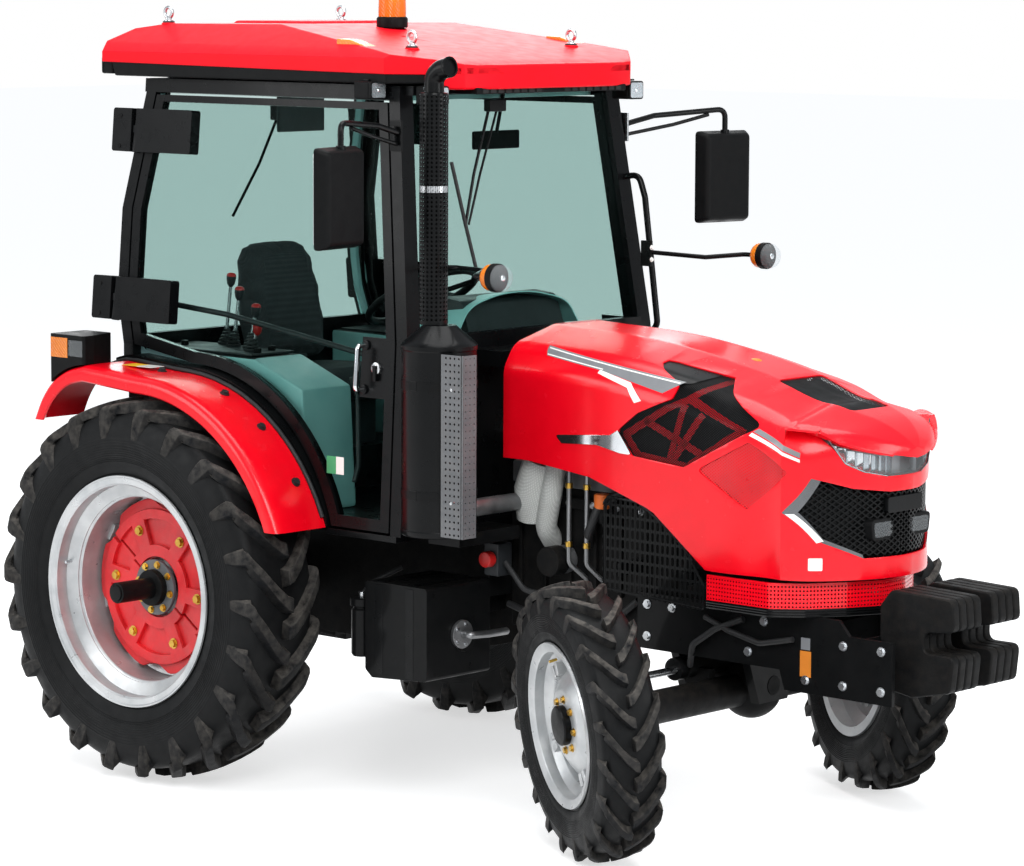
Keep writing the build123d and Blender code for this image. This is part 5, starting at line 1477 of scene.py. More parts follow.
# ---- driveline, frame and front axle --------------------------------------------------------------
@dataclass
class Driveline:
    """Castings and boxes under the cab and the hood, which keep their CAD shapes with worked edges."""

    plain: tuple[tuple[str, Finish, float], ...] = (("transmission_housing", CAST, 0.01),
        ("rear_axle_housing", CAST, 0.004), ("radiator", SATIN, 0.003), ("front_frame", CHASSIS, 0.0025),
        ("drawbar", CHASSIS, 0.003), ("pto_shaft", STEEL, 0.002), ("top_link", CHASSIS, 0.002),
        ("air_cleaner", PLASTIC, 0.004), ("front_axle_beam", CAST, 0.003), ("cab_floor", SATIN, 0.002),
        ("step_and_battery_box", CHASSIS, 0.004), ("seat_base", COWL, 0.006),)

    def build(self) -> None:
        """Makes the softened copies and what is bolted to them."""
        for node, finish, width in self.plain:
            Piece(node + "_worked").copy(node, finish, width).done(node)
        self.engine()
        self.front_end()
        for side in SIDES:
            knuckle = "knuckle_" + hand(side)
            Piece("knuckle_worked_" + hand(side), knuckle).copy(knuckle, CAST, 0.003).done(knuckle)
        Piece("steering_rod_worked", "steering_rod").copy("steering_rod", ZINC, 0.001).done("steering_rod")
        for body in ("lift_arms", "lift_rods", "lower_links"):
            Piece(body + "_worked", body).copy(body, CHASSIS, 0.002).done(body)

    def engine(self) -> None:
        """The engine's outside: block with ribs, head, pump, pipes, wrapped pipe, filler cap and switch."""
        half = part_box("engine_block")[1].y
        block = Piece("engine_block_worked").copy("engine_block", CAST, 0.008)
        for side in SIDES:
            y = side * half
            for k in range(7):
                x = 1.1 + 0.105 * k
                block.box((x, y, 0.7), (x + 0.014, y + side * 0.012, 0.96), CAST, 0.004)
            block.box((1.09, y, 0.965), (1.86, y + side * 0.02, 1.0), CAST, 0.006)
            block.box((1.09, y, 1.03), (1.86, y + side * 0.03, 1.1), GREY, 0.008)
            block.rod((1.3, y, 0.8), (1.3, y + side * 0.09, 0.8), 0.045, GREY, 0.006)
            block.rod((1.3, y + side * 0.04, 0.8), (1.3, y + side * 0.098, 0.8), 0.048, CAST, 0.005)
        spots = [((1.12 + 0.1 * k, side * (half + 0.02), 0.982), (0, side, 0)) for k in range(8)
            for side in SIDES]
        bolts(block, spots, 0.008, ZINC)
        block.done("engine_block")
        bay = Piece("engine_bay_fittings")
        for x, y in ((1.361, -0.27), (1.428, -0.262)):
            bay.tube([(x, y, 1.108), (x, y, 0.8), (x + 0.02, -0.2, 0.74)], 0.008, STEEL, 0.03)
            for z in (1.045, 0.86):
                bay.rod((x, y, z - 0.009), (x, y, z + 0.009), 0.012, BRASS, 0.002, 18)
        bay.tube([(1.235, -0.255, 1.11), (1.205, -0.262, 1.02), (1.19, -0.235, 0.93)], 0.062, WRAP, 0.0, 22)
        bay.tube([(1.3, -0.262, 1.1), (1.285, -0.27, 1.0), (1.25, -0.255, 0.9), (1.24, -0.205, 0.85)], 0.034,
            WRAP, 0.08, 18)
        bay.rod((1.5, -0.272, 0.985), (1.5, -0.272, 1.032), 0.026, ORANGE, 0.006, 20)
        bay.rod((1.5, -0.262, 0.94), (1.5, -0.268, 0.99), 0.017, PLASTIC, 0.003, 20)
        bay.box((1.055, -0.33, 0.735), (1.115, -0.262, 0.84), COWL, 0.006)
        bay.rod((1.085, -0.33, 0.79), (1.085, -0.362, 0.79), 0.026, RED_PLASTIC, 0.006, 24)
        bay.tube([(1.12, -0.3, 0.78), (1.2, -0.3, 0.7), (1.34, -0.27, 0.68), (1.45, -0.22, 0.66)], 0.009,
            SEAL, 0.05)
        bay.tube([(1.58, -0.24, 1.05), (1.5, -0.285, 1.0), (1.44, -0.27, 0.9), (1.4, -0.215, 0.86)], 0.014,
            SEAL, 0.06)
        bay.tube([(1.1, -0.26, 0.64), (1.3, -0.28, 0.6), (1.52, -0.235, 0.63), (1.6, -0.215, 0.7)], 0.011,
            SEAL, 0.06)
        bay.done()

    def front_end(self) -> None:
        """Bolts, hoses and blank labels on the front frame and axle."""
        trim = Piece("front_frame_fittings")
        for side in SIDES:
            y = side * 0.2402
            spots = [((x, y, z), (0, side, 0)) for x, z in ((1.66, 0.6), (1.66, 0.7), (1.76, 0.7),
                (2.06, 0.6), (2.12, 0.7), (2.42, 0.66), (2.42, 0.54), (2.56, 0.66), (2.56, 0.54),
                (2.28, 0.54))]
            bolts(trim, spots, 0.011, ZINC)
        trim.box((2.262, -0.2412, 0.632), (2.296, -0.2402, 0.668), FILM_GREY_AND_SHADE, 0.0)
        trim.box((2.259, -0.2412, 0.55), (2.3, -0.2402, 0.628), FILM_ORANGE, 0.0)
        trim.tube([(1.9, -0.252, 0.69), (2.0, -0.262, 0.66), (2.12, -0.262, 0.635), (2.24, -0.252, 0.66)],
            0.009, SEAL, 0.05)
        trim.tube([(1.8, -0.2, 0.52), (1.86, -0.262, 0.6), (1.95, -0.262, 0.66), (2.05, -0.252, 0.7)], 0.01,
            SEAL, 0.05)
        for y in (-0.205, 0.205):
            trim.rod((1.753, y - 0.02, 0.504), (1.753, y + 0.02, 0.504), 0.036, CHASSIS, 0.004, 28)
        trim.done()
        self.weights()

    def weights(self) -> None:
        """Suitcase weights in two groups, each plate with rounded edges, on their carrier."""
        piece = Piece("front_weights_worked")
        x0, x1, z0, z1 = 2.5, 2.77, 0.52, 0.835
        side_view = [(x0, z0 + 0.02), (x0 + 0.12, z0), (x1 - 0.012, z0 + 0.03), (x1, z0 + 0.14),
            (x1 - 0.11, z0 + 0.14), (x1 - 0.11, z1 - 0.115), (x1, z1 - 0.105), (x1 - 0.008, z1 - 0.008),
            (x0 + 0.04, z1), (x0, z1 - 0.05)]
        outline = soften(side_view, 0.024, 4)
        for side in SIDES:
            for k in range(PLATES):
                low = 0.0265 + k * PLATE_THICK
                piece.slab(Axis.Y, outline, side * low, side * (low + PLATE_THICK - 0.003), CAST, 0.009, 3)
            piece.box((x0 + 0.02, side * 0.026, z0 + 0.06), (x1 - 0.13, side * (0.024 + PLATES * PLATE_THICK),
                z0 + 0.2), CAST, 0.006)
        piece.box((x0, -0.03, z0 + 0.06), (x0 + 0.06, 0.03, z0 + 0.17), CAST, 0.004)
        piece.done("front_weights", angle=35)


@dataclass
class Tank:
    """Fuel tank with straps, drain flange and elbow, and the filter canister beside it."""

    def build(self) -> None:
        """Makes the tank and what is on it."""
        tank = Piece("fuel_tank_worked").copy("fuel_tank", CHASSIS, 0.012)
        for x in (0.852, 0.985):
            strap = [(-0.601, 0.425), (-0.601, 0.712), (-0.59, 0.7222), (-0.312, 0.7222), (-0.312, 0.7202),
                (-0.589, 0.7202), (-0.599, 0.711), (-0.599, 0.425)]
            tank.slab(Axis.X, strap, x - 0.017, x + 0.017, SATIN, 0.0006)
        tank.rod((1.06, -0.445, 0.56), (1.074, -0.445, 0.56), 0.046, STEEL, 0.003, 32)
        spots = [((1.074, -0.445 + 0.034 * math.cos(a), 0.56 + 0.034 * math.sin(a)), AHEAD)
            for a in angles(5)]
        bolts(tank, spots, 0.0055, ZINC)
        tank.tube([(1.074, -0.445, 0.56), (1.105, -0.445, 0.56), (1.105, -0.36, 0.555), (1.09, -0.26, 0.55)],
            0.012, STEEL, 0.025)
        tank.done("fuel_tank")
        can = Piece("filter_canister")
        can.spin([(0, 0), (0, 0.03), (0.008, 0.036), (0.15, 0.036), (0.156, 0.03), (0.16, 0.03),
            (0.164, 0.04), (0.186, 0.04), (0.19, 0.034), (0.19, 0)], (0.735, -0.555, 0.465), UP, CHASSIS, 32)
        can.rod((0.735, -0.555, 0.65), (0.735, -0.555, 0.672), 0.012, ZINC, 0.002, 18)
        can.tube([(0.735, -0.555, 0.665), (0.735, -0.5, 0.7), (0.78, -0.42, 0.74)], 0.008, SEAL, 0.03)
        can.box((0.728, -0.56, 0.6), (0.8, -0.54, 0.62), CHASSIS, 0.002)
        can.done()


@dataclass
class Exhaust:
    """Muffler, perforated guard round the stack, outlet, and the perforated heat shield."""

    x: float = 1.112
    y: float = -0.6
    stack_x: float = 1.087
    guard_r: float = 0.0448

    def build(self) -> None:
        """Makes all four."""
        body = Piece("muffler_dressed")
        body.spin([(0.9, 0), (0.9, 0.112), (0.903, 0.117), (0.909, 0.12), (0.918, 0.12), (0.921, 0.1175),
            (1.478, 0.1175), (1.482, 0.12), (1.494, 0.12), (1.5, 0.116), (1.508, 0.108), (1.555, 0.052),
            (1.555, 0)], (self.x, self.y, 0), UP, SATIN, 64)
        for z in (1.02, 1.36):
            body.spin([(z, 0.1172), (z, 0.1196), (z + 0.026, 0.1196), (z + 0.026, 0.1172)],
                (self.x, self.y, 0), UP, CHASSIS, 64)
            body.box((self.x - 0.016, self.y - 0.1199, z - 0.002), (self.x + 0.016, self.y - 0.11, z + 0.028),
                CHASSIS, 0.003)
        body.tube([(1.112, -0.6, 0.98), (1.172, -0.52, 0.98), (1.172, -0.2055, 0.98)], 0.028, STEEL, 0.03, 20)
        body.box((self.x - 0.075, self.y + 0.03, 0.86), (self.x + 0.06, -0.29, 0.902), CHASSIS, 0.003)
        body.box((self.x - 0.075, -0.3, 0.66), (self.x - 0.06, -0.1653, 0.88), CHASSIS, 0.003)
        body.done("muffler", angle=30)
        self.stack()
        self.shield()

    def stack(self) -> None:
        """The stack's pipe and outlet inside its perforated guard, with a clamp."""
        piece = Piece("exhaust_stack_dressed")
        x, y = self.stack_x, self.y
        outlet = [(x, y, 1.556), (x, y, 2.318), (x + 0.03, y, 2.342), (x + 0.064, y, 2.35)]
        piece.tube(outlet, 0.0315, SATIN, 0.05, 28)
        piece.spin([(0.0, 0.0315), (0.006, 0.0335), (0.01, 0.0325), (0.01, 0.027), (-0.04, 0.026),
            (-0.04, 0)], (x + 0.06, y, 2.35), (1, 0, 0.14), SATIN, 28)
        columns, rows = 20, 52
        pitch = (2 * math.pi * self.guard_r / columns, 0.7 / rows)

        def roll(p: Vector) -> Vector:
            """Rolls the flat sheet round the pipe.

            Args:
                p: A point of the flat sheet.

            Returns:
                The point round the pipe.
            """
            a = p.x / self.guard_r
            r = self.guard_r - p.y
            return Vector((x + r * math.cos(a), y + r * math.sin(a), 1.566 + p.z + pitch[1] / 2))

        perforated(piece, columns, rows, pitch, 0.0042, SATIN, roll)
        piece.spin([(1.556, 0.034), (1.556, 0.0448), (1.5675, 0.0448), (1.5675, 0.034)], (x, y, 0), UP, SATIN,
            40, closed=True)
        piece.spin([(2.262, 0.031), (2.262, 0.0448), (2.27, 0.043), (2.272, 0.031)], (x, y, 0), UP, SATIN, 40,
            closed=True)
        piece.spin([(0, 0.044), (0, 0.0449), (0.02, 0.0449), (0.02, 0.044)], (x, y, 1.965), UP, ZINC, 40,
            closed=True)
        piece.done("exhaust_stack", angle=40)

    def shield(self) -> None:
        """The grey heat shield: a perforated face and a return in front of the muffler."""
        piece = Piece("heat_shield_dressed")
        z0, z1 = 0.9125, 1.4775
        rows = 28
        step = (z1 - z0) / rows

        def face(p: Vector) -> Vector:
            """Stands the flat sheet up beside the muffler."""
            return Vector((1.233 + p.x, -0.6995 + p.y, z0 + p.z + step / 2))

        def back(p: Vector) -> Vector:
            """Stands the flat sheet up in front of the muffler."""
            return Vector((1.3035 - p.y, -0.685 + p.x, z0 + p.z + step / 2))

        perforated(piece, 4, rows, (0.018, step), 0.004, GREY, face)
        perforated(piece, 3, rows, (0.019, step), 0.0024, GREY, back)
        piece.box((1.213, -0.6998, z0), (1.2245, -0.6978, z1), GREY, 0.0006)
        piece.tube([(1.3005, -0.6965, z0), (1.3005, -0.6965, z1)], 0.0032, GREY, 0.0, 10)
        for z in (1.0, 1.35):
            piece.box((1.222, -0.642, z), (1.3, -0.631, z + 0.04), CHASSIS, 0.002)
            piece.rod((1.255, -0.7, z + 0.02), (1.255, -0.64, z + 0.02), 0.005, ZINC, 0.001, 14)
        piece.done("heat_shield")


# ---- cab ----------------------------------------------------------------------------------------
REAR_POST = ((-0.345, 1.4), (-0.388, 1.56), (-0.388, 1.85), (-0.297, 2.255))
FRONT_POST = ((0.985, 0.88), (0.965, 1.48), (0.868, 2.255))


def convex(low: Point, high: Point, cuts: Sequence[tuple[Point, Point]]) -> Sheet:
    """A block with flat cuts.

    Args:
        low: Its lowest corner.
        high: Its highest corner.
        cuts: A point and the outward direction of each cut.

    Returns:
        The closed shape.
    """
    shape = block(low, high)
    for point, way in cuts:
        bmesh.ops.bisect_plane(shape, geom=shape.verts[:] + shape.edges[:] + shape.faces[:], dist=CUT_REACH,
            plane_co=point, plane_no=way, clear_outer=True)
        open_edges = [e for e in shape.edges if e.is_boundary]
        if open_edges:
            bmesh.ops.contextual_create(shape, geom=open_edges)
    bmesh.ops.remove_doubles(shape, verts=shape.verts, dist=1e-5)
    bmesh.ops.dissolve_limit(shape, angle_limit=0.01, verts=shape.verts, edges=shape.edges)
    return shape


def outline_cuts(axis: Axis, outline: Sequence[Flat]) -> list[tuple[Point, Point]]:
    """Cuts through each edge of a convex outline, seen along an axis.

    Args:
        axis: The axis that the outline is seen along.
        outline: The outline.

    Returns:
        A point and an outward direction for each edge.
    """
    centre = Vector((sum(a for a, _ in outline) / len(outline), sum(b for _, b in outline) / len(outline)))
    made = []
    for (a, b), (c, d) in zip(outline, [*outline[1:], outline[0]]):
        way = Vector((d - b, a - c)).normalized()
        if way.dot(Vector((a, b)) - centre) < 0:
            way = -way
        made.append((axis.lift(a, b, 0), axis.lift(way.x, way.y, 0)))
    return made


@dataclass
class Roof:
    """The moulded roof: a red cap with raised panels over a black tray, lamps, beacon and eyes."""

    half: float = 0.585
    back: float = -0.504
    front: float = 1.065

    def side_view(self) -> list[Flat]:
        """The cap's outline from the side."""
        return [(self.back, 2.372), (self.back, 2.39), (-0.43, 2.448), (-0.3, 2.466), (0.33, 2.47),
            (0.78, 2.398), (0.95, 2.376), (1.057, 2.345), (self.front, 2.326), (self.front, 2.2),
            (self.back, 2.2)]

    def plan(self, inset: float) -> list[Flat]:
        """The outline from above, drawn in by a distance."""
        h, f, b = self.half - inset, self.front - inset, self.back + inset
        return [(b, -0.5), (-0.455, -h), (0.86, -h), (1.03 - inset, -0.4), (f, -0.25), (f, 0.25),
            (1.03 - inset, 0.4), (0.86, h), (-0.455, h), (b, 0.5)]

    def build(self) -> None:
        """Makes the roof and everything on it."""
        cap = Piece("cab_roof_dressed")
        front_view = [(-self.half, 2.2), (self.half, 2.2), (self.half, 2.372), (self.half - 0.04, 2.402),
            (0.4, 2.478), (-0.4, 2.478), (-self.half + 0.04, 2.402), (-self.half, 2.372)]
        views = ((Axis.Z, self.plan(0.0)), (Axis.X, front_view), (Axis.Y, self.side_view()))
        cuts = [cut for axis, outline in views for cut in outline_cuts(axis, outline)]
        cuts += [((0.2, 0, 2.33), (-0.012, 0, -1.0)), ((1.0, 0, 2.306), (0.1, 0, -1.0))]
        cap.take(convex((-0.6, -0.7, 2.3), (1.2, 0.7, 2.6), cuts), ROOF_RED, 0.026, 4)
        lip = convex((0.945, -0.7, 2.274), (1.2, 0.7, 2.352), outline_cuts(Axis.Z, self.plan(0.0)))
        cap.take(lip, ROOF_RED, 0.01, 3)
        tray = convex((-0.6, -0.7, 2.26), (1.2, 0.7, 2.6), outline_cuts(Axis.Z, self.plan(0.007))
            + [((0, 0, 2.347), (0, 0, 1)), ((1.0, 0, 2.292), (0, 0, -1)),
            ((-0.405, 0, 2.302), (-1.0, 0, -0.317))])
        cap.take(tray, PLASTIC, 0.008, 3)
        cap.box((-0.27, -0.47, 2.2855), (0.84, 0.47, 2.33), PLASTIC, 0.01)
        cap.slab(Axis.Y, [(-0.497, 2.386), (-0.42, 2.376), (-0.424, 2.34), (-0.44, 2.345), (-0.498, 2.374)],
            -0.49, 0.49, PLASTIC, 0.003)
        for y0, y1, x0, x1, z, lean in ((-0.21, 0.21, -0.24, 0.16, 2.4665, 0.006),
                (-0.17, 0.17, 0.5, 0.8, 2.405, -0.145)):
            panel = bmesh.new()
            bmesh.ops.create_cube(panel, size=1.0)
            middle = (x0 + x1) / 2
            for v in panel.verts:
                wide = 1.0 if v.co.z < 0 else 0.9
                x = middle + v.co.x * (x1 - x0) * wide
                v.co = Vector((x, v.co.y * (y1 - y0) * wide, z + v.co.z * 0.02 + (x - middle) * lean))
            cap.take(panel, ROOF_RED, 0.008, 3)
        self.front_vents(cap)
        cap.done("cab_roof", slot="red_paint", angle=30)
        self.eyes()
        self.beacon()
        self.lamps()

    def front_vents(self, cap: Piece) -> None:
        """The louvred air inlet under the front lip.

        Args:
            cap: The roof cap's piece.
        """
        for side in SIDES:
            # the inlet's slots are black boxes of painted shade
            for k in range(8):
                y = side * (0.055 + 0.036 * k)
                cap.box((1.04, y, 2.262), (1.0475, y + side * 0.026, 2.2745), PAINTED_SHADE_BLACK, 0.001)
        cap.box((0.9, -0.36, 2.259), (1.045, 0.36, 2.28), PLASTIC, 0.004)

    def eyes(self) -> None:
        """Four zinc lifting eyes on their bases."""
        piece = Piece("lifting_eyes_dressed")
        for x, y, z in ((-0.315, 0.41, 2.462), (0.785, 0.382, 2.395)):
            for side in SIDES:
                piece.rod((x, side * y, z - 0.04), (x, side * y, z + 0.006), 0.024, ROOF_RED, 0.004)
                piece.rod((x, side * y, z + 0.004), (x, side * y, z + 0.011), 0.02, SEAL, 0.002)
                piece.rod((x, side * y, z - 0.003), (x, side * y, z + 0.022), 0.0105, ZINC, 0.002)
                piece.rod((x, side * y, z + 0.008), (x, side * y, z + 0.016), 0.016, ZINC, 0.003)
                ring = [(x + 0.0175 * math.cos(a), side * y, z + 0.0395 + 0.0175 * math.sin(a))
                    for a in angles(28)]
                piece.tube(ring, 0.0058, ZINC, 0.0, 12, closed=True)
        piece.done("lifting_eyes")

    def beacon(self) -> None:
        """Amber beacon: dark foot, ribbed dome and the lamp inside it."""
        lo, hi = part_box("beacon")
        x, z = (lo.x + hi.x) / 2 - AXLE_X, lo.z
        base = Piece("beacon_dressed")
        base.spin([(0, 0), (0, 0.05), (0.004, 0.052), (0.03, 0.052), (0.036, 0.0475), (0.036, 0)], (x, 0, z),
            UP, PLASTIC, 48)
        base.spin([(0.036, 0), (0.036, 0.014), (0.09, 0.014), (0.098, 0.008), (0.098, 0)], (x, 0, z), UP,
            CHROME, 24)
        dome = [(0.036, 0.0455), (0.05, 0.046), (0.105, 0.0445), (0.118, 0.0415), (0.126, 0.034),
            (0.1285, 0.02), (0.129, 0.0)]
        base.spin(dome, (x, 0, z), UP, AMBER, 48)
        base.done("beacon")

    def lamps(self) -> None:
        """Six work lamps with reflectors and clear lenses."""
        piece = Piece("work_lamps_dressed")
        table = ((-0.464, 0.52, 2.297, 2.357, 0.029, 0.035, -1), (0.78, 0.567, 2.243, 2.299, 0.04, 0.035, 1),
            (0.958, 0.47, 2.226, 2.286, 0.042, 0.035, 1))
        for x, y, low, top, deep, half, way in table:
            for side in SIDES:
                yy = side * y
                near = x + way * (deep - 0.01)
                piece.box((x - way * deep, yy - half, low), (near, yy + half, top), PLASTIC, 0.009, 3)
                rim = soften([(yy - half, low), (yy + half, low), (yy + half, top), (yy - half, top)], 0.01)
                inner = soften([(yy - half + 0.005, low + 0.005), (yy + half - 0.005, low + 0.005),
                    (yy + half - 0.005, top - 0.005), (yy - half + 0.005, top - 0.005)], 0.008)
                face = x + way * deep
                piece.slab(Axis.X, rim, near - way * 0.002, face - way * 0.003, PLASTIC, 0.002)
                piece.slab(Axis.X, inner, face - way * 0.0036, face - way * 0.0022, CHROME, 0.0)
                piece.slab(Axis.X, inner, face - way * 0.0018, face - way * 0.0002, LENS, 0.0006)
                piece.ball((face - way * 0.008, yy, (low + top) / 2), 0.009, CHROME)
                piece.rod((x, yy, top - 0.006), (x, yy, top + 0.026), 0.0078, CHASSIS, 0.001)
                piece.box((x - 0.012, yy - 0.02, top + 0.001), (x + 0.012, yy + 0.02, top + 0.006), CHASSIS,
                    0.001)
        piece.done("work_lamps")


@dataclass
class Cab:
    """Frame, doors, glass, mirrors, rails and outside lamps."""

    hinge_z: tuple[float, float] = (1.55, 2.11)

    def build(self) -> None:
        """Makes the outside of the cab."""
        shell = Piece("cab_frame_worked").copy("cab_frame", SATIN, 0.003)
        self.frame_trim(shell)
        shell.done("cab_frame", angle=32)
        for side in SIDES:
            self.door(side)
        self.fenders()
        self.mirrors()
        self.rails()
        self.signals()
        self.wipers()
        for node in ("windshield", "rear_window", "door_glass_right", "door_glass_left"):
            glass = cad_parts[node]
            glass.data.materials.clear()
            glass.data.materials.append(GLASS.material())

    def frame_trim(self, shell: Piece) -> None:
        """Seals, hinge-cover screws and teal linings fixed to the frame.

        Args:
            shell: The cab shell's piece.
        """
        for side in SIDES:
            for z in self.hinge_z:
                for dz in (-0.05, 0.05):
                    x = on_line(REAR_POST, z) - 0.031
                    y = side_y(z + dz, side, 0.0545)
                    shell.rod((x, y - side * 0.006, z + dz), (x, y + side * 0.0022, z + dz), 0.0075, CHASSIS,
                        0.001, 16)
            seal = [(x + 0.05, side_y(z, side, -0.029), z) for x, z in REAR_POST[:-1]]
            seal += [(on_line(REAR_POST, 2.225) + 0.05, side_y(2.225, side, -0.029), 2.225)]
            shell.tube(seal, 0.006, SEAL, 0.05, 10)
        for side in SIDES:
            y = side * 0.5597
            wall = [(-0.3, 1.395), (-0.3, 1.06), (0.12, 1.06), (0.3, 1.06), (0.52, 1.06), (0.42, 1.19),
                (0.26, 1.29), (0.1, 1.325), (-0.1, 1.335), (-0.22, 1.34)]
            shell.slab(Axis.Y, wall, y, y - side * 0.003, TEAL, 0.001)
        low, high = 1.43, 2.235
        for side in SIDES:
            rows = []
            for k in range(9):
                z = low + (high - low) * k / 8
                x = on_line(REAR_POST, z)
                inner = side_y(z, side, -0.061)
                rows.append([(x + 0.016, inner, z), (x + 0.044, inner - side * 0.001, z),
                    (x + 0.052, inner + side * 0.012, z), (x + 0.052, inner + side * 0.044, z)])
            shell.band(rows, TEAL, 0.0015)

    def door(self, side: int) -> None:
        """A door: its frame, seal, metal pull, latch and inner trim.

        Args:
            side: 1 for the left door, -1 for the right one.
        """
        door = Piece("door_frame_worked_" + hand(side), "door_" + hand(side))

        def keep(c: Vector) -> bool:
            """Whether a face is not part of the plain pull, which is made anew."""
            return not (0.77 < c.x < 0.805 and 1.31 < c.z < 1.49 and abs(c.y) > abs(side_y(c.z, side))
                + 0.003)

        door.copy("door_frame_" + hand(side), SATIN, 0.0025, keep)
        grip = []
        for z, out in ((1.33, 0.0), (1.33, 0.04), (1.47, 0.04), (1.47, 0.0)):
            grip.append((0.789, side_y(z, side, out), z))
        door.tube(grip, 0.0085, CHROME, 0.014, 16)
        for z in (1.33, 1.47):
            door.rod((0.789, side_y(z, side, -0.004), z), (0.789, side_y(z, side, 0.008), z), 0.016, SATIN,
                0.003)
        door.rod((0.842, side_y(1.4, side, -0.002), 1.4), (0.842, side_y(1.4, side, 0.012), 1.4), 0.02, ZINC,
            0.004)
        door.box((0.835, side_y(1.4, side, 0.004), 1.36), (0.85, side_y(1.4, side, 0.018), 1.41), SATIN,
            0.003)
        bar = [(-0.22, side_y(1.545, side, -0.034), 1.545), (0.1, side_y(1.52, side, -0.046), 1.52),
            (0.8, side_y(1.425, side, -0.046), 1.425), (0.86, side_y(1.42, side, -0.034), 1.42)]
        door.tube(bar, 0.0095, COWL, 0.05, 14)
        pull = [(0.7, side_y(1.36, side, -0.03), 1.36), (0.715, side_y(1.3, side, -0.05), 1.3),
            (0.735, side_y(1.08, side, -0.05), 1.08), (0.74, side_y(1.03, side, -0.03), 1.03)]
        door.tube(pull, 0.008, COWL, 0.04, 12)
        if side < 0:
            y = side_y(1.08, side, -0.0035)
            door.box((0.64, y - 0.0012, 1.052), (0.682, y, 1.108), FILM_GREEN, 0.0)
            door.box((0.682, y - 0.0012, 1.052), (0.716, y, 1.108), FILM_WHITE_AND_HIGHLIGHT, 0.0)
        door.done("door_frame_" + hand(side), angle=32)

    def arch(self, inset: float) -> list[Flat]:
        """The fender's outline from the side, from its front foot to its tail.

        Args:
            inset: How far the outline is drawn in.

        Returns:
            The outline as pairs of X and Z.
        """
        r, middle = 0.7 - inset, 0.63
        foot = math.sqrt(r * r - (SILL_Z - middle) ** 2)
        start = math.atan2(SILL_Z - middle, foot)
        made = [(r * math.cos(a), middle + r * math.sin(a)) for a in [start + (math.pi / 2 - start) * k / 26
            for k in range(27)]]
        tail = [(-0.26, 1.35 - inset), (-0.345 + 0.3 * inset, 1.328 - 0.9 * inset),
            (-0.42 + 0.66 * inset, 1.285 - 0.75 * inset), (-0.472 + 0.9 * inset, 1.225 - 0.4 * inset),
            (-0.51 + inset, 1.152)]
        middle_run = [(made[-1][0] + (tail[0][0] - made[-1][0]) * k / 6, made[-1][1]
            + (tail[0][1] - made[-1][1]) * k / 6) for k in range(1, 6)]
        return made + middle_run + [tuple(p) for p in curve(tail, 5)]

    def fenders(self) -> None:
        """Red fenders with a rounded outer edge, rubber trim along the cab, bolts and two blank labels."""
        piece = Piece("rear_fenders_dressed")
        count = len(self.arch(0.0))
        for side in SIDES:
            across = [(0.64, 0.0), (0.7, 0.0), (0.78, 0.0), (0.822, 0.0), (0.842, 0.0025), (0.8535, 0.0085),
                (0.8595, 0.018), (0.86, 0.032), (0.86, 0.05), (0.8555, 0.0545), (0.85, 0.05), (0.8495, 0.032),
                (0.846, 0.02), (0.838, 0.013), (0.822, 0.0085), (0.7, 0.008), (0.64, 0.008)]
            lines = [self.arch(drop) for _, drop in across]
            rows = [[(lines[j][i][0], side * across[j][0], lines[j][i][1]) for j in range(len(across))]
                for i in range(count)]
            closed = [row + [row[0]] for row in rows]
            piece.band(closed, RED)
            for row in (rows[0], rows[-1]):
                piece.add(row, [tuple(range(len(row)))], RED)
            seal = [(x, side * 0.647, z + 0.002) for x, z in self.arch(-0.004)[1:-8:2]]
            piece.tube(seal, 0.0075, SEAL, 0.0, 10)
            spots = []
            for share in (0.13, 0.27, 0.42, 0.6, 0.8):
                i = int(share * (count - 8))
                (xa, za), (xb, zb) = self.arch(0.0)[i], self.arch(0.0)[i + 1]
                way = Vector((zb - za, 0, xa - xb)).normalized()
                way = way if way.z > 0 or way.x > 0 else -way
                spots.append(((xa, side * 0.7, za), tuple(way)))
            bolts(piece, spots, 0.012, SEAL)
            for x, finish in ((-0.2, FILM_YELLOW), (-0.13, FILM_WHITE_AND_HIGHLIGHT)):
                piece.box((x, side * 0.675, 1.3458), (x + 0.07, side * 0.735, 1.3475), finish, 0.0)
        piece.done("rear_fenders", slot="red_paint", angle=40)

    def mirrors(self) -> None:
        """Mirror arms with brackets, heads with glass, and their clamps."""
        piece = Piece("mirrors_dressed")
        base_x = on_line(FRONT_POST, 2.13)
        top_y = side_y(2.13, 1)
        for side in SIDES:
            y0 = side * (top_y + 0.006)
            piece.box((base_x - 0.036, y0, 2.082), (base_x + 0.014, side * (top_y + 0.014), 2.178), ZINC
                if side > 0 else SATIN, 0.002)
            piece.box((base_x - 0.02, side * (top_y + 0.012), 2.1), (base_x, side * (top_y + 0.03), 2.16),
                SATIN, 0.003)
            arm = [(base_x, side * (top_y + 0.015), 2.14), (base_x + 0.025, side * (top_y + 0.13), 2.165),
                (1.005, side * 0.925, 2.184), (1.005, side * 0.925, 2.085)]
            piece.tube(arm, 0.0095, SATIN, 0.03, 16)
            low = [(base_x, side * (top_y + 0.02), 2.105), (base_x + 0.06, side * (top_y + 0.19), 2.135),
                (0.985, side * 0.86, 2.166)]
            piece.tube(low, 0.0065, SATIN, 0.03, 12)
            piece.rod((1.005, side * 0.925, 2.07), (1.005, side * 0.925, 2.115), 0.015, SATIN, 0.003)
            piece.place = Matrix.Translation((1.005, side * 0.925, 1.955)) @ Matrix.Rotation(math.radians(-10
                * side), 4, "Z")
            shell = bmesh.new()
            bmesh.ops.create_cube(shell, size=1.0)
            for v in shell.verts:
                narrow = 0.8 if v.co.x > 0 else 1.0
                v.co = Vector((v.co.x * 0.05, v.co.y * 0.234 * narrow, v.co.z * 0.318
                    * (0.9 if v.co.x > 0 else 1)))
            piece.take(shell, PLASTIC, 0.016, 4)
            glass = soften([(-0.108, -0.149), (0.108, -0.149), (0.108, 0.149), (-0.108, 0.149)], 0.02)
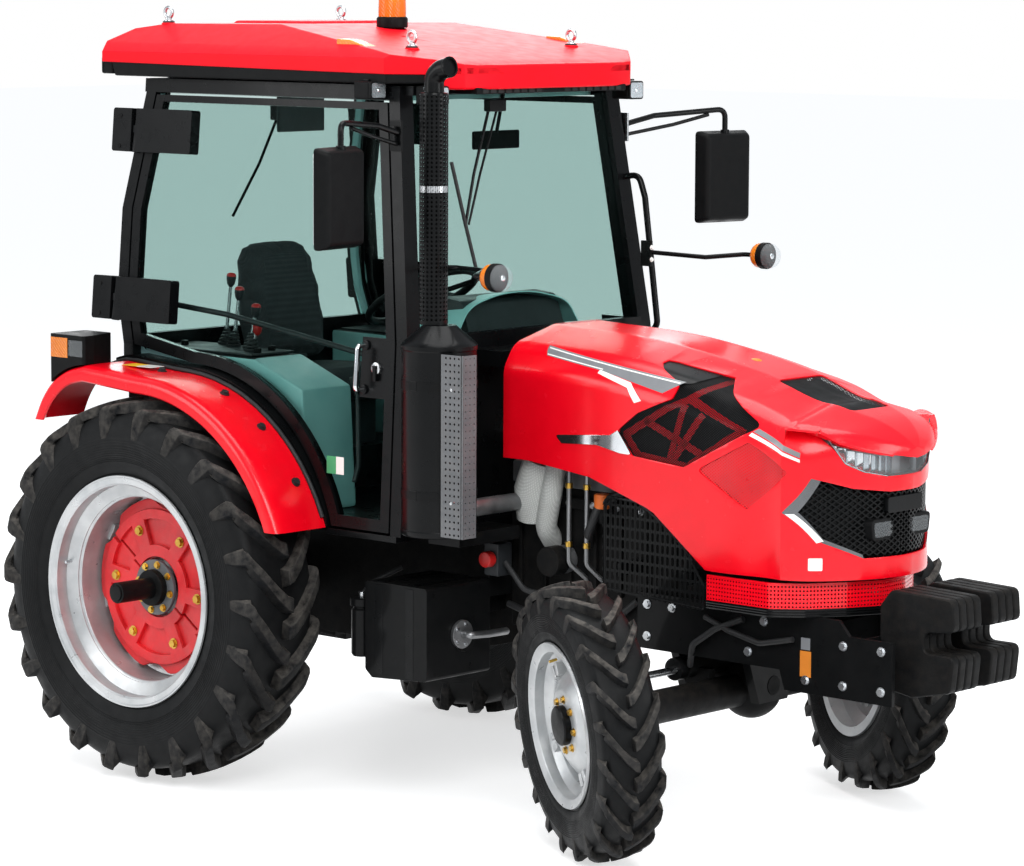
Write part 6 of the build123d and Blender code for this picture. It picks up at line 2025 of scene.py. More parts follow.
            piece.slab(Axis.X, glass, -0.0265, -0.025, CHROME, 0.0005)
            piece.place = Matrix.Identity(4)
        piece.done("mirrors", angle=40)

    def rails(self) -> None:
        """The grab rail at the left door, the signal lamps' arms and their brackets."""
        piece = Piece("grab_rails_dressed")
        rail = [(on_line(FRONT_POST, 1.965) - 0.004, 0.522, 1.965), (0.96, 0.529, 1.975), (0.985, 0.532, 1.9),
            (1.044, 0.532, 1.48), (1.0, 0.532, 1.43), (0.945, 0.536, 1.425)]
        piece.tube(rail, 0.0105, SATIN, 0.035, 18)
        piece.box((0.986, 0.51, 1.672), (1.029, 0.523, 1.758), CHASSIS, 0.003)
        bolts(piece, [((1.0295, 0.516, 1.735), (1, 0, 0)), ((1.0295, 0.516, 1.695), (1, 0, 0))], 0.006,
            FILM_WHITE_AND_HIGHLIGHT)
        piece.tube([(1.008, 0.516, 1.72), (1.2, 0.59, 1.708), (1.31, 0.655, 1.72), (1.355, 0.655, 1.72)],
            0.0078, SATIN, 0.04, 14)
        piece.tube([(0.925, -0.505, 1.72), (1.04, -0.44, 1.72), (1.18, -0.47, 1.72), (1.31, -0.655, 1.72),
            (1.355, -0.655, 1.72)], 0.0078, SATIN, 0.05, 14)
        piece.done("grab_rails")

    def signals(self) -> None:
        """Turn signals on their arms, marker wedges on the roof, and the rear fender lamps."""
        piece = Piece("signal_lamps_dressed")
        for side in SIDES:
            x, y, z = 1.4, side * 0.655, 1.72
            piece.rod((x - 0.012, y, z), (x + 0.012, y, z), 0.0438, PLASTIC, 0.003, 36)
            for way, finish in ((AHEAD, LENS), ((-1, 0, 0), AMBER)):
                piece.spin([(0.012, 0.041), (0.028, 0.04), (0.038, 0.034), (0.0435, 0.02), (0.0438, 0)],
                    (x, y, z), way, finish, 36)
            piece.rod((x - 0.03, y, z), (x + 0.03, y, z), 0.01, CHROME, 0.003, 16)
            piece.box((0.615, side * 0.47, 2.384), (0.735, side * 0.53, 2.396), PLASTIC, 0.005)
            wedge = [(0.592, 2.394), (0.732, 2.394), (0.732, 2.402), (0.65, 2.426), (0.592, 2.428)]
            piece.slab(Axis.Y, wedge, side * 0.473, side * 0.527, AMBER, 0.006, 3)
        cut = -0.335
        piece.copy("signal_lamps", PLASTIC, 0.003, lambda c: c.z < 1.5)
        for side in SIDES:
            back = soften([(side * 0.712, 1.368), (side * 0.846, 1.368), (side * 0.846, 1.436),
                (side * 0.712, 1.436)], 0.008)
            piece.slab(Axis.X, back, -0.4252, -0.4225, AMBER, 0.0008)
            piece.box((-0.418, side * 0.853, 1.368), (cut, side * 0.8556, 1.434), AMBER, 0.001)
            piece.box((cut + 0.006, side * 0.853, 1.375), (-0.262, side * 0.8556, 1.428), LENS, 0.001)
        piece.done("signal_lamps")

    def wipers(self) -> None:
        """Front and rear wipers, the mirror and visor inside, and the teal headlining."""
        piece = Piece("wipers_and_cab_trim")

        def on_glass(y: float, z: float) -> Point:
            """A place on the windscreen."""
            return (on_line(FRONT_POST, z) - 0.014, y, z)

        piece.tube([on_glass(-0.1, 2.21), on_glass(-0.2, 2.0), on_glass(-0.26, 1.84)], 0.005, SATIN, 0.0, 8)
        piece.tube([on_glass(-0.06, 2.21), on_glass(-0.17, 2.0), on_glass(-0.245, 1.84)], 0.004, SATIN, 0.0,
            8)
        piece.tube([on_glass(-0.3, 2.04), on_glass(-0.26, 1.84), on_glass(-0.22, 1.66)], 0.006, SEAL, 0.0, 8)
        x, y, z = on_glass(-0.08, 2.215)
        piece.box((x - 0.006, y - 0.04, z - 0.02), (x + 0.022, y + 0.04, z + 0.02), SATIN, 0.005)
        rear = [(on_line(REAR_POST, h) + 0.012, w, h) for w, h in ((0.1, 2.16), (0.04, 1.98), (-0.06, 1.8))]
        piece.tube(rear, 0.005, SATIN, 0.0, 8)
        piece.box((-0.315, 0.06, 2.13), (-0.27, 0.15, 2.19), SATIN, 0.006)
        piece.box((0.79, -0.11, 2.07), (0.805, 0.11, 2.13), PLASTIC, 0.008, 3)
        piece.rod((0.8, 0, 2.12), (0.83, 0, 2.25), 0.006, SATIN)
        piece.box((-0.1, -0.12, 2.1), (-0.085, 0.1, 2.235), COWL, 0.008, 3)
        head = [(-0.28, -0.47), (0.82, -0.47), (0.82, 0.47), (-0.28, 0.47)]
        piece.slab(Axis.Z, soften(head, 0.05), 2.236, 2.254, TEAL, 0.004)
        piece.done()


# ---- inside the cab -------------------------------------------------------------------------------
@dataclass
class Interior:
    """Seat, consoles, dash, levers and steering wheel."""

    def build(self) -> None:
        """Makes what shows through the glass."""
        self.seat()
        self.consoles()
        self.dash()
        self.wheel()

    def pad(self, name: str, node: str, rows: Sequence[Sequence[Point]], cap: float) -> bpy.types.Object:
        """A padded piece: a closed form, swelled by cloth and pressed back to its cap.

        Args:
            name: The piece's name.
            node: The CAD node that it stands for.
            rows: Rings of points from one end to the other.
            cap: The furthest that a point may move.

        Returns:
            The padded object.
        """
        shape = loft([Vector(p) + Vector((AXLE_X, 0, 0)) for p in row] for row in rows)
        mesh = bpy.data.meshes.new(name)
        shape.to_mesh(mesh)
        shape.free()
        made = placed(name, mesh)
        bpy.context.view_layer.objects.active = made
        remesh = made.modifiers.new("voxels", "REMESH")
        remesh.mode, remesh.voxel_size = "VOXEL", VOXEL
        made.data = self.baked(made)
        before = [v.co.copy() for v in made.data.vertices]
        self.swell(made)
        for v, old in zip(made.data.vertices, before):
            move = v.co - old
            if move.length > cap:
                v.co = old + move.normalized() * cap
        made.data.materials.clear()
        made.data.materials.append(CLOTH.material())
        made.data.polygons.foreach_set("use_smooth", [True] * len(made.data.polygons))
        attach(made, "chassis")
        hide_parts(node)
        return made

    def swell(self, made: bpy.types.Object) -> None:
        """Swells a closed form by cloth under pressure, without gravity.

        Args:
            made: The object of the form, whose mesh is replaced.
        """
        settings = made.modifiers.new("cloth", "CLOTH").settings
        settings.quality = 5
        settings.mass = 0.3
        settings.use_pressure = True
        settings.uniform_pressure_force = 4.0
        settings.effector_weights.gravity = 0.0
        settings.tension_stiffness = settings.compression_stiffness = 15.0
        scene = bpy.context.scene
        for number in range(1, LAST_CLOTH_FRAME + 1):
            scene.frame_set(number)
        made.data = self.baked(made)
        scene.frame_set(1)

    @staticmethod
    def baked(made: bpy.types.Object) -> bpy.types.Mesh:
        """The object's mesh with its modifiers applied, after which they are gone.

        Args:
            made: The object.

        Returns:
            The plain mesh.
        """
        bpy.context.view_layer.update()
        mesh = bpy.data.meshes.new_from_object(made.evaluated_get(bpy.context.evaluated_depsgraph_get()))
        made.modifiers.clear()
        return mesh

    def seat(self) -> None:
        """Cushion and backrest, with piping along their seams and a hard shell behind."""
        rows = []
        for z, grow in ((1.212, -0.03), (1.222, -0.012), (1.25, 0.0), (1.276, -0.006), (1.292, -0.026)):
            x0, x1, y = -0.205 - grow, 0.215 + grow, 0.215 + grow
            rows.append([(a, b, z + 0.01 * (1 if a > 0.1 else 0)) for a,
                b in soften([(x0, -y), (x1, -y), (x1, y), (x0, y)], 0.07, 5)])
        self.pad("seat_cushion_padded", "seat_cushion", rows, 0.012)
        rows = []
        for z, wide, deep in ((1.322, 0.15, 0.034), (1.345, 0.172, 0.046), (1.45, 0.182, 0.05),
                (1.56, 0.178, 0.048), (1.66, 0.16, 0.042), (1.702, 0.135, 0.034), (1.718, 0.1, 0.022)):
            x = -0.172 - 0.072 * (z - 1.31) / 0.42
            ring = soften([(x - deep, -wide), (x + deep, -wide * 0.93), (x + deep, wide * 0.93),
                (x - deep, wide)], 0.03, 5)
            rows.append([(a, b, z) for a, b in ring])
        self.pad("seat_backrest_padded", "seat_backrest", rows, 0.01)
        trim = Piece("seat_trim")
        for y in (-0.105, 0.105):
            path = [(-0.172 - 0.072 * (z - 1.31) / 0.42 + 0.052, y + (0.04 if y < 0 else -0.04) * t, z) for z,
                t in ((1.66, 0.0), (1.52, 0.2), (1.4, 0.7), (1.36, 1.0))]
            trim.tube(curve(path, 6), 0.0035, PIPING, 0.0, 8)
            trim.tube(curve([(0.205, y, 1.28), (0.05, y, 1.296), (-0.12, y, 1.293)], 5), 0.0035, PIPING, 0.0,
                8)
        trim.box((-0.2, -0.205, 1.2), (0.205, 0.205, 1.216), PLASTIC, 0.006)
        trim.box((-0.215, -0.06, 1.3105), (-0.13, 0.06, 1.335), COWL, 0.006)
        for k in range(6):
            z = 1.05 + 0.022 * k
            trim.box((-0.2 + 0.006 * (k % 2), -0.155, z), (0.1 - 0.006 * (k % 2), 0.155, z + 0.018), SEAL,
                0.006)
        trim.done()

    def consoles(self) -> None:
        """Teal side consoles with dark lids, levers with gaiters, and knobs."""

        def dress(c: Vector, n: Vector) -> Finish:
            """Dark on the lids and teal elsewhere."""
            return COWL if n.z > 0.9 and c.z > 1.36 else TEAL

        box = Piece("side_consoles_worked").copy("side_consoles", dress, 0.014)
        for side in SIDES:
            box.box((-0.255, side * 0.345, 1.3885), (0.215, side * 0.54, 1.3965), COWL, 0.003)
        box.done("side_consoles")
        levers = Piece("control_levers_dressed")
        table = ((-0.11, -0.35, 0.23, True), (-0.04, -0.38, 0.19, True), (0.06, -0.4, 0.14, True),
            (0.13, -0.46, 0.09, False))
        for x, y, h, tall in table:
            levers.rod((x, y, 1.392), (x + 0.03, y, 1.39 + h), 0.0058, ZINC, 0.001, 16)
            for k in range(5):
                r = 0.026 - 0.0035 * k
                levers.rod((x + 0.002 * k, y, 1.396 + 0.011 * k), (x + 0.002 * k, y, 1.405 + 0.011 * k), r,
                    SEAL, 0.003, 20)
            levers.spin([(-0.03, 0.006), (-0.02, 0.013), (0.0, 0.0165), (0.01, 0.0155), (0.015, 0.01),
                (0.0165, 0)], (x + 0.03, y, 1.39 + h), (0.1, 0, 1), COWL if tall else RED_PLASTIC, 20)
            if tall:
                levers.spin([(0.006, 0.0164), (0.012, 0.015), (0.0166, 0.009), (0.0176, 0)],
                    (x + 0.03, y, 1.39 + h), (0.1, 0, 1), RED_PLASTIC, 20)
        for x, y in ((0.165, -0.4), (0.19, -0.49), (-0.18, -0.47), (0.1, 0.42), (-0.02, 0.45)):
            levers.rod((x, y, 1.394), (x, y, 1.412), 0.013, PLASTIC, 0.004, 18)
        levers.done("control_levers")

    def dash(self) -> None:
        """Dash with its teal arch, dark instrument cowl and blank dials."""

        def dress(c: Vector, _: Vector) -> Finish:
            """Dark on the cowl and teal elsewhere."""
            return COWL if c.z > 1.46 or c.x < 0.7 else TEAL

        dash = Piece("dash_console_worked").copy("dash_console", dress, 0.012)
        arch = [(0.905, -0.29, 1.5), (0.902, -0.245, 1.56), (0.895, -0.13, 1.6), (0.895, 0.0, 1.612),
            (0.895, 0.13, 1.6), (0.902, 0.245, 1.56), (0.905, 0.29, 1.5)]
        line = curve(arch, 6)
        dash.band([[(p.x - d, p.y, p.z - lift) for d, lift in ((0.0, 0.0), (0.1, 0.012), (0.2, 0.035))]
            for p in line], TEAL, 0.004)
        for y, r in ((-0.09, 0.04), (0.09, 0.04), (0.0, 0.026)):
            place = (0.7, y, 1.545)
            dash.spin([(0, 0), (0, r), (0.006, r), (0.006, r - 0.005), (0.002, r - 0.006), (0.002, 0)], place,
                (-0.8, 0, 0.6), PLASTIC, 28)
        dash.done("dash_console", angle=34)

    def wheel(self) -> None:
        """Steering wheel: thick moulded rim, three spokes and a domed centre."""
        piece = Piece("steering_wheel_dressed", "steering_wheel")
        axis = Vector((-0.5, 0.0, 0.87)).normalized()
        turn = Matrix((Vector((0, 1, 0)), axis.cross(Vector((0, 1, 0))), axis)).transposed().to_4x4()
        piece.place = Matrix.Translation((0.47, 0, 1.57)) @ turn
        rim = [(*polar(0.19, a), 0) for a in angles(72)]
        piece.tube(rim, 0.0128, PLASTIC, 0.0, 16, closed=True)
        for angle in (90, 210, 330):
            a = math.radians(angle)
            piece.tube([(*polar(0.028, a), 0.004), (*polar(0.1, a), -0.003), (*polar(0.188, a), 0)], 0.0088,
                PLASTIC, 0.03, 12)
        piece.spin([(-0.017, 0), (-0.017, 0.034), (-0.01, 0.0375), (0.006, 0.0375), (0.014, 0.03),
            (0.0178, 0.015), (0.018, 0)], (0, 0, 0), UP, COWL, 32)
        piece.rod((0, 0, -0.15), (0, 0, -0.01), 0.0108, ZINC, 0.001)
        piece.done("steering_wheel")


# ---- hood and nose --------------------------------------------------------------------------------
def both_sides(half: Sequence[Flat], split: int) -> list[Flat]:
    """An outline across the nose from one half, which crosses the middle after split corners."""
    other = [(-y, z) for y, z in reversed(half)]
    return [*half[:split], *other[len(half) - split:], *other[:len(half) - split], *half[split:]]


def inside(outline: Sequence[Flat], a: float, b: float) -> bool:
    """Whether a point lies inside an outline.

    Args:
        outline: The outline.
        a: The point's first value.
        b: The point's second value.

    Returns:
        True inside it.
    """
    hit = False
    for (xa, ya), (xb, yb) in zip(outline, [*outline[1:], outline[0]]):
        if (ya > b) != (yb > b) and a < (xb - xa) * (b - ya) / (yb - ya) + xa:
            hit = not hit
    return hit


def score(shape: Sheet, near: set, outline: Sequence[Flat], pick: tuple[int, int]) -> set:
    """Cuts some of a sheet's faces along the edges of an outline.

    Args:
        shape: The sheet.
        near: The faces it may cut.
        outline: The outline's corners.
        pick: Which two coordinates the corners give.

    Returns:
        The faces that stand for those it was given.
    """
    for p, q in zip(outline, [*outline[1:], outline[0]]):
        a, b = Vector(p), Vector(q)
        if (b - a).length < 1e-6:
            continue
        way = (b - a).normalized()
        chosen = set()
        for f in near:
            middle = f.calc_center_median()
            flat = Vector((middle[pick[0]], middle[pick[1]])) - a
            along = min(max(flat.dot(way), 0.0), (b - a).length)
            if (flat - way * along).length < SCORE_REACH:
                chosen.add(f)
        spot, normal = [0.0] * 3, [0.0] * 3
        spot[pick[0]], spot[pick[1]] = a
        normal[pick[0]], normal[pick[1]] = -way.y, way.x
        geometry = list(chosen) + list({e for f in chosen for e in f.edges})
        geometry += list({v for f in chosen for v in f.verts})
        cut = bmesh.ops.bisect_plane(shape, geom=geometry, dist=CUT_REACH, plane_co=spot, plane_no=normal)
        near = (near - chosen) | {g for g in cut["geom"] if isinstance(g, bmesh.types.BMFace)}
    return near


def window(shape: Sheet, outline: Sequence[Flat], axis: Axis, where: Test, keep: bool = False) -> None:
    """Cuts an outline out of a sheet, or keeps only what lies inside it.

    Args:
        shape: The sheet.
        outline: The outline's corners.
        axis: The axis it is seen along.
        where: Which faces it may cut, by their middles.
        keep: Whether the inside stays and the rest goes.
    """
    pick = {Axis.X: (1, 2), Axis.Y: (0, 2), Axis.Z: (0, 1)}[axis]
    low = [min(p[k] for p in outline) - WINDOW_MARGIN for k in (0, 1)]
    high = [max(p[k] for p in outline) + WINDOW_MARGIN for k in (0, 1)]
    near = set()
    for f in shape.faces:
        c = f.calc_center_median()
        if all(low[k] < c[pick[k]] < high[k] for k in (0, 1)) and where(c):
            near.add(f)
    if keep:
        bmesh.ops.delete(shape, geom=[f for f in shape.faces if f not in near], context="FACES")
        near = set(shape.faces)
    for f in score(shape, near, outline, pick):
        c = f.calc_center_median()
        f.tag = inside(outline, c[pick[0]], c[pick[1]]) != keep
    bmesh.ops.delete(shape, geom=[f for f in shape.faces if f.tag], context="FACES")


@dataclass
class Hood:
    """The tilting hood: a smooth skin with its brow, windows, lamps, grille, printed film and a crease drawn
    in painted highlight and painted shade.
    """

    sections: tuple = ((1.15, 0.345, 1.53), (1.65, 0.345, 1.5), (2.06, 0.342, 1.418), (2.25, 0.332, 1.36),
        (2.31, 0.302, 1.342), (2.4, 0.2, 1.314), (2.45, 0.1, 1.286), (2.466, 0.03, 1.268))
    brow: tuple = ((2.262, 0.336, 1.359), (2.34, 0.3, 1.34), (2.4, 0.24, 1.322), (2.45, 0.168, 1.296),
        (2.485, 0.1, 1.268), (2.502, 0.04, 1.245))
    brow_edge: tuple = ((1.21, 0.0), (1.217, 0.052), (1.244, 0.17), (1.268, 0.24), (1.301, 0.285),
        (1.312, 0.36))
    lower: tuple = ((1.1, 1.122), (1.25, 1.122), (1.51, 1.092), (1.76, 1.012), (1.87, 0.93), (1.975, 0.85),
        (2.7, 0.85))
    mesh_window: tuple = ((1.67, 1.472), (1.955, 1.424), (2.16, 1.3), (1.885, 1.156), (1.68, 1.173),
        (1.619, 1.246), (1.699, 1.306), (1.83, 1.36), (1.836, 1.405))
    lamp_half: tuple = ((0.264, 1.291), (0.21, 1.198), (0.159, 1.172), (0.084, 1.156), (0.032, 1.214),
        (0.109, 1.221), (0.18, 1.237), (0.224, 1.254))
    grille_half: tuple = ((0.07, 1.11), (0.189, 1.125), (0.288, 1.157), (0.331, 1.052), (0.263, 0.964),
        (0.155, 0.914))
    rim_half: tuple = ((0.331, 1.052), (0.288, 1.157), (0.268, 1.15), (0.31, 1.056), (0.262, 0.976),
        (0.16, 0.926), (0.155, 0.914), (0.263, 0.964))
    accent: tuple = ((0.327, 1.049), (0.315, 1.05), (0.26, 0.97), (0.276, 0.964))
    diamond: tuple = ((2.127, 1.252), (2.273, 1.173), (2.123, 1.049), (1.936, 1.153))
    vent: tuple = ((2.06, -0.115), (2.33, -0.095), (2.33, 0.095), (2.06, 0.115))
    tip: tuple = ((1.672, 1.4715), (1.7, 1.459), (1.836, 1.405), (1.875, 1.409), (1.915, 1.4305))
    behind: tuple = ((1.59, 1.12), (1.91, 1.12), (2.19, 1.29), (2.19, 1.33), (1.98, 1.445), (1.64, 1.48),
        (1.64, 1.3), (1.59, 1.26))
    wall: float = 0.008
    plan: list = field(default_factory=list)

    def crown(self) -> list[Flat]:
        """The section's rounded top, as shares of the half width: across, and down from the top.

        Returns:
            Pairs of shares, from one side to the other.
        """
        corners = [(1.0, 0.9), (1.0, 0.36), (0.855, 0.14), (0.3, 0.0), (-0.3, 0.0), (-0.855, 0.14),
            (-1.0, 0.36), (-1.0, 0.9)]
        made = soften(corners, 0.26, 7, closed=False)[1:-1]
        middle = [i for i in range(len(made) - 1) if made[i][0] > 0 > made[i + 1][0]][0]
        a, b = made[middle], made[middle + 1]
        extra = [(a[0] + (b[0] - a[0]) * k / 12, a[1] + (b[1] - a[1]) * k / 12) for k in range(1, 12)]
        return [*made[:middle + 1], *extra, *made[middle + 1:]]

    def low_z(self, x: float) -> float:
        """The skin's lower edge at X."""
        return on_line([(z, x0) for x0, z in self.lower], x)

    def rows(self, stations: Sequence[Vector], edge: Callable[[float, float], float]) -> list[list[Point]]:
        """Rows of points round each station, from its left foot to its right foot.

        Args:
            stations: X, half width and top of each.
            edge: The lower limit at X and Y.

        Returns:
            The rows.
        """
        made = []
        crown = self.crown()
        for x, w, top in stations:
            start = top - crown[0][1] * w
            foot = min(edge(x, w), start)
            side = [(x, w, foot + (start - foot) * k / 30) for k in range(30)]
            arch = [(x, across * w, top - down * w) for across, down in crown]
            row = side + arch + [(x, -y, z) for x, y, z in reversed(side)]
            made.append([(x, y, max(z, edge(x, abs(y)))) for x, y, z in row])
        return made

    def skin(self) -> Sheet:
        """The hood's whole outer sheet, before anything is cut out of it.

        Returns:
            The sheet.
        """
        upper = curve([*self.sections[:4], *self.brow], 14)
        upper = [p for p in upper if p.x < 2.2501 or p.x > 2.2615] + [Vector((2.5035, 0.0, 1.244))]
        nose = curve([*self.sections[3:]], 14) + [Vector((2.4672, 0.0, 1.266))]

        def under_brow(x: float, y: float) -> float:
            """The lower limit of the upper skin."""
            return self.low_z(x) if x < 2.256 else on_line([(z, y0) for z, y0 in self.brow_edge][::-1], y)

        shape = bmesh.new()
        for stations, edge in ((upper, under_brow), (nose, lambda x, y: 0.85)):
            grid = [[shape.verts.new(p) for p in row] for row in self.rows(stations, edge)]
            for one, two in zip(grid, grid[1:]):
                for k in range(len(one) - 1):
                    fan = one[k].co.x < 2.256 < two[k].co.x and edge is under_brow
                    if not (fan and max(one[k].co.z, one[k + 1].co.z) < 1.262):
                        shape.faces.new((one[k], one[k + 1], two[k + 1], two[k]))
        bmesh.ops.delete(shape, geom=[v for v in shape.verts if not v.link_faces], context="VERTS")
        bmesh.ops.remove_doubles(shape, verts=shape.verts, dist=1e-5)
        bmesh.ops.dissolve_degenerate(shape, edges=shape.edges, dist=SAME_POINT)
        for f in shape.faces:
            c = f.calc_center_median()
            if f.normal.dot(c - Vector((1.6, 0, 1.05))) < 0:
                f.normal_flip()
        return shape

    def patch(self, piece: Piece, skin: Sheet, outline: Sequence[Flat], axis: Axis, where: Test, lift: float,
            finish: Finish) -> None:
        """Adds a copy of the skin inside an outline, lifted off it.

        Args:
            piece: The piece that gets it.
            skin: The whole skin.
            outline: The patch's outline.
            axis: The axis it is seen along.
            where: Which of the skin it may take.
            lift: Distance along the skin's normal.
            finish: Its finish.
        """
        part = skin.copy()
        window(part, outline, axis, where, keep=True)
        part.normal_update()
        for v in part.verts:
            v.co += v.normal * lift
        piece.take(part, finish)

    def build(self) -> None:
        """Makes the skin and everything on it."""
        self.plan = [(p.x, p.y) for p in curve([*self.sections[3:]], 14)]
        skin = self.skin()
        mesh_outline = soften(self.mesh_window, 0.016, 3)
        lamp_outline = soften(both_sides(self.lamp_half, 4), 0.01, 2)
        grille_outline = soften(both_sides(self.grille_half, 6), 0.01, 2)

        def flank(side: int) -> Test:
            """The test of what is on one flank."""
            return lambda c: c.y * side > 0.05 and c.x < 2.4

        def front(c: Vector) -> bool:
            """Whether a place is on the front."""
            return c.x > 2.2505 and c.z < 1.315

        def nose_only(c: Vector) -> bool:
            """Whether a place is on the nose, under the brow."""
            return front(c) and c.x < 2.4675 and not self.on_brow(c)

        shell = skin.copy()
        for side in SIDES:
            window(shell, mesh_outline, Axis.Y, flank(side))
            window(shell, soften(self.diamond, 0.012, 3), Axis.Y, flank(side))
        window(shell, lamp_outline, Axis.X, nose_only)
        window(shell, grille_outline, Axis.X, nose_only)
        window(shell, soften(self.vent, 0.02, 3), Axis.Z, lambda c: c.z > 1.27)
        body = Piece("hood_shell_dressed", "hood")
        body.take(shell, RED)
        made = body.done("hood_shell", slot="red_paint", outward=False, angle=40, weighted=False)
        solid = made.modifiers.new("wall", "SOLIDIFY")
        solid.thickness, solid.offset = self.wall, -1.0
        round_off = made.modifiers.new("edges", "BEVEL")
        round_off.width, round_off.segments, round_off.limit_method = 0.0016, 2, "ANGLE"
        round_off.angle_limit = math.radians(50)
        self.inserts(skin, mesh_outline, lamp_outline, grille_outline, flank, nose_only)
        self.film(skin, flank)
        skin.free()

    def on_brow(self, c: Vector) -> bool:
        """Whether a place on the skin is on the brow and not on the nose under it."""
        plan = on_line(self.plan, abs(c.y)) if abs(c.y) < 0.332 else 2.25
        return c.x > plan + 0.006

    def inserts(self, skin: Sheet, mesh_outline: list, lamp_outline: list, grille_outline: list,
            flank: Callable, nose_only: Callable) -> None:
        """Mesh panels with the brace behind them, the grille and the vent.

        Args:
            skin: The whole skin.
            mesh_outline: The side windows' outline.
            lamp_outline: The lamps' outline.
            grille_outline: The grille's outline.
            flank: Which of the skin is on one side.
            nose_only: Which of the skin is on the nose.
        """
        panels = Piece("hood_mesh_panels", "hood")
        diamond = soften(self.diamond, 0.012, 3)
        brace = (((1.64, 1.235), (1.88, 1.372)), ((1.88, 1.372), (2.095, 1.285)),
            ((2.095, 1.285), (1.885, 1.155)), ((1.885, 1.155), (1.69, 1.175)), ((1.69, 1.175), (1.64, 1.235)),
            ((1.722, 1.282), (1.945, 1.195)), ((1.87, 1.345), (1.815, 1.174)), ((1.94, 1.32), (1.835, 1.18)),
            ((1.88, 1.372), (1.96, 1.44)))
        for side in SIDES:
            where = flank(side)
            self.patch(panels, skin, mesh_outline, Axis.Y, where, -0.006, MESH)
            self.patch(panels, skin, self.tip, Axis.Y, where, -0.004, SATIN)
            # the black sheet behind the mesh window is painted shade for the inside of the hood
            self.patch(panels, skin, self.behind, Axis.Y, where, -0.042, PAINTED_SHADE_BLACK)
            self.patch(panels, skin, diamond, Axis.Y, where, -0.004, RED_MESH)
            self.patch(panels, skin, diamond, Axis.Y, where, -0.016, RED)
            for a, b in brace:
                way = (Vector(b) - Vector(a)).normalized()
                n, e = Vector((-way.y, way.x)) * 0.012, way * 0.008
                bar = [(a[0] - e.x + n.x, a[1] - e.y + n.y), (b[0] + e.x + n.x, b[1] + e.y + n.y),
                    (b[0] + e.x - n.x, b[1] + e.y - n.y), (a[0] - e.x - n.x, a[1] - e.y - n.y)]
                self.patch(panels, skin, bar, Axis.Y, where, -0.02, RED)
        vent = soften(self.vent, 0.02, 3)
        self.patch(panels, skin, vent, Axis.Z, lambda c: c.z > 1.27, -0.004, MESH)
        # the black sheet under the vent is painted shade
        self.patch(panels, skin, vent, Axis.Z, lambda c: c.z > 1.27, -0.016, PAINTED_SHADE_BLACK)
        self.grille(panels, skin, grille_outline, nose_only)
        panels.done("hood_grilles", outward=False)
        self.lamps(skin, lamp_outline, nose_only)

    def at_nose(self, y: float, z: float, out: float = 0.0) -> Point:
        """A place on the nose, or a little off it."""
        return (on_line(self.plan, min(abs(y), 0.3315)) + out, y, z)

    def grille(self, panels: Piece, skin: Sheet, outline: list, nose_only: Callable) -> None:
        """The coarse mesh with its rim and accent, the bare bar and the lamp pod.

        Args:
            panels: The piece that gets them.
            skin: The whole skin.
            outline: The grille's outline.
            nose_only: Which of the skin is on the nose.
        """
        across, up = 0.027, 0.0185
        mesh = Copies.sheet(crossing(across, up, 0.004, 0.007), 32, 14, (across, up), SATIN)
        marks, run = [(0.0, 0.0)], 0.0
        for k in range(66):
            a, b = (Vector(self.at_nose(0.005 * j, 0.0)) for j in (k, k + 1))
            run += (b - a).length
            marks.append((run, 0.005 * (k + 1)))
        grown = [(y * 1.03, 1.035 + (z - 1.035) * 1.1) for y, z in outline]

        def wrap(p: Vector) -> Vector:
            """Bends the flat mesh round the nose, and tucks away what is outside the opening.

            Args:
                p: A point of the flat mesh.

            Returns:
                The point on the nose.
            """
            s = p.x - 15.5 * across
            y = math.copysign(on_line([(w, d) for d, w in marks], abs(s)), s)
            z = p.z + 0.912
            if abs(s) > run or not inside(grown, y, z):
                return Vector((2.2, y * 0.9, min(max(z, 0.93), 1.14)))
            return Vector(self.at_nose(y, z, -0.01 - p.y))

        take_mesh(panels, mesh, SATIN, wrap)
        # the black sheet behind the grille is painted shade
        self.patch(panels, skin, outline, Axis.X, nose_only, -0.055, PAINTED_SHADE_BLACK)
        for side in SIDES:
            for shape, lift, finish in ((self.rim_half, 0.0005, DARK_CHROME),
                    (self.accent, 0.0012, FILM_WHITE_AND_HIGHLIGHT)):
                self.patch(panels, skin, [(y * side, z) for y, z in shape], Axis.X, nose_only, lift, finish)
        self.patch(panels, skin, soften([(-0.292, 0.881), (-0.262, 0.881), (-0.262, 0.919), (-0.292, 0.919)],
            0.003, 2), Axis.X, nose_only, 0.0006, FILM_WHITE_AND_HIGHLIGHT)
        panels.slab(Axis.X, soften([(-0.085, 1.046), (0.085, 1.046), (0.085, 1.094), (-0.085, 1.094)], 0.008,
            3), 2.446, 2.462, SATIN, 0.002)
        pod = soften([(-0.14, 0.965), (0.14, 0.965), (0.15, 1.03), (-0.15, 1.03)], 0.016, 3)
        panels.slab(Axis.X, pod, 2.415, 2.448, PLASTIC, 0.004)
        for side in SIDES:
            panels.slab(Axis.X, soften([(side * 0.045, 0.975), (side * 0.13, 0.975), (side * 0.136, 1.02),
                (side * 0.045, 1.02)], 0.01, 3), 2.446, 2.4505, LENS, 0.002)

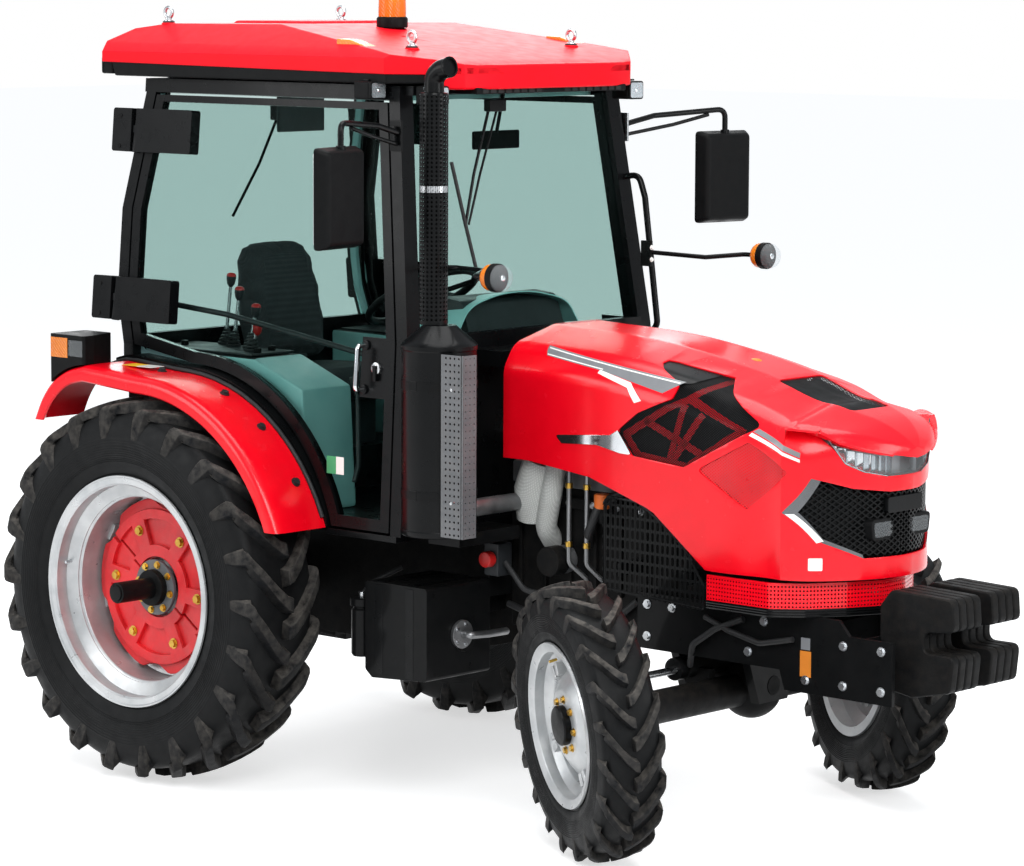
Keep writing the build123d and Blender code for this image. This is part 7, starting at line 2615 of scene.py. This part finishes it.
    def lamps(self, skin: Sheet, outline: list, nose_only: Callable) -> None:
        """Clear lenses over a row of bright upright fins, with a bright lower lip.

        Args:
            skin: The whole skin.
            outline: The lamps' outline.
            nose_only: Which of the skin is on the nose.
        """
        lamps = Piece("headlamps_dressed", "hood")
        self.patch(lamps, skin, outline, Axis.X, nose_only, -0.002, LENS)
        self.patch(lamps, skin, outline, Axis.X, nose_only, -0.045, STEEL)
        low, high = self.lamp_half[:4], self.lamp_half[4:]
        for side in SIDES:
            for k in range(8):
                y = 0.062 + 0.0235 * k
                bottom = on_line([(z, w) for w, z in reversed(low)], y)
                top = on_line([(z, w) for w, z in high], y)
                x = self.at_nose(y, 0.0)[0]
                rows = [[(x - 0.006 - 0.034 * t, side * (y + 0.016 * t * t + d), z)
                    for t in (0, 0.25, 0.5, 0.75, 1)] for z in (bottom + 0.002, top - 0.002)
                    for d in ((-0.001, 0.002) if z < top - 0.002 else (0.002, -0.001))]
                lamps.band([[*row] for row in zip(*[*rows, rows[0]])], CHROME)
            lip = [self.at_nose(side * y, z + 0.002, 0.001) for y, z in low]
            lamps.tube(lip, 0.0022, DARK_CHROME, 0.02, 8)
        lamps.done("headlamps", outward=False)

    def film(self, skin: Sheet, flank: Callable) -> None:
        """Printed bands on the flanks, a crease drawn on them as a white painted highlight and a grey painted
        shade, the metal trim, and the small lamp on top.

        Args:
            skin: The hood's outer sheet.
            flank: Gives the test of whether a point is on the flank of a side.
        """
        piece = Piece("hood_film_trim_and_painted_crease", "hood")
        grey = ((1.28, 1.481), (1.854, 1.409), (1.789, 1.373), (1.6, 1.411), (1.536, 1.423), (1.301, 1.453))
        white = ((1.53, 1.425), (1.663, 1.396), (1.716, 1.345), (1.688, 1.336), (1.655, 1.38), (1.526, 1.415))
        lines = (((1.3, 1.4585), (1.54, 1.4285), (1.54, 1.4255), (1.3, 1.4555)),
            ((1.29, 1.476), (1.84, 1.406), (1.835, 1.403), (1.292, 1.473)))
        spear = ((1.368, 1.213), (1.593, 1.23), (1.625, 1.248), (1.681, 1.176), (1.634, 1.177), (1.54, 1.195),
            (1.396, 1.188))
        # the crease from the mesh window's corner down to the lamp is painted: a white stroke of painted
        # highlight below a grey stroke of painted shade
        crease_highlight = ((2.133, 1.281), (2.3, 1.213), (2.3, 1.204), (2.125, 1.272))
        crease_shade = ((2.15, 1.293), (2.3, 1.232), (2.3, 1.217), (2.135, 1.284))
        for side in SIDES:
            for outline, finish, lift in ((grey, FILM_GREY_AND_SHADE, 0.0005), (white, FILM_WHITE_AND_HIGHLIGHT, 0.0008),
                    (lines[0], FILM_WHITE_AND_HIGHLIGHT, 0.0008), (lines[1], FILM_WHITE_AND_HIGHLIGHT, 0.0008),
                    (crease_highlight, FILM_WHITE_AND_HIGHLIGHT, 0.0006), (crease_shade, FILM_GREY_AND_SHADE, 0.0005)):
                self.patch(piece, skin, outline, Axis.Y, flank(side), lift, finish)
            y = side * 0.3455
            piece.slab(Axis.Y, soften(spear, 0.006, 2), y - side * 0.002, y + side * 0.003, CHROME, 0.0014)
        piece.ball((1.882, 0.0, 1.4465), 0.028, AMBER, 0.6)
        piece.done(outward=False)


@dataclass
class Nose:
    """The fixed band under the hood, and the screens beside the engine."""

    half: tuple = ((1.975, 0.338), (2.215, 0.338), (2.3, 0.27), (2.372, 0.165), (2.422, 0.06))

    def build(self) -> None:
        """Makes the band and the screens."""
        self.band()
        self.screens()

    def band(self) -> None:
        """A perforated band round the nose with a ribbed trim along its foot."""
        piece = Piece("nose_band_dressed")
        corners = list(self.half) + [(x, -y) for x, y in reversed(self.half)]
        path = [Vector(p) for p in soften(corners, 0.04, 5, closed=False)]
        marks = [0.0]
        for a, b in zip(path, path[1:]):
            marks.append(marks[-1] + (b - a).length)
        total = marks[-1]
        columns, rows = 120, 6
        pitch = (total / columns, 0.0121)

        def follow(p: Vector) -> Vector:
            """Leads the flat sheet along the band's path.

            Args:
                p: A point of the flat sheet.

            Returns:
                The point on the band.
            """
            s = min(max(p.x + pitch[0] / 2, 0.0), total - 1e-6)
            i = max(k for k in range(len(path) - 1) if marks[k] <= s)
            way = (path[i + 1] - path[i]).normalized()
            flat = path[i] + way * (s - marks[i]) - Vector((-way.y, way.x)) * p.y
            return Vector((flat.x, flat.y, 0.7605 + p.z + pitch[1] / 2))

        perforated(piece, columns, rows, pitch, 0.003, RED, follow)
        for low, high, finish in ((0.8325, 0.8378, RED), (0.7355, 0.76, SATIN)):
            rows_of = []
            for p, q in zip(path, [*path[1:], path[-1] * 2 - path[-2]]):
                way = (q - p).normalized()
                n = Vector((-way.y, way.x))
                rows_of.append([(p.x, p.y, low), (p.x, p.y, high),
                    (p.x + n.x * -0.01, p.y + n.y * -0.01, high),
                    (p.x + n.x * -0.01, p.y + n.y * -0.01, low)])
            rows_of = [[*row, row[0]] for row in rows_of]
            piece.band(rows_of, finish)
        for z in (0.7375, 0.745, 0.7525):
            piece.tube([(p.x, p.y, z) for p in path], 0.0024, SATIN, 0.01, 6)
        for x, y in ((2.0, 0.328), (2.27, 0.268)):
            piece.box((x, -y, 0.7355), (x + 0.03, y, 0.76), CHASSIS, 0.003)
        piece.done("nose_band")

    def screens(self) -> None:
        """Slotted black screens beside the engine, with a rolled border."""
        piece = Piece("engine_screens_dressed")
        outline = [(1.545, 0.745), (1.545, 1.01), (1.565, 1.04), (1.69, 1.035), (1.78, 0.985), (1.89, 0.9),
            (1.955, 0.79), (1.955, 0.72)]
        cuts, pitch = outline_cuts(Axis.Y, outline), (0.02, 0.034)
        for side in SIDES:
            mesh = Copies.sheet(cell(*pitch, 0.006, 0.016), 22, 10, pitch, CHASSIS)
            shape = bmesh.new()
            shape.from_mesh(mesh)
            bpy.data.meshes.remove(mesh)
            bmesh.ops.translate(shape, vec=(1.548, 0.3215 if side > 0 else -0.323, 0.722), verts=shape.verts)
            for spot, way in cuts:
                bmesh.ops.bisect_plane(shape, geom=shape.verts[:] + shape.edges[:] + shape.faces[:],
                    dist=CUT_REACH, plane_co=spot, plane_no=way, clear_outer=True)
            piece.take(shape, CHASSIS)
            border = [(x + (0.006 if x < 1.6 else -0.006), side * 0.3195, z + (0.006 if z < 0.8 else -0.006))
                for x, z in outline]
            piece.tube(border, 0.0045, CHASSIS, 0.012, 8, closed=True)
            for x in (1.585, 1.855):
                piece.box((x, side * 0.2053, 0.79), (x + 0.03, side * 0.319, 0.83), CHASSIS, 0.002)
        piece.done("engine_screens")


# ---- view -----------------------------------------------------------------------------------------
@dataclass
class Studio:
    """Camera, soft lamps, pale floor and white surroundings."""

    spot: Point = (8.1905, -9.1392, 2.62709)
    azimuth: float = 42.128
    elevation: float = 6.852
    roll: float = 0.258
    lens: float = 133.61
    lamps: tuple = (("key", (5.5, -5.0, 6.0), 5.0, 520.0), ("fill", (-4.5, -7.0, 4.0), 5.0, 260.0),
        ("front", (8.5, 1.5, 3.5), 4.0, 260.0), ("top", (0.0, 0.0, 7.5), 6.0, 380.0),
        ("back", (-6.0, 5.5, 5.0), 5.0, 220.0))

    def build(self) -> None:
        """Makes them all."""
        self.camera()
        for name, spot, size, power in self.lamps:
            data = bpy.data.lights.new(name, "AREA")
            data.energy, data.shape, data.size = power, "DISK", size
            lamp = placed(name, data)
            lamp.location = spot
            lamp.rotation_mode = "QUATERNION"
            lamp.rotation_quaternion = (Vector(spot) - Vector((0.2, 0.0, 1.0))).to_track_quat("Z", "Y")
        self.floor()
        self.world()
        bpy.context.scene.view_settings.view_transform = "Standard"

    def camera(self) -> None:
        """The camera, turned by its azimuth, elevation and roll."""
        data = bpy.data.cameras.new("view")
        data.lens, data.sensor_width = self.lens, 36.0
        data.clip_start, data.clip_end = 0.1, 200.0
        camera = placed("view", data)
        a, e, r = (math.radians(v) for v in (self.azimuth, self.elevation, self.roll))
        back = Vector((math.sin(a) * math.cos(e), -math.cos(a) * math.cos(e), math.sin(e)))
        right = Vector((math.cos(a), math.sin(a), 0.0))
        up = back.cross(right)
        turned_right = right * math.cos(r) + up * math.sin(r)
        turned_up = back.cross(turned_right)
        turn = Matrix((turned_right, turned_up, back)).transposed()
        camera.matrix_world = Matrix.Translation(self.spot) @ turn.to_4x4()
        bpy.context.scene.camera = camera

    def floor(self) -> None:
        """A wide pale floor that the camera sees as white, with the shadow kept."""
        mesh = bpy.data.meshes.new("floor")
        mesh.from_pydata([(-60, -60, 0), (60, -60, 0), (60, 60, 0), (-60, 60, 0)], [], [(0, 1, 2, 3)])
        floor = placed("floor", mesh)
        made = bpy.data.materials.new("pale_floor")
        made.use_nodes = True
        tree = made.node_tree
        tree.nodes.clear()
        ray = put(tree, "ShaderNodeLightPath")
        seen = put(tree, "ShaderNodeMath", {0: ray.outputs["Is Camera Ray"], 1: ray.outputs["Is Glossy Ray"]},
            operation="MAXIMUM").outputs[0]
        seen = put(tree, "ShaderNodeMath", {0: seen, 1: ray.outputs["Is Transmission Ray"]},
            operation="MAXIMUM").outputs[0]
        plain = put(tree, "ShaderNodeBsdfDiffuse", {"Color": (0.62, 0.62, 0.62, 1.0)})
        lift = put(tree, "ShaderNodeEmission", {"Color": (1, 1, 1, 1), "Strength": 0.62})
        both = put(tree, "ShaderNodeAddShader", {0: plain.outputs[0], 1: lift.outputs[0]})
        mixed = put(tree, "ShaderNodeMixShader", {0: seen, 1: plain.outputs[0], 2: both.outputs[0]})
        put(tree, "ShaderNodeOutputMaterial", {"Surface": mixed.outputs[0]})
        mesh.materials.append(made)

    def world(self) -> None:
        """A soft grey surround that is white to the camera."""
        world = bpy.data.worlds.new("surround")
        world.use_nodes = True
        tree = world.node_tree
        tree.nodes.clear()
        ray = put(tree, "ShaderNodeLightPath")
        seen = put(tree, "ShaderNodeMath", {0: ray.outputs["Is Camera Ray"],
            1: ray.outputs["Is Transmission Ray"]}, operation="MAXIMUM").outputs[0]
        soft = put(tree, "ShaderNodeBackground", {"Color": (0.9, 0.95, 1.0, 1.0), "Strength": 0.62})
        white = put(tree, "ShaderNodeBackground", {"Color": (1.0, 1.0, 1.0, 1.0), "Strength": 1.0})
        mixed = put(tree, "ShaderNodeMixShader", {0: seen, 1: soft.outputs[0], 2: white.outputs[0]})
        put(tree, "ShaderNodeOutputWorld", {"Surface": mixed.outputs[0]})
        bpy.context.scene.world = world


def main() -> None:
    """Builds the tractor, one sub-assembly after another, and reports each piece."""
    logging.basicConfig(level=logging.INFO, format="%(message)s", stream=sys.stdout)
    for side in SIDES:
        RearWheel(side).build()
        FrontWheel(side).build()
    for part in (Driveline(), Tank(), Exhaust(), Roof(), Cab(), Interior(), Hood(), Nose(), Studio()):
        part.build()
        LOG.info("built %s", type(part).__name__)


if __name__ == "__main__":
    main()
